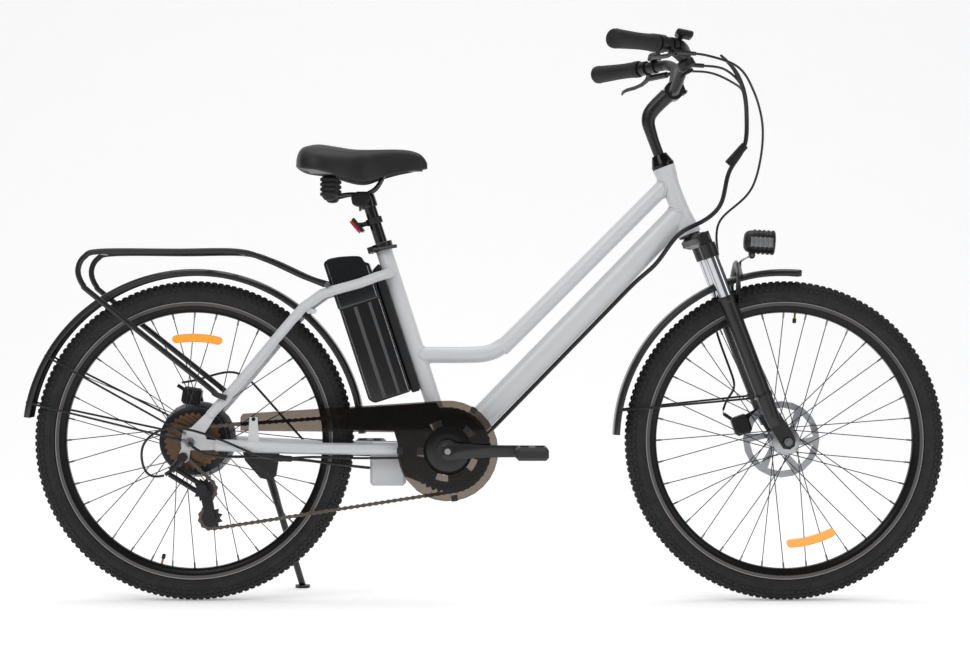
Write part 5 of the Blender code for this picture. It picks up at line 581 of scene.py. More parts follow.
# Zinc-plated steel, bright with a grey cast
screw_steel = grained("zinc_plated_screws", "#7A7B7D", "#8B8C8E", 0.35, 1.0, 0.002, 0.00001)
fit(
    many("motor_lid_screws", lid, lid + 0.0024 * LEFT, 0.0032, 10, (0.0, 0.7, 1.0), (1.0, 1.0, 0.7)),
    screw_steel, "rear_wheel", "dark_steel"
)
for node in ("front_axle", "rear_axle"):
    dressed(node, screw_steel)

# Brake discs: ground stainless steel, pierced and slotted, on six slanted arms bolted to the hubs. The CAD
# nodes are kept, with their facets shaded smooth.

# Ground stainless steel: fine scores stretch and break its highlights
disc_steel, tree, shader, place = finish(
    "ground_stainless_steel",
    {"Base Color": linear("#B4B6B9"), "Metallic": 1.0, "Roughness": 0.3, "Anisotropic": 0.5}
)
lines = add(tree, "TexNoise", {"Vector": place, "Scale": 1400.0, "Detail": 2.0})
scored = add(tree, "MapRange", {"Value": lines.outputs["Fac"], "To Min": 0.2, "To Max": 0.42})
tree.links.new(scored.outputs["Result"], shader.inputs["Roughness"])
dressed("front_rotor", disc_steel)
dressed("rear_rotor", disc_steel)


# Battery: a black extruded aluminium case with a glossy moulded cap over its top third. Down each side, two
# matt grey strips are painted light where grooves catch it, and bright strips on the corners are painted
# highlights.
# The case slides on a rail on the seat tube.
def eased(outline, radius, steps=7):
    """The outline with its corners rounded: each corner becomes a parabola that starts and ends a radius
    away, or 0.45 of the shorter edge away where that is less."""
    corners = np.asarray(outline, float)
    before, after = np.roll(corners, 1, axis=0) - corners, np.roll(corners, -1, axis=0) - corners
    shorter = np.minimum(np.linalg.norm(before, axis=1), np.linalg.norm(after, axis=1))
    reach = np.minimum(radius, 0.45 * shorter)[:, None]
    start, stop = corners + reach * unit(before), corners + reach * unit(after)
    share = np.linspace(0, 1, steps)[None, :, None]
    bend = 2 * share * (1 - share) * corners[:, None]
    return ((1 - share) ** 2 * start[:, None] + bend + share**2 * stop[:, None]).reshape(-1, 2)


def oblong(low, high, near, far, radius, steps=7):
    """A rectangle from low to high one way and from near to far the other way, with its corners rounded."""
    return eased([(low, near), (high, near), (high, far), (low, far)], radius, steps)


def inset(outline, by):
    """The outline moved inwards by this much: each point moves against the mean of its two edges'
    normals."""
    run = unit(np.roll(outline, -1, axis=0) - np.roll(outline, 1, axis=0) + 1e-12)
    turn = np.sign(
        np.sum(outline[:, 0] * np.roll(outline[:, 1], -1) - np.roll(outline[:, 0], -1) * outline[:, 1])
    )
    return outline + by * turn * np.stack((-run[:, 1], run[:, 0]), -1)


def slab(name, outline, half, edge, at, first, second, across, sharp=35):
    """A thick plate: its outline lies in the plane of first and second, and goes across by half either way.
    Near each face it draws in along a quarter circle of the edge's radius."""
    turn = np.linspace(0, math.pi / 2, 5)
    draw = edge * (1 - np.sin(turn))
    reach = half - edge + edge * np.cos(turn)
    steps = [*zip(draw, -reach), *zip(draw[::-1], reach[::-1])]
    loops = [(inset(outline, by), level) for by, level in steps]
    grid = np.stack([
        at + loop[:, :1] * first + loop[:, 1:] * second + level * across for loop, level in loops
    ])
    return surface(name, grid, sharp=sharp)


RAIL_BACK = 0.0356
CASE_BACK = 0.1256
case_outline = [
    (RAIL_BACK, 0.138), (RAIL_BACK, 0.352), (CASE_BACK - 0.002, 0.352), (CASE_BACK - 0.002, 0.148),
    (CASE_BACK - 0.012, 0.138)
]
case_outline = eased(case_outline, 0.006)
cap_outline = [
    (RAIL_BACK, 0.342), (RAIL_BACK, 0.416), (0.044, 0.42), (0.047, 0.434), (0.063, 0.44), (0.09, 0.447)
]
cap_outline = eased(
    [*cap_outline, (CASE_BACK - 0.012, 0.45), (CASE_BACK, 0.444), (CASE_BACK, 0.342)], 0.006
)
# Extruded aluminium, anodised black to a satin shine
case_black = grained("anodised_case_aluminium", "#0F0F11", "#141416", 0.32, 0.25, 0.0008, 0.00002, 0.4)
# Polished moulded plastic, blue-black, with sharp highlights
cap_gloss = grained("glossy_moulded_cap", "#0B1013", "#0F1417", 0.13, 0.0, 0.0011, 0.00001, 0.6)
# Matt grey strips down the case's side: painted light where its grooves catch it
lit_groove_grey = grained("painted_lit_groove_grey", "#444547", "#4C4D4F", 0.55, 0.0, 0.0006, 0.00003)
# Bright metal strips on the case's corners: painted highlights where the corners catch the light
case_edge_highlight = grained("painted_highlight_case_edges", "#A4A6A9", "#B6B8BB", 0.25, 0.9, 0.003, 0.00001)
fit(
    slab("battery_case", case_outline, 0.0365, 0.003, BRACKET, SEAT_BACK, SEAT_UP, LEFT),
    case_black, "battery", "battery_case", "battery"
)
fit(
    slab("battery_cap", cap_outline, 0.0385, 0.0022, BRACKET, SEAT_BACK, SEAT_UP, LEFT),
    cap_gloss, "battery", "battery_case"
)
# The grey strips are painted light on the side's grooves, and the bright strips are painted highlights on its
# corners
strips = {
    "front_lit_groove": (0.06, 0.0034, 0.1415, 0.339, 0.0363, lit_groove_grey),
    "back_lit_groove": (0.0905, 0.004, 0.1415, 0.339, 0.0363, lit_groove_grey),
    "front_edge": (0.0395, 0.0008, 0.141, 0.34, 0.0362, case_edge_highlight),
    "back_edge": (0.1185, 0.0006, 0.15, 0.34, 0.036, case_edge_highlight),
    "cap_front_edge": (0.0415, 0.0008, 0.346, 0.412, 0.0383, case_edge_highlight),
    "cap_back_edge": (0.1195, 0.0006, 0.346, 0.44, 0.038, case_edge_highlight),
}
for side, tag in SIDES:
    for name, (back, half, low, high, line, material) in strips.items():
        strip_run = np.linspace(seat(low, back, side * line), seat(high, back, side * line), 24)
        strip = swept(f"battery_{name}_{tag}", strip_run, 0.0006, 20, half / 0.0006, across=SEAT_BACK)
        fit(strip, material, "battery", "battery_case")
# Powder coat baked on metal: an even black with a soft gloss
black_paint = grained("black_powder_coat", "#0F0F10", "#141415", 0.38, 0.0, 0.001, 0.00001, 0.15)
# Moulded plastic with a fine spark-eroded grain
plastic_black = grained("moulded_black_plastic", "#121213", "#181819", 0.45, 0.0, 0.0007, 0.00003)
# Steel blackened in hot oil, dark with a dull metal shine
steel_dark = grained("blackened_steel", "#2A2A2C", "#343436", 0.36, 0.9, 0.0008, 0.00002)
dressed("battery_rail", plastic_black)

# Saddle: a foam pad under a seamless black vinyl skin, drawn over a moulded shell. The skin is matt, with a
# fine leather grain, and rolls under in a hem that is lowest behind the nose.
POST_TOP = 0.541
SADDLE_LENGTH = 0.27
SADDLE_HALF = 0.1025
SADDLE_RISE = 0.06
saddle_foot = seat(POST_TOP)
saddle_floor = saddle_foot[2] + 0.06
cover_tail = saddle_foot[0] + 0.1237 - SADDLE_LENGTH
SADDLE_ROWS = np.array((
    (0.0, 0.62, 0.69, 0.12), (0.035, 0.76, 0.78, 0.04), (0.09, 0.92, 0.87, -0.01), (0.18, 1.0, 0.92, -0.06),
    (0.3, 0.94, 0.85, -0.19), (0.43, 0.74, 0.765, -0.37), (0.53, 0.5, 0.76, -0.41),
    (0.64, 0.34, 0.775, -0.26),
    (0.76, 0.27, 0.775, -0.11), (0.86, 0.235, 0.735, -0.02), (0.94, 0.2, 0.62, 0.06),
    (1.0, 0.15, 0.43, 0.11),
))


def cushion(name, rows, around=44):
    """The pad as a function of a share of its length and an angle round it. Half width, top and hem run
    smoothly through the rows, and both ends close like a ball. Over the top the section is a superellipse,
    with a power of 2.5, from hem to hem, with a shallow groove along the middle. Below the hem it crosses
    level under the foam."""
    share = 0.5 - 0.5 * np.cos(np.linspace(0.0, math.pi, 61))
    fine = through(rows, 0.01)
    width, top, hem = (np.interp(share, fine[:, 0], fine[:, i]) for i in (1, 2, 3))
    shut = np.sqrt(np.clip(1 - np.clip(1 - share / 0.055, 0, 1) ** 2, 0.0004, 1))
    shut *= np.sqrt(np.clip(1 - np.clip((share - 0.93) / 0.07, 0, 1) ** 2.6, 0.0004, 1))
    half = SADDLE_HALF * width * (0.25 + 0.75 * shut)
    peak = saddle_floor + SADDLE_RISE * (hem + (top - hem) * (0.42 + 0.58 * shut))
    low = np.minimum(saddle_floor + SADDLE_RISE * hem, peak - 0.006)
    floor = np.maximum(low + 0.0015, saddle_floor + 0.0065)
    turn = np.linspace(-math.pi / 2, math.pi / 2, around)[None, :]
    left = np.sign(turn) * np.abs(np.sin(turn)) ** 0.8 * half[:, None]
    rise = low[:, None] + (peak - low)[:, None] * np.cos(turn) ** 0.8
    rise -= 0.0016 * np.exp(-(left**2) / 0.0001) * (np.sin(math.pi * share) ** 2)[:, None]
    across = np.array((0.93, 0.86, 0.45, 0.0, -0.45, -0.86, -0.93))
    under = across * half[:, None]
    below = np.where(np.abs(across) > 0.9, low[:, None] - 0.0008, np.minimum(floor, peak - 0.004)[:, None])
    x = cover_tail + SADDLE_LENGTH * share
    along = np.broadcast_to(x[:, None], (len(x), around + 7))
    grid = np.stack((along, np.hstack((left, under)), np.hstack((rise, below))), -1)
    piece = surface(name, grid, sharp=180)
    smooth = piece.modifiers.new("skin", "SUBSURF")
    smooth.levels = smooth.render_levels = 1
    return piece


# Vinyl embossed with a 2 mm leather grain: matt, with shallow pores
skin, tree, shader, place = finish(
    "matt_leather_grain_vinyl",
    {"Base Color": linear("#161617"), "Roughness": 0.5, "Sheen Weight": 0.04, "Sheen Roughness": 0.4}
)
pores = add(tree, "TexVoronoi", {"Vector": place, "Scale": 520.0}, feature="DISTANCE_TO_EDGE")
tone = add(tree, "TexNoise", {"Vector": place, "Scale": 30.0, "Detail": 3.0})
hue = add(
    tree, "Mix", {0: tone.outputs["Fac"], 6: linear("#131314"), 7: linear("#1A1A1B")}, data_type="RGBA"
)
tree.links.new(hue.outputs[2], shader.inputs["Base Color"])
rub = add(tree, "MapRange", {"Value": tone.outputs["Fac"], "To Min": 0.44, "To Max": 0.58})
tree.links.new(rub.outputs["Result"], shader.inputs["Roughness"])
dented(tree, shader, pores.outputs["Distance"], 0.00012, 0.6)
pad = fit(cushion("saddle_cushion", SADDLE_ROWS), skin, "seat", "saddle_skin", "saddle_cover")
dressed("saddle_base", plastic_black)

# Saddle frame: two bent steel rails run from the nose to the tail and are held by a cast clamp on the post.
# Two ribbed rubber barrels spring the tail.

# Black chrome on steel: dark, with a sharp shine
rail_black = grained("black_chromed_rails", "#141416", "#1C1C1E", 0.2, 0.7, 0.002, 0.00001, 0.3)
# Painted casting with a rough skin
clamp_black = grained("black_cast_clamp", "#121214", "#1A1A1C", 0.42, 0.3, 0.0009, 0.00006)
clamp_at = seat(POST_TOP, 0.012) + 0.006 * UP
rail_z = clamp_at[2] + 0.01
for side, tag in SIDES:
    line = 0.021 * side
    spine = [
        (cover_tail + 0.68 * SADDLE_LENGTH, 0.4 * line, saddle_floor - 0.003),
        (cover_tail + 0.61 * SADDLE_LENGTH, line, rail_z + 0.014),
        (cover_tail + 0.535 * SADDLE_LENGTH, line, rail_z + 0.001), (clamp_at[0], line, rail_z),
        (clamp_at[0] - 0.026, 1.15 * line, rail_z), (cover_tail + 0.075, 0.044 * side, rail_z - 0.006)
    ]
    fit(
        swept(f"saddle_rail_{tag}", through(spine, 0.003), 0.0035, 14),
        rail_black, "seat", "black_paint", "saddle_frame"
    )
    ribs = [(0.004, -0.012), (0.01, -0.0105), (0.0135, -0.006), (0.015, -0.0035)]
    for step in range(4):
        base = -0.003 + 0.01 * step
        ribs += [
            (0.0155, base), (0.0185, base + 0.0012), (0.0192, base + 0.0042), (0.0185, base + 0.0072),
            (0.0155, base + 0.0084)
        ]
    ribs += [(0.012, 0.04), (0.004, 0.0405)]
    barrel_at = np.array((cover_tail + 0.07, 0.044 * side, rail_z - 0.003))
    fit(turned(f"saddle_barrel_{tag}", ribs, barrel_at, UP, 40), rubber_black, "seat", "black_paint")
jaw = eased(
    [
        (-0.019, -0.012), (-0.022, 0.004), (-0.014, 0.013), (0.014, 0.013), (0.02, 0.004), (0.012, -0.012),
        (0.0, -0.017)
    ], 0.004
)
fit(slab("saddle_clamp", jaw, 0.027, 0.003, clamp_at, AHEAD, UP, LEFT), clamp_black, "seat", "black_paint")
for side, tag in SIDES:
    ear = eased([(-0.013, 0.004), (-0.011, 0.015), (0.011, 0.015), (0.013, 0.004)], 0.003)
    fit(
        slab(
            f"saddle_clamp_ear_{tag}", ear, 0.0065, 0.0015, clamp_at + 0.021 * side * LEFT, AHEAD, UP, LEFT
        ),
        clamp_black, "seat", "black_paint"
    )
clamp_bolt = clamp_at - (0.004, 0.0, 0.024)
fit(
    many("saddle_clamp_bolt", clamp_bolt, clamp_bolt + 0.012 * UP, 0.0028, 12),
    screw_steel, "seat", "dark_steel"
)

# Seat post: a black anodised aluminium tube with a wider head under the saddle's clamp. A collar with a
# quick lever holds it in the seat tube.

# Drawn aluminium tube, anodised black: long soft highlights
post_black = grained("black_anodised_post", "#111113", "#171719", 0.24, 0.4, 0.0012, 0.00001, 0.4)
post_side = [
    (0.0004, 0.324), (0.012, 0.324), (0.0127, 0.3248), (0.0127, 0.525), (0.0165, 0.5255), (0.0172, 0.53),
    (0.0172, 0.548), (0.015, 0.554), (0.0004, 0.5545)
]
fit(
    turned("seat_post_tube", post_side, BRACKET, SEAT_UP, 64), post_black, "seat", "black_paint", "seatpost"
)
dressed("seat_collar", black_paint)
dressed("quick_lever", black_paint)

# Rear reflector: a ruby acrylic plate in a moulded black frame. It leans back on a short arm from a ring
# round the seat post.
ring_at = seat(0.4965)
ring_side = [
    (0.0131, -0.0065), (0.0131, 0.0065), (0.0165, 0.0065), (0.017, 0.0058), (0.017, -0.0058),
    (0.0165, -0.0065)
]
fit(
    turned("reflector_ring", ring_side, ring_at, SEAT_UP, 48, ring=True),
    plastic_black, "seat", "reflector_red", "rear_reflector"
)
lean = math.radians(40)
plate_up = np.array((-math.sin(lean), 0.0, math.cos(lean)))
plate_out = np.array((-math.cos(lean), 0.0, -math.sin(lean)))
plate_at = ring_at + 0.035 * SEAT_BACK + 0.002 * UP
arm_path = through(
    [ring_at + 0.015 * SEAT_BACK, ring_at + 0.025 * SEAT_BACK, plate_at - 0.0015 * plate_out], 0.004
)
fit(swept("reflector_arm", arm_path, 0.005, 16, 1.3), plastic_black, "seat", "reflector_red")
plate_shape = oblong(-0.0225, 0.0225, -0.017, 0.017, 0.005)
fit(
    slab("reflector_frame", plate_shape, 0.0035, 0.001, plate_at, LEFT, plate_up, plate_out),
    plastic_black, "seat", "reflector_red"
)
# Ruby acrylic moulded with 2.4 mm prisms: each cell is painted bright in its middle and dark at its edge, as
# painted glints
ruby, tree, shader, place = finish(
    "ruby_prismatic_acrylic",
    {"Base Color": linear("#A8121F"), "Roughness": 0.14, "Coat Weight": 1.0, "Coat Roughness": 0.03}
)
cells = add(
    tree, "TexVoronoi", {"Vector": place, "Scale": 420.0, "Randomness": 0.0}, feature="F1",
    distance="CHEBYCHEV"
)
# Painted glints: bright cell middles and darker cell edges
tree.links.new(ramp(tree, cells.outputs["Distance"], "#D8202C", "#7E0C16"), shader.inputs["Base Color"])
fit(
    slab(
        "reflector_lens", inset(plate_shape, 0.0012), 0.0036, 0.0014, plate_at + 0.006 * plate_out, LEFT,
        plate_up, plate_out
    ),
    ruby, "seat", "reflector_red"
)

# Fork: two hard-chromed steel stanchions slide in cast magnesium legs, which a brace joins over the tyre.
# The crown and the legs are powder-coated black, and the seals' collars stand a little proud.
LEG_LINE = 0.064
LEG_AHEAD = 0.019
# Hard chrome, ground and polished to a mirror
chrome = grained("hard_chromed_stanchions", "#B9BBBE", "#C9CBCE", 0.08, 1.0, 0.004, 0.000003)
dressed("fork_crown", black_paint)
dressed("fork_lowers", black_paint)
for side, tag in SIDES:
    foot = steer(0.0, LEG_AHEAD, side * LEG_LINE)
    tube_side = [(0.01, 0.26), (0.01425, 0.26), (0.01425, 0.437), (0.01, 0.437)]
    fit(turned(f"stanchion_{tag}", tube_side, foot, STEER_UP, 56, ring=True), chrome, "steer", "dark_steel")
    socket_side = [(0.015, 0.408), (0.0168, 0.408), (0.0174, 0.4086), (0.0176, 0.437), (0.015, 0.437)]
    socket = turned(f"crown_socket_{tag}", socket_side, foot, STEER_UP, 48, ring=True)
    fit(socket, black_paint, "steer", "black_paint")
    seal_side = [
        (0.0149, 0.3235), (0.0172, 0.324), (0.018, 0.3228), (0.0184, 0.32), (0.0184, 0.311),
        (0.0176, 0.3085), (0.0149, 0.308)
    ]
    fit(
        turned(f"fork_seal_{tag}", seal_side, foot, STEER_UP, 56, ring=True),
        black_paint, "fork_slide", "black_paint"
    )
    leg_rows = np.array(((0.311, 1.015), (0.3, 1.012), (0.15, 1.012), (0.1, 0.995), (0.06, 0.955)))
    leg_along = np.linspace(0.311, 0.06, 60)
    leg_size = 0.0165 * np.interp(-leg_along, -leg_rows[:, 0], leg_rows[:, 1])
    leg_side = np.vstack((np.stack((leg_size, leg_along), -1), (0.015, 0.06), (0.015, 0.311)))
    fit(
        turned(f"fork_leg_{tag}", leg_side, foot, STEER_UP, 56, ring=True),
        black_paint, "fork_slide", "black_paint"
    )

# Mudguards: pressed steel channels, enamelled black, with their edges turned down. Wire stays brace the
# tails, in front from bands round the fork's legs and at the rear from screws by the axle.
GUARD_RADIUS = 0.3542


def mudguard(name, centre, start, stop):
    """A channel bent round a wheel: its section is crowned, turns down at the sides and is 2.2 mm thick.
    Over five steps at both ends its width narrows to 0.92 of itself, along a quarter circle."""
    half, deep, wall = 0.029, 0.013, 0.0022
    outer = [
        (-half, -deep), (-half, -0.45 * deep), (-0.8 * half, -0.0008), (-0.4 * half, 0.0006), (0.0, 0.001)
    ]
    outer += [(-y, z) for y, z in outer[3::-1]]
    outer = through(outer, 0.0016)
    inner = outer[::-1] * (1 - wall / half, 1.0) - (0.0, wall)
    inner[[0, -1], 1] = -deep
    section = np.vstack((outer, inner))
    turn = np.radians(np.linspace(start, stop, 140))
    end = np.minimum(np.arange(140), np.arange(140)[::-1])
    narrow = 0.92 + 0.08 * np.sqrt(1 - np.clip(1 - end / 5, 0, 1) ** 2)
    reach = (GUARD_RADIUS + section[None, :, 1:]) * side_way(turn)[:, None]
    grid = centre + reach + narrow[:, None, None] * section[None, :, :1] * LEFT
    return surface(name, grid)


def guard_edge(centre, turn, left):
    """A point on a mudguard's edge, at this angle in degrees up from straight ahead."""
    return centre + (GUARD_RADIUS - 0.0091) * side_way(math.radians(turn)) + left * LEFT


# Baked enamel on pressed steel, smooth and half glossy
guard_black = grained("black_enamelled_mudguard", "#161617", "#1C1C1D", 0.34, 0.0, 0.0012, 0.00001, 0.3)
# Steel wire in black zinc, with a thin dull shine
stay_steel = grained("black_zinc_wire_stays", "#2A2A2C", "#38383A", 0.3, 0.8, 0.002, 0.00001)
fit(
    mudguard("front_mudguard", FRONT_AXLE, 84.5, 178.0),
    guard_black, "fork_slide", "black_paint", "front_fender"
)
fit(mudguard("rear_mudguard", REAR_AXLE, 2.5, 172.0), guard_black, "frame", "black_paint", "rear_fender")
for side, tag in SIDES:
    band_side = [(0.016, 0.102), (0.0176, 0.102), (0.0179, 0.1026)]
    band_side += [(radius, 0.214 - along) for radius, along in band_side[::-1]]
    band = turned(
        f"stay_band_{tag}", band_side, steer(0.0, LEG_AHEAD, side * LEG_LINE), STEER_UP, 48, ring=True
    )
    fit(band, plastic_black, "fork_slide", "black_paint")
    band_bolt = steer(0.107, 0.0015, side * LEG_LINE)
    bolt_ends = (band_bolt - 0.006 * side * LEFT, band_bolt + 0.0185 * side * LEFT)
    fit(many(f"stay_bolt_{tag}", *bolt_ends, 0.0032, 16), screw_steel, "fork_slide", "dark_steel")
    foot = steer(0.107, 0.0045, side * LEG_LINE)
    edge = guard_edge(FRONT_AXLE, 169.5, side * 0.0275)
    fit(
        swept(f"front_stay_{tag}", np.linspace(foot, edge, 12), 0.0022, 12),
        stay_steel, "fork_slide", "dark_steel"
    )
    for angle, shift, rise in ((167, -0.012, 0.004), (150, -0.01, 0.019)):
        edge = guard_edge(REAR_AXLE, angle, side * 0.0275)
        foot = REAR_AXLE + (shift, side * 0.0775, rise)
        near = foot + 0.12 * (edge - foot)
        near[1] = side * 0.0775
        fit(
            swept(
                f"rear_stay_{tag}_{angle}", through([foot, near, foot + 0.95 * (edge - foot), edge], 0.01),
                0.0022, 12
            ),
            stay_steel, "frame", "dark_steel"
        )
    nuts = REAR_AXLE + np.array(((-0.012, side * 0.077, 0.004), (-0.01, side * 0.077, 0.019)))
    fit(
        many(f"stay_screws_{tag}", nuts, nuts + 0.004 * side * LEFT, 0.0034, 16),
        screw_steel, "frame", "dark_steel"
    )

# Headlight: a moulded black housing with four raised ribs, and a ribbed grey band down either side whose grey
# is painted light on the lit sides. In front a silvered bowl sits behind a clear lens, and two bent wires and
# a cross bolt carry the lamp.
light_pivot = np.array((0.5527, 0.0, 0.7125))
light_at = light_pivot + (0.012, 0.0, 0.0285)
light_axis = unit(AHEAD - 0.06 * UP)
for side, tag in SIDES:
    wire_path = [steer(0.366, 0.074), steer(0.378, 0.079), light_pivot - (0.012, 0.0, 0.005), light_pivot]
    wire_path = through(np.array(wire_path) + 0.0062 * side * LEFT, 0.004)
    fit(swept(f"headlight_wire_{tag}", wire_path, 0.0017, 14), chrome, "fork_slide", "dark_steel")
light_side = [
    (0.021, 0.0335), (0.0232, 0.0345), (0.025, 0.0335), (0.0256, 0.031), (0.0256, 0.0285), (0.0236, 0.027)
]
for low in (0.0215, 0.012, 0.0025, -0.007):
    light_side += [
        (0.0236, low + 0.0032), (0.0256, low + 0.0022), (0.0256, low - 0.0022), (0.0236, low - 0.0032)
    ]
light_side += [
    (0.023, -0.018), (0.0205, -0.024), (0.015, -0.028), (0.0004, -0.029), (0.0004, -0.02), (0.021, -0.01)
]
fit(
    turned("headlight_housing", light_side, light_at, light_axis, 72, ring=True),
    plastic_black, "headlight", "lamp_plastic", "headlight"
)
# Grey plastic moulded in ribs: its grey is painted light on the lamp's lit sides
lit_side_grey = grained("painted_lit_ribbed_band", "#6C6D6E", "#767778", 0.28, 0.0, 0.002, 0.00002, 0.5)
# Ribbed grey bands down either side: their grey is painted light, and the black housing shows in the grooves
for side, tag in SIDES:
    along = np.linspace(-0.017, 0.029, 85)
    rib = 0.0257 + 0.0014 * np.cos(2 * math.pi * (along - 0.0025) / 0.0095)
    arc = np.radians(np.linspace(-25, 21, 17))
    radii = np.concatenate((np.broadcast_to(rib[:, None], (85, 17)), np.full((85, 17), 0.0246)), axis=1)
    turn = np.concatenate((arc, arc[::-1]))
    radial_way = side * np.cos(turn)[:, None] * LEFT + np.sin(turn)[:, None] * np.cross(light_axis, LEFT)
    grid = light_at + along[:, None, None] * light_axis + radii[..., None] * radial_way[None]
    fit(surface(f"headlight_lit_side_{tag}", grid, sharp=50), lit_side_grey, "headlight", "lamp_plastic")
# Plastic silvered in vacuum: a bright mirror
bowl = grained("silvered_reflector_bowl", "#C6C8CB", "#D2D4D6", 0.07, 1.0, 0.004, 0.000003)
bowl_side = [
    (0.0004, 0.002), (0.005, 0.0025), (0.011, 0.008), (0.0165, 0.017), (0.0205, 0.03), (0.0212, 0.03),
    (0.017, 0.016), (0.0004, 0.0005)
]
fit(
    turned("headlight_bowl", bowl_side, light_at, light_axis, 56, ring=True),
    bowl, "headlight", "lamp_plastic"
)
# Clear polycarbonate with moulded upright flutes
clear_lens, tree, shader, place = finish(
    "clear_polycarbonate_lens",
    {"Base Color": linear("#EEF0F1"), "Roughness": 0.04, "Transmission Weight": 0.92, "IOR": 1.58}
)
flutes = add(tree, "TexWave", {"Vector": place, "Scale": 90.0}, bands_direction="Y")
dented(tree, shader, flutes.outputs["Fac"], 0.0003, 0.6)
lens_side = [
    (0.0004, 0.0345), (0.009, 0.0342), (0.017, 0.0332), (0.0211, 0.0322), (0.0211, 0.0305), (0.0004, 0.0325)
]
fit(
    turned("headlight_lens", lens_side, light_at, light_axis, 56, ring=True),
    clear_lens, "headlight", "lamp_plastic"
)
for side, tag in SIDES:
    lug_shape = oblong(-0.006, 0.006, -0.004, 0.012, 0.004)
    fit(
        slab(
            f"headlight_lug_{tag}", lug_shape, 0.002, 0.0006, light_pivot + 0.0073 * side * LEFT, AHEAD, UP,
            LEFT
        ),
        plastic_black, "headlight", "lamp_plastic"
    )
light_pin = light_pivot - 0.0095 * LEFT
fit(
    many("headlight_bolt", light_pin, light_pin + 0.019 * LEFT, 0.003, 16),
    screw_steel, "headlight", "lamp_plastic"
)

# Brake calipers: cast aluminium bodies and arms, painted black all over. The CAD nodes are kept, with their
# facets shaded smooth.
dressed("front_caliper", cast_black)
dressed("rear_caliper", cast_black)

# Rack: two bent steel rods with a pressed platform welded between them, all powder-coated black. In front
# both rods are pressed flat and bolted to the frame, and their tails come down to the wheel's dropouts.
DECK = 0.719
RACK_HALF = 0.072
loop_near = [
    (-0.327, -0.057, DECK - 0.0665), (-0.372, -0.066, DECK - 0.05), (-0.447, -RACK_HALF, DECK - 0.016),
    (-0.507, -RACK_HALF, DECK), (-0.629, -RACK_HALF, DECK), (-0.781, -RACK_HALF, DECK),
    (-0.816, -RACK_HALF, DECK - 0.011), (-0.829, -RACK_HALF, DECK - 0.038),
    (-0.819, -RACK_HALF, DECK - 0.068), (-0.789, -RACK_HALF, DECK - 0.096), (-0.571, -0.0725, 0.449),
    (-0.549, -0.0815, 0.4295), (-0.525, -0.0849, 0.4205)
]
loop_run = through(loop_near, 0.004)
pressed = np.clip(1 - np.linalg.norm(loop_run - loop_run[0], axis=1) / 0.03, 0, 1)
for side, tag in ((1, "right"), (-1, "left")):
    rod = swept(
        f"rack_rod_{tag}", loop_run * (1, side, 1), 0.0058 * (1 + 0.25 * pressed), 24, 1 - 0.5 * pressed
    )
    fit(rod, black_paint, "frame", "black_paint", *(("rack",) if side > 0 else ()))
    eye = loop_run[0] * (1, side, 1) + (0.004, 0.0, -0.002)
    fit(
        many(f"rack_bolt_{tag}", eye - 0.005 * side * LEFT, eye - 0.0085 * side * LEFT, 0.005, 18),
        screw_steel, "frame", "dark_steel"
    )
tray_level = DECK + 0.0043
for number, (line, half) in enumerate((
    (-0.069, 0.0033), (-0.035, 0.0045), (0.0, 0.0045), (0.035, 0.0045), (0.069, 0.0033)
)):
    plank = oblong(-0.754, -0.559, line - half, line + half, 0.0008, 3)
    fit(
        slab(f"rack_plank_{number + 1}", plank, 0.0015, 0.0005, tray_level * UP, AHEAD, LEFT, UP),
        black_paint, "frame", "black_paint"
    )
for number, (back, front) in enumerate(((-0.754, -0.7385), (-0.5745, -0.559))):
    plank = oblong(back, front, -RACK_HALF, RACK_HALF, 0.0008, 3)
    fit(
        slab(f"rack_end_{number + 1}", plank, 0.0014, 0.0005, tray_level * UP, AHEAD, LEFT, UP),
        black_paint, "frame", "black_paint"
    )
for number, (place_x, level, half) in enumerate((
    (-0.507, DECK, 0.072), (-0.795, DECK, 0.072), (-0.33, DECK - 0.0655, 0.057)
)):
    ends = np.linspace((place_x, -half, level), (place_x, half, level), 30)
    fit(
        swept(f"rack_cross_rod_{number + 1}", ends, 0.0045, 20, across=UP),
        black_paint, "frame", "black_paint"
    )

# Chain: half-inch links of browned steel. Outer and inner plates take turns on the pins, and each pin
# carries a roller. It runs over the ring and the smallest cog, and comes back through the derailleur's two
# pulleys.
LINK = 0.012795
PITCH = 0.0127
RING_RADIUS = 0.08497
PULLEY_RADIUS = 0.02254
COG_RADIUS = 0.02854
OUTER_COG = 0.06
RING_LINE = 0.047
guide_at, tension_at = REAR_AXLE + (0.029, 0.0, -0.098), REAR_AXLE + (0.041, 0.0, -0.155)
chain_wheels = (
    (BRACKET, RING_RADIUS, -1), (tension_at, PULLEY_RADIUS, -1), (guide_at, PULLEY_RADIUS, 1),
    (REAR_AXLE, COG_RADIUS, -1)
)


def tangent(first, second):
    """Where the chain leaves one wheel and meets the next. A wheel that it rounds clockwise counts as
    -1."""
    gap = second[0] - first[0]
    rest = second[1] * second[2] - first[1] * first[2]
    lean = math.atan2(gap[2], gap[0]) + math.acos(rest / np.linalg.norm(gap))
    normal = side_way(lean)
    return first[0] - first[2] * first[1] * normal, second[0] - second[2] * second[1] * normal


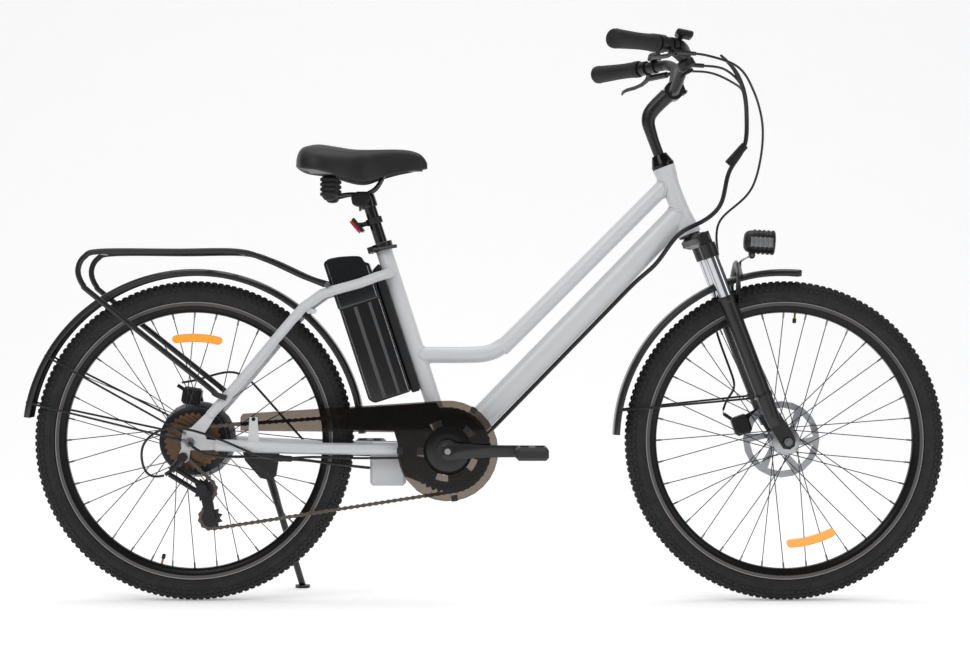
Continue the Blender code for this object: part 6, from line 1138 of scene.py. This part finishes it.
def chain_line():
    """The pins' places: arcs round the wheels and straight runs between them make one closed line, whose
    length is cut into equal links. Between the ring and a cog the line moves over to the cog's own
    plane."""
    runs = [tangent(chain_wheels[i], chain_wheels[(i + 1) % 4]) for i in range(4)]
    points = []
    for i, (centre, radius, way) in enumerate(chain_wheels):
        first, last = runs[i - 1][1] - centre, runs[i][0] - centre
        start = math.atan2(first[2], first[0])
        sweep = way * ((way * (math.atan2(last[2], last[0]) - start)) % (2 * math.pi))
        turn = start + sweep * np.linspace(0, 1, 60)
        line = -RING_LINE if i == 0 else -OUTER_COG
        points.append(centre + radius * side_way(turn) + line * LEFT)
        share = np.linspace(0, 1, 200)[1:-1, None]
        run = runs[i][0] + share * (runs[i][1] - runs[i][0])
        span = np.linalg.norm(runs[i][1] - runs[i][0])
        leave, meet = (3.5, 2.5) if i == 0 else (2.5, 3.5)
        over = np.clip((share[:, 0] * span - leave * LINK) / (span - (leave + meet) * LINK), 0, 1)
        shift = {
            0: -RING_LINE - (OUTER_COG - RING_LINE) * over, 3: -OUTER_COG + (OUTER_COG - RING_LINE) * over
        }
        run[:, 1] = shift.get(i, np.full(198, -OUTER_COG))
        points.append(run)
    line = np.vstack((*points, points[0][:1]))
    flat = line * (1, 0, 1)
    reach = np.concatenate(([0], np.cumsum(np.linalg.norm(np.diff(flat, axis=0), axis=1))))
    at = np.linspace(0, reach[-1], round(reach[-1] / LINK / 2) * 2 + 1)[:-1]
    return np.stack([np.interp(at, reach, line[:, i]) for i in range(3)], -1)


def stamped(name, outline, near, far):
    """Plates in one mesh: outline holds each plate's points, and near and far are its two faces across."""
    count, corners = outline.shape[:2]
    loops = np.stack((outline + near, outline + far), 1)
    index = np.arange(count * 2 * corners).reshape(count, 2, corners)
    walls = np.stack(
        (index[:, 0], np.roll(index[:, 0], -1, -1), np.roll(index[:, 1], -1, -1), index[:, 1]), -1
    )
    return meshed(name, loops, walls.reshape(-1, 4).tolist() + index[:, 0].tolist() + index[:, 1].tolist())


# Browned steel under a film of oil
chain_brown = grained("oiled_brown_chain_steel", "#5A524B", "#6B625A", 0.34, 0.85, 0.0012, 0.00001)
# Rollers polished by tumbling and wear, brighter than the plates
roller_steel = grained("polished_chain_rollers", "#807A73", "#928B84", 0.25, 1.0, 0.002, 0.00001)
pins = chain_line()
ahead_pin = np.roll(pins, -1, axis=0)
link_run = unit((ahead_pin - pins) * (1, 0, 1))
link_out = np.cross(link_run, LEFT)
bone = through(
    [
        (-0.0042, 0.0), (-0.003, 0.003), (0.0, 0.0042), (0.003, 0.0034), (0.0064, 0.0026), (0.0098, 0.0034),
        (0.0128, 0.0042), (0.0158, 0.003), (0.017, 0.0)
    ], 0.0016
)
bone = np.vstack((bone, (bone * (1, -1))[-2:0:-1]))
plates = pins[:, None] + bone[None, :, :1] * link_run[:, None] + bone[None, :, 1:] * link_out[:, None]
for side, tag in ((-1, "near"), (1, "far")):
    fit(
        stamped(f"chain_outer_plates_{tag}", plates[::2], 0.0023 * side * LEFT, 0.0032 * side * LEFT),
        chain_brown, "frame", "chain_steel", *(("chain",) if side < 0 else ())
    )
    fit(
        stamped(f"chain_inner_plates_{tag}", plates[1::2], 0.0012 * side * LEFT, 0.0021 * side * LEFT),
        chain_brown, "frame", "chain_steel"
    )
fit(
    many("chain_rollers", pins - 0.0012 * LEFT, pins + 0.0012 * LEFT, 0.0036, 16),
    roller_steel, "frame", "chain_steel"
)
rivets = np.vstack((pins - 0.0031 * LEFT, pins + 0.0031 * LEFT))
rivet_way = np.repeat((-1.0, 1.0), len(pins))[:, None] * LEFT
fit(
    many("chain_rivets", rivets, rivets + 0.0005 * rivet_way, 0.0016, 12),
    chain_brown, "frame", "chain_steel"
)


# Chainring and cassette: the ring is stamped steel with 42 teeth, five slots and a black finish; the cogs
# keep the bronze colour of their phosphate bath.
def toothed(name, centre, line, teeth, radius, hub, thick):
    """A ring with teeth: the rim's radius rises by 5.8 mm with the 1.4 power of the size of the cosine of
    half the teeth's angle, and the rim is thinner than the web."""
    count = teeth * 12
    turn = full_turn(count)
    wave = np.abs(np.cos(0.5 * teeth * turn)) ** 1.4
    rim = radius - 0.0032 + 0.0058 * wave
    out = side_way(turn)
    web = np.full(count, radius - 0.007)
    bore = np.full(count, hub)
    near = [(bore, thick / 2), (web, thick / 2), (rim, 0.0009)]
    rows = near + [(reach, -across) for reach, across in near[::-1]]
    grid = np.stack([centre + reach[:, None] * out + (line + across) * LEFT for reach, across in rows], 1)
    return surface(name, grid, ring=True, sharp=40)


# Stamped steel, painted gloss black
ring_black = grained("black_stamped_chainring", "#0E0E0F", "#131314", 0.26, 0.3, 0.0012, 0.00001, 0.3)
fit(
    toothed("chainring_teeth", BRACKET, -RING_LINE, 42, RING_RADIUS, 0.064, 0.0034),
    ring_black, "crank", "dark_steel", "chainring"
)
disc_side = [
    (0.0115, -0.001), (0.0505, -0.001), (0.0505, -0.0044), (0.044, -0.0062), (0.03, -0.0068),
    (0.0115, -0.0068)
]
fit(
    turned("chainring_disc", disc_side, BRACKET - 0.045 * LEFT, LEFT, 96, ring=True),
    ring_black, "crank", "dark_steel"
)
bridges = []
for number in range(5):
    middle = math.radians(-66 + 72 * number)
    span = np.linspace(middle - math.radians(24), middle + math.radians(24), 15)
    bridges.append(np.vstack((0.05 * side_way(span), 0.0645 * side_way(span[::-1]))))
bridges = BRACKET + np.array(bridges)
fit(stamped("chainring_bridges", bridges, -0.046 * LEFT, -0.0485 * LEFT), ring_black, "crank", "dark_steel")
bolt_turn = np.radians(-66 + 72 * np.arange(5))
ring_bolts = BRACKET + 0.058 * side_way(bolt_turn) - 0.048 * LEFT
fit(
    many("chainring_bolts", ring_bolts, ring_bolts - 0.0024 * LEFT, 0.0034, 18),
    steel_dark, "crank", "dark_steel"
)
# Hardened steel from the phosphate bath: a dull bronze
cog_bronze = grained("bronze_phosphated_cogs", "#66523F", "#77604A", 0.34, 0.9, 0.0014, 0.00001)
for number, teeth in enumerate((14, 16, 18, 20, 22, 24, 28)):
    cog_radius = PITCH / (2 * math.sin(math.pi / teeth))
    cog = toothed(
        f"cassette_cog_{teeth}", REAR_AXLE, -OUTER_COG + 0.005 * number, teeth, cog_radius,
        max(0.0165, cog_radius - 0.016), 0.0018
    )
    fit(cog, cog_bronze, "cassette", "dark_steel", *(("cassette",) if number == 0 else ()))
core_side = [(0.015, -0.062), (0.0185, -0.062), (0.019, -0.061), (0.019, -0.029), (0.015, -0.029)]
fit(
    turned("cassette_carrier", core_side, REAR_AXLE, LEFT, 64, ring=True),
    steel_dark, "cassette", "dark_steel"
)

# Cranks and pedals: forged arms in satin black, the right one with a bright bolt. The pedals are moulded
# from dark grey nylon.
dressed("crank_right", black_paint)
dressed("crank_left", black_paint)
crank_bolt = BRACKET - 0.085 * LEFT
fit(
    many("crank_bolt", crank_bolt, crank_bolt - 0.0035 * LEFT, 0.0062, 24),
    hub_alloy, "crank", "black_paint"
)
# Moulded nylon with a coarse matt grain
pedal_grey = grained("moulded_pedal_nylon", "#232324", "#2B2B2C", 0.55, 0.0, 0.0008, 0.00008)
dressed("pedal_right", pedal_grey)
dressed("pedal_left", pedal_grey)

# Chain guard: a cover of smoked polycarbonate, clear enough to show the ring. Black clips hold its rim, a
# screw holds its tail, and a black plate lies behind its root, where the guard looks dark.

# Tinted polycarbonate sheet, polished and clear
smoked_look = {"Base Color": linear("#7A7066"), "Roughness": 0.03, "Transmission Weight": 1.0, "IOR": 1.3}
smoked = finish("smoked_polycarbonate", smoked_look)[0]
dressed("chain_guard", smoked)
# A black plate lies behind the smoked face at the guard's root and along its left rim, where the guard looks
# dark
rim_turn, root_turn = np.radians(np.linspace(212, 176, 12)), np.radians(np.linspace(100, 235, 30))
root_arc = (BRACKET + 0.082 * side_way(root_turn))[:, [0, 2]]
rim_arc = (BRACKET + 0.1 * side_way(rim_turn))[:, [0, 2]]
dark_plate = [
    (-0.286, 0.3985), (-0.1, 0.411), (-0.092, 0.399), *root_arc, *rim_arc, (-0.186, 0.3525),
    (-0.286, 0.3545)
]
dark_plate = np.insert(np.array(dark_plate), 1, 0.0, axis=1)
fit(
    stamped("guard_dark_plate", dark_plate[None], -0.0636 * LEFT, -0.063 * LEFT),
    ring_black, "frame", "smoked_plastic"
)
clip = oblong(-0.0105, 0.0015, -0.0065, 0.0065, 0.002)
for number, angle in enumerate((57.6, -82.0, 180.0)):
    out = side_way(math.radians(angle))
    along = np.cross(out, LEFT)
    fit(
        slab(
            f"guard_clip_{number + 1}", clip, 0.007, 0.001, BRACKET + 0.1025 * out - 0.06 * LEFT, out,
            along, LEFT
        ),
        plastic_black, "frame", "smoked_plastic"
    )
cover_bolt = np.array((-0.472, -0.0665, 0.377))
fit(
    many("guard_screw", cover_bolt + 0.003 * LEFT, cover_bolt - 0.002 * LEFT, 0.0042, 18),
    steel_dark, "frame", "smoked_plastic"
)

# Derailleur: pressed arms in dark grey paint, with two black toothed pulleys that the chain runs over. The
# CAD nodes are kept, with their facets shaded smooth.

# Pressed arms in dark grey paint, half glossy
derailleur_grey = grained("dark_derailleur_arms", "#1E1E20", "#29292B", 0.32, 0.5, 0.001, 0.00002)
dressed("derailleur", derailleur_grey)
dressed("pulley_upper", plastic_black)
dressed("pulley_lower", plastic_black)

# Stem and handlebar: a forged aluminium quill stem swept forward to the bar's clamp, and a bent aluminium
# bar, both powder-coated black with a soft gloss. The upper headset cap is turned and black chromed.
CAP_HIGH = 0.6445
clamp_centre = steer(0.757, 0.0745)
stem_rows = through((
    (-0.055, 0.0, 0.0, 0.0111, 0.0111), (0.02, 0.0, 0.0, 0.0111, 0.0111),
    (0.05, 0.001, 0.04, 0.0122, 0.0118),
    (0.072, 0.004, 0.22, 0.014, 0.0125), (0.088, 0.016, 0.65, 0.016, 0.013),
    (0.1, 0.038, 0.98, 0.016, 0.014),
    (0.11, 0.062, 1.02, 0.0165, 0.0165),
), 0.05)
stem_rows = through(stem_rows, 0.004)
stem_turn = full_turn(40)[None, :, None]
height, ahead, lean, depth, width = (stem_rows[:, i, None] for i in range(5))
stem_middle = steer(0.0) + (CAP_HIGH + height) * STEER_UP + ahead * STEER_AHEAD
stem_deep = depth * (np.cos(lean) * STEER_AHEAD - np.sin(lean) * STEER_UP)
stem_wide = width * LEFT
stem_grid = np.cos(stem_turn) * stem_deep[:, None] + np.sin(stem_turn) * stem_wide[:, None]
stem_grid = stem_middle[:, None] + stem_grid
fit(surface("stem_neck", stem_grid), black_paint, "steer", "black_paint", "stem")
barrel_side = [
    (0.0128, -0.022), (0.0186, -0.022), (0.0196, -0.021), (0.0196, 0.021), (0.0186, 0.022), (0.0128, 0.022)
]
fit(
    turned("stem_clamp", barrel_side, clamp_centre, LEFT, 64, ring=True),
    black_paint, "steer", "black_paint"
)
clamp_face = clamp_centre + 0.019 * STEER_AHEAD
cheek = oblong(-0.015, 0.015, -0.006, 0.005, 0.004)
fit(
    slab(
        "stem_faceplate", cheek, 0.019, 0.002, clamp_face - 0.001 * STEER_AHEAD, STEER_UP, STEER_AHEAD, LEFT
    ),
    black_paint, "steer", "black_paint"
)
bolt_side = np.array((-1, -1, 1, 1))[:, None] * 0.0125 * LEFT
bolt_lift = np.array((-1, 1, -1, 1))[:, None] * 0.0105 * STEER_UP
bolts = clamp_face + 0.0035 * STEER_AHEAD + bolt_side + bolt_lift
fit(
    many("faceplate_bolts", bolts, bolts + 0.0032 * STEER_AHEAD, 0.0031, 12),
    screw_steel, "steer", "dark_steel"
)
cap_side = through(
    [
        (0.0238, 0.618), (0.024, 0.6235), (0.0226, 0.6262), (0.0196, 0.6345), (0.0168, 0.642),
        (0.0158, 0.6445)
    ], 0.0006
)
cap_side = np.vstack(((0.0125, 0.6175), (0.023, 0.6175), cap_side, (0.0125, 0.6445)))
fit(
    turned("upper_headset_cap", cap_side, steer(0.0), STEER_UP, 72, ring=True),
    rail_black, "frame", "black_paint", "headset_cap"
)

grip_start = {side: clamp_centre + np.array((-0.053, 0.209 * side, 0.072)) for side in (-1, 1)}
grip_along = {side: unit(np.array((-0.7143, 0.6995 * side, -0.02))) for side in (-1, 1)}
bar_half = [
    clamp_centre, clamp_centre + np.array((0.0, 0.036, 0.0)), clamp_centre + np.array((0.01, 0.08, 0.0322)),
    clamp_centre + np.array((0.014, 0.118, 0.0602)), grip_start[1] - 0.075 * grip_along[1],
    grip_start[1] - 0.04 * grip_along[1]
]
bar_half = np.array([*bar_half, grip_start[1] + 0.124 * grip_along[1]])
bar_path = np.vstack((bar_half[:0:-1] * (1, -1, 1), bar_half))
fit(
    swept("handlebar_tube", through(bar_path, 0.004), 0.0111, 32, across=UP),
    black_paint, "steer", "black_paint", "handlebar"
)
sleeve_side = [
    (0.0105, -0.029), (0.0122, -0.029), (0.0127, -0.0282), (0.0127, 0.0282), (0.0122, 0.029),
    (0.0105, 0.029)
]
fit(
    turned("handlebar_sleeve", sleeve_side, clamp_centre, LEFT, 48, ring=True),
    black_paint, "steer", "black_paint"
)


# Grips: soft moulded rubber, pushed over the ends of the bar. They are wider at the palm, with ring ribs at
# both ends and fine grooves under the fingers.
def grip(name, side):
    """A grip as a function of its share and an angle: the two half axes run smoothly through a few rows,
    end rings stand 0.7 mm proud, and round the middle shallow grooves follow a cosine every 3.2 mm."""
    rows = (
        (0.0, 1.0, 1.0), (0.05, 1.05, 1.05), (0.35, 1.0, 1.02), (0.62, 1.06, 1.14), (0.84, 1.13, 1.28),
        (0.95, 1.09, 1.2), (1.0, 0.9, 0.96)
    )
    share = np.linspace(0.0, 1.0, 161)
    fine = through(rows, 0.01)
    tall, wide = np.interp(share, fine[:, 0], fine[:, 1]), np.interp(share, fine[:, 0], fine[:, 2])
    ring_at = np.array(((0.035, 0.022), (0.095, 0.014), (0.9, 0.012), (0.945, 0.012)))
    rings = (np.abs(share[:, None] - ring_at[:, 0]) < ring_at[:, 1]).any(axis=1)
    wave = 0.5 + 0.5 * np.cos(2 * math.pi * share * 0.13 / 0.0032)
    groove = 0.0003 * wave * ((share > 0.14) & (share < 0.86))
    shut = np.sqrt(np.clip(1 - np.clip((share - 0.972) / 0.028, 0, 1) ** 2.2, 0.02, 1))
    size = (0.0166 + 0.0007 * rings - groove) * shut
    size[0] = 0.012
    flat = unit(np.cross(UP, grip_along[side]))
    upright = unit(np.cross(grip_along[side], flat))
    turn = full_turn(40)[None, :, None]
    middle = grip_start[side] + 0.13 * share[:, None] * grip_along[side]
    ring = (size * tall)[:, None, None] * np.cos(turn) * upright
    ring = ring + (size * wide)[:, None, None] * np.sin(turn) * flat
    grid = middle[:, None] + ring
    return surface(name, grid, sharp=50)


# Soft rubber, dark and matt, with a fine pebble from the mould
grip_rubber = grained("soft_moulded_grip_rubber", "#141415", "#1B1B1C", 0.6, 0.0, 0.0006, 0.00005)
fit(grip("grip_right_rubber", -1), grip_rubber, "steer", "grip_rubber", "grip_right")
fit(grip("grip_left_rubber", 1), grip_rubber, "steer", "grip_rubber", "grip_left")

# Controls: cast brake perches and levers in black paint, and moulded plastic throttle, shifter and display.
# A small black bell stands with them on the bar.
for node in ("brake_perch_right", "brake_perch_left", "brake_lever_right", "brake_lever_left"):
    dressed(node, black_paint)
for node in ("throttle", "shifter", "shift_lever", "display"):
    dressed(node, plastic_black)
dressed("bell", black_paint)


# Cables: brake and shift housings of black PVC over a steel coil. Ahead of the stem they bow out in loops,
# a sleeve gathers them, and the bundle goes round the head tube and on under the down tube to the rear.
def under_tube(along, below, left=0.0):
    """A point under the down tube: along it from the head, below its axis and to its left."""
    run = unit(down_low - down_high)
    return down_high + along * run + below * np.array((-run[2], 0.0, run[0])) + left * LEFT


def housing(name, points, radius, sides=16, start=1.0):
    """A round cable through the points. Each point of its line is drawn half way to the mean of its two
    neighbours, 25 times over, so that no bend is tight, and it may start thinner than it goes on."""
    eased_path = through(through(points, 0.03), 0.004)
    for _ in range(25):
        eased_path[1:-1] = (eased_path[:-2] + 2 * eased_path[1:-1] + eased_path[2:]) / 4
    swell = 1 - (1 - start) * np.clip(1 - np.arange(len(eased_path)) / 16, 0, 1)
    return swept(name, eased_path, radius * swell, sides, across=np.array((0.1, 0.2, 0.97)))


# PVC drawn over a steel coil: black, with a narrow shine along the cable
housing_pvc = grained("black_cable_housing", "#0F0F10", "#161617", 0.33, 0.0, 0.0009, 0.00001)
# Plastic ribbon wound in a spiral: matt and ridged
wrap_black = grained("spiral_wrap_sleeve", "#101011", "#171718", 0.5, 0.0, 0.0016, 0.00008)
shift_exit = np.array((0.4385, -0.1363, 1.089))
spout_run = unit(np.array((0.9632, 0.2676, -0.0268)))
perch_exit = {-1: np.array((0.4193, -0.156, 1.1106)), 1: np.array((0.4065, 0.1686, 1.1102))}
perch_run = {side: unit(np.array((0.6859, -0.7258 * side, 0.0515))) for side in (-1, 1)}
loops = clamp_centre + np.array((
    (0.0851, -0.12, 0.0592), (0.1181, -0.085, 0.0332), (0.1411, -0.056, -0.0108), (0.1471, -0.04, -0.0638),
    (0.1436, -0.034, -0.1198)
))
bundle_path = [
    *loops, steer(0.56, 0.118, -0.033), steer(0.502, 0.08, -0.036), steer(0.4825, 0.03, -0.0385),
    steer(0.478, -0.022, -0.039), under_tube(0.115, 0.0354, -0.022), under_tube(0.165, 0.0314),
    under_tube(0.3, 0.0314), under_tube(0.592, 0.0314)
]
shift_path = [
    shift_exit, shift_exit + 0.02 * spout_run, loops[1] - (0.018, 0.01, 0.001),
    loops[2] - (0.004, 0.003, -0.012), loops[3]
]
left_path = [
    perch_exit[1], perch_exit[1] + 0.03 * perch_run[1], clamp_centre + (0.0851, 0.07, 0.0472),
    clamp_centre + (0.1251, 0.0, 0.0172), loops[2] + (0.0, 0.004, 0.0), loops[3]
]
sleeve_run = np.linspace(loops[4] + (0.0005, -0.0005, 0.005), steer(0.575, 0.1225, -0.0332), 60)
sleeve_size = 0.0082 + 0.0005 * np.cos(2.1 * np.arange(60))
crossing = {
    "cable_bundle_loop": housing("cable_bundle_loop", bundle_path, 0.0046, start=0.55),
    "shift_housing": housing("shift_housing", shift_path, 0.0025),
    "left_brake_housing": housing("left_brake_housing", left_path, 0.0025),
    "cable_sleeve": swept("cable_sleeve", sleeve_run, sleeve_size, 24, across=STEER_AHEAD),
}
for name, piece in crossing.items():
    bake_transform(piece)
    piece.data.materials.append(wrap_black if name == "cable_sleeve" else housing_pvc)
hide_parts("cable_bundle")

arm_end = FRONT_AXLE + np.array((-0.117, 0.0665, 0.052))
pull = arm_end + (-0.001, 0.0, 0.008)
front_loop = clamp_centre + np.array((
    (0.1181, -0.128, 0.0372), (0.1521, -0.09, -0.0028), (0.1731, -0.04, -0.0378),
    (0.1846, -0.008, -0.0778), (0.1831, 0.014, -0.1378), (0.1621, 0.032, -0.2078),
))
front_fall = np.array((
    (0.47, 0.07, 0.048), (0.405, 0.048, 0.062), (0.365, 0.03, 0.088), (0.325, 0.013, 0.09),
    (0.27, -0.008, 0.085), (0.2, -0.012, 0.078), (0.13, -0.016, 0.072),
))
front_fall = [steer(*place) for place in front_fall]
front_path = [
    perch_exit[-1], perch_exit[-1] + 0.024 * perch_run[-1], *front_loop, *front_fall,
    arm_end + (0.006, 0.001, 0.032), pull
]
front_housing = housing("front_brake_housing", front_path, 0.0025)
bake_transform(front_housing)
front_housing.data.materials.append(housing_pvc)
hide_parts("front_brake_cable")
fit(
    many("front_brake_wire", pull, pull - (0.0, 0.0, 0.0085), 0.0009, 10),
    spoke_steel, "fork_slide", "cable_rubber"
)

by_bracket = np.array((
    (0.022, 0.008, -0.0225), (-0.008, 0.012, -0.0265), (-0.05, 0.024, -0.02), (-0.085, 0.035, -0.0165)
))
rear_path = REAR_AXLE + np.array((
    (0.351, 0.048, -0.0335), (0.261, 0.064, -0.029), (0.229, 0.0735, -0.014), (0.201, 0.079, 0.015),
    (0.104, 0.083, 0.1235), (0.085, 0.085, 0.136), (0.061, 0.086, 0.141), (0.026, 0.085, 0.133),
    (-0.009, 0.084, 0.122), (-0.039, 0.0826, 0.1175),
))
rear_path = [
    under_tube(0.593, 0.0314, 0.004), under_tube(0.652, 0.0279, 0.006), *(BRACKET + by_bracket), *rear_path
]
fit(
    housing("rear_brake_housing", rear_path, 0.0025),
    housing_pvc, "frame", "cable_rubber", "rear_brake_cable"
)
motor_path = REAR_AXLE + np.array((
    (0.0, -0.089, 0.0), (0.001, -0.096, -0.001), (0.022, -0.0965, -0.018), (0.046, -0.088, -0.0265),
    (0.07, -0.076, -0.029), (0.141, -0.067, -0.03), (0.215, -0.06, -0.035), (0.301, -0.045, -0.047),
    (0.3625, -0.015, -0.056),
))
fit(housing("motor_wire", motor_path, 0.003), housing_pvc, "frame", "cable_rubber", "motor_cable")
plug_ends = (REAR_AXLE + (0.161, -0.0655, -0.0315), REAR_AXLE + (0.209, -0.0605, -0.0348))
plug_share = (0, 0.12, 0.2, 0.55, 0.58, 0.92, 1)
plug_radius = (0.0035, 0.006, 0.007, 0.007, 0.0062, 0.0062, 0.0035)
plug_size = np.interp(np.linspace(0, 1, 40), plug_share, plug_radius)
fit(swept("motor_plug", np.linspace(*plug_ends, 40), plug_size, 24), rubber_black, "frame", "cable_rubber")
shift_rear = REAR_AXLE + np.array((
    (-0.05, -0.087, -0.0664), (-0.078, -0.0898, -0.071), (-0.093, -0.09, -0.05), (-0.096, -0.092, -0.01),
    (-0.064, -0.094, 0.024), (-0.014, -0.094, 0.03), (0.041, -0.091, 0.015), (0.091, -0.086, -0.005),
    (0.139, -0.0745, -0.027), (0.185, -0.0665, -0.0335), (0.241, -0.061, -0.0305), (0.341, -0.045, -0.034),
))
shift_bracket = np.array(((-0.085, -0.033, -0.0165), *(by_bracket[2::-1] * (1, -1, 1))))
shift_end = [under_tube(0.652, 0.0279, -0.006), under_tube(0.593, 0.0314, -0.004)]
shift_rear = [*shift_rear, *(BRACKET + shift_bracket), *shift_end]
fit(housing("rear_shift_housing", shift_rear, 0.0025), housing_pvc, "frame", "cable_rubber")

# Kickstand: a cast aluminium leg with a round foot, powder-coated black. It folds on a slanted pin, in a
# bracket below the left chain stay.
dressed("kickstand_leg", black_paint)
stand_top, stand_end = np.array((-0.458, 0.077, 0.262)), np.array((-0.395, 0.2, 0.004))
stand_run = stand_top + np.linspace(0.06, 1.0, 60)[:, None] * (stand_end - stand_top)
stand_size = np.interp(np.linspace(0.06, 1.0, 60), (0.06, 0.2, 0.3, 1.0), (0.0085, 0.0085, 0.0072, 0.007))
fit(swept("kickstand_tube", stand_run, stand_size, 32), black_paint, "kickstand", "black_paint")
plate_shape = [
    (-0.0562, 0.062), (0.0302, 0.062), (0.0194, -0.0104), (0.0062, -0.0194), (-0.0144, -0.0144),
    (-0.0464, 0.0222)
]
stand_pivot = np.array((REAR_AXLE[0] + 0.143, 0.0, REAR_AXLE[2] - 0.068))
plate_shape = stand_pivot + np.array([(x, 0.0, z) for x, z in plate_shape])[None]
fit(
    stamped("kickstand_bracket", plate_shape, 0.0602 * LEFT, 0.0668 * LEFT),
    black_paint, "frame", "frame_paint"
)


# Stage: a plain pale sheet curves up behind the bicycle. It is white to the camera except where the bicycle
# shades it, and the soft light comes from above, from the front and from one side.
def backdrop(name, front, bend, back, high, half):
    """A sheet whose profile runs level to the bend, then up a quarter circle to a wall: rows of points
    across."""
    turn = np.linspace(0, math.pi / 2, 24)
    radius = back - bend
    curve = np.stack((bend + radius * np.sin(turn), radius * (1 - np.cos(turn)) - 0.0004), -1)
    profile = np.vstack(((front, -0.0004), curve, (back, high)))
    across = np.array((half, -half))
    grid = np.stack(np.broadcast_arrays(across[None], profile[:, :1], profile[:, 1:]), -1)
    rows = len(profile)
    index = np.arange(rows * 2).reshape(rows, 2)
    faces = np.stack((index[:-1, 0], index[1:, 0], index[1:, 1], index[:-1, 1]), -1).tolist()
    return meshed(name, grid, faces, outward=False)


paper = backdrop("backdrop", -7.0, 3.0, 6.0, 7.0, 9.0)
# Matt white paper, evened out to the camera and in mirrors only, and clear from behind so that it hides
# nothing
paper_white = {
    "Base Color": (0.9, 0.9, 0.9, 1.0), "Roughness": 1.0, "Specular IOR Level": 0.0,
    "Emission Color": (1.0, 1.0, 1.0, 1.0)
}
pale_paper, tree, shader, place = finish("matt_white_paper", paper_white)
ray = add(tree, "LightPath")
seen = add(
    tree, "Math", {0: ray.outputs["Is Camera Ray"], 1: ray.outputs["Is Transmission Ray"]},
    operation="MAXIMUM"
)
seen = add(tree, "Math", {0: seen.outputs[0], 1: ray.outputs["Is Glossy Ray"]}, operation="MAXIMUM")
glow = add(tree, "Math", {0: seen.outputs[0], 1: 0.25}, operation="MULTIPLY")
tree.links.new(glow.outputs[0], shader.inputs["Emission Strength"])
clear = add(tree, "BsdfTransparent")
faced = add(
    tree, "MixShader",
    {0: add(tree, "NewGeometry").outputs["Backfacing"], 1: shader.outputs[0], 2: clear.outputs[0]}
)
tree.links.new(faced.outputs[0], tree.nodes["Material Output"].inputs["Surface"])
paper.data.materials.append(pale_paper)

# Soft sky: white behind the paper, a pale even light on the bicycle, and dim in its mirrors
world = bpy.data.worlds.new("soft_sky")
bpy.context.scene.world = world
world.use_nodes = True
sky = world.node_tree
ray = add(sky, "LightPath")
direct = add(
    sky, "Math", {0: ray.outputs["Is Camera Ray"], 1: ray.outputs["Is Transmission Ray"]},
    operation="MAXIMUM"
)
mirrored = add(
    sky, "Mix", {0: ray.outputs["Is Glossy Ray"], 6: (0.68, 0.68, 0.69, 1.0), 7: (0.15, 0.15, 0.155, 1.0)},
    data_type="RGBA"
)
tint = add(
    sky, "Mix", {0: direct.outputs[0], 6: mirrored.outputs[2], 7: (1.0, 1.0, 1.0, 1.0)}, data_type="RGBA"
)
sky.links.new(tint.outputs[2], sky.nodes["Background"].inputs["Color"])


def softbox(name, at, aim, size, power):
    """A rectangular lamp at a place, turned to face its aim."""
    lamp = bpy.data.lights.new(name, "AREA")
    lamp.shape = "RECTANGLE"
    lamp.size, lamp.size_y = size
    lamp.energy = power
    made = placed(name, lamp)
    made.location = at
    way = np.asarray(aim, float) - np.asarray(at, float)
    flat = math.hypot(way[0], way[1])
    made.rotation_euler = (math.atan2(flat, -way[2]), 0.0, math.atan2(-way[0], way[1]))


softbox("key_light", (-1.9, -3.0, 3.4), (0.0, 0.0, 0.5), (2.2, 2.2), 44.0)
softbox("side_light", (3.2, -2.4, 1.9), (0.0, 0.0, 0.5), (1.2, 2.6), 18.0)
softbox("top_light", (0.0, 0.5, 3.9), (0.0, 0.0, 0.4), (3.6, 1.8), 46.0)

# Camera: square to the bicycle's side, level with its middle and 4.3 m away from it, so that both wheels
# look round, as in the photograph.
lens = bpy.data.cameras.new("camera")
lens.lens = 77.04
lens.sensor_width = 36.0
camera = placed("camera", lens)
camera.location = (0.0, -4.3, 0.572)
camera.rotation_euler = (math.pi / 2, 0.0, 0.0)
bpy.context.scene.camera = camera
bpy.context.scene.view_settings.view_transform = "Standard"
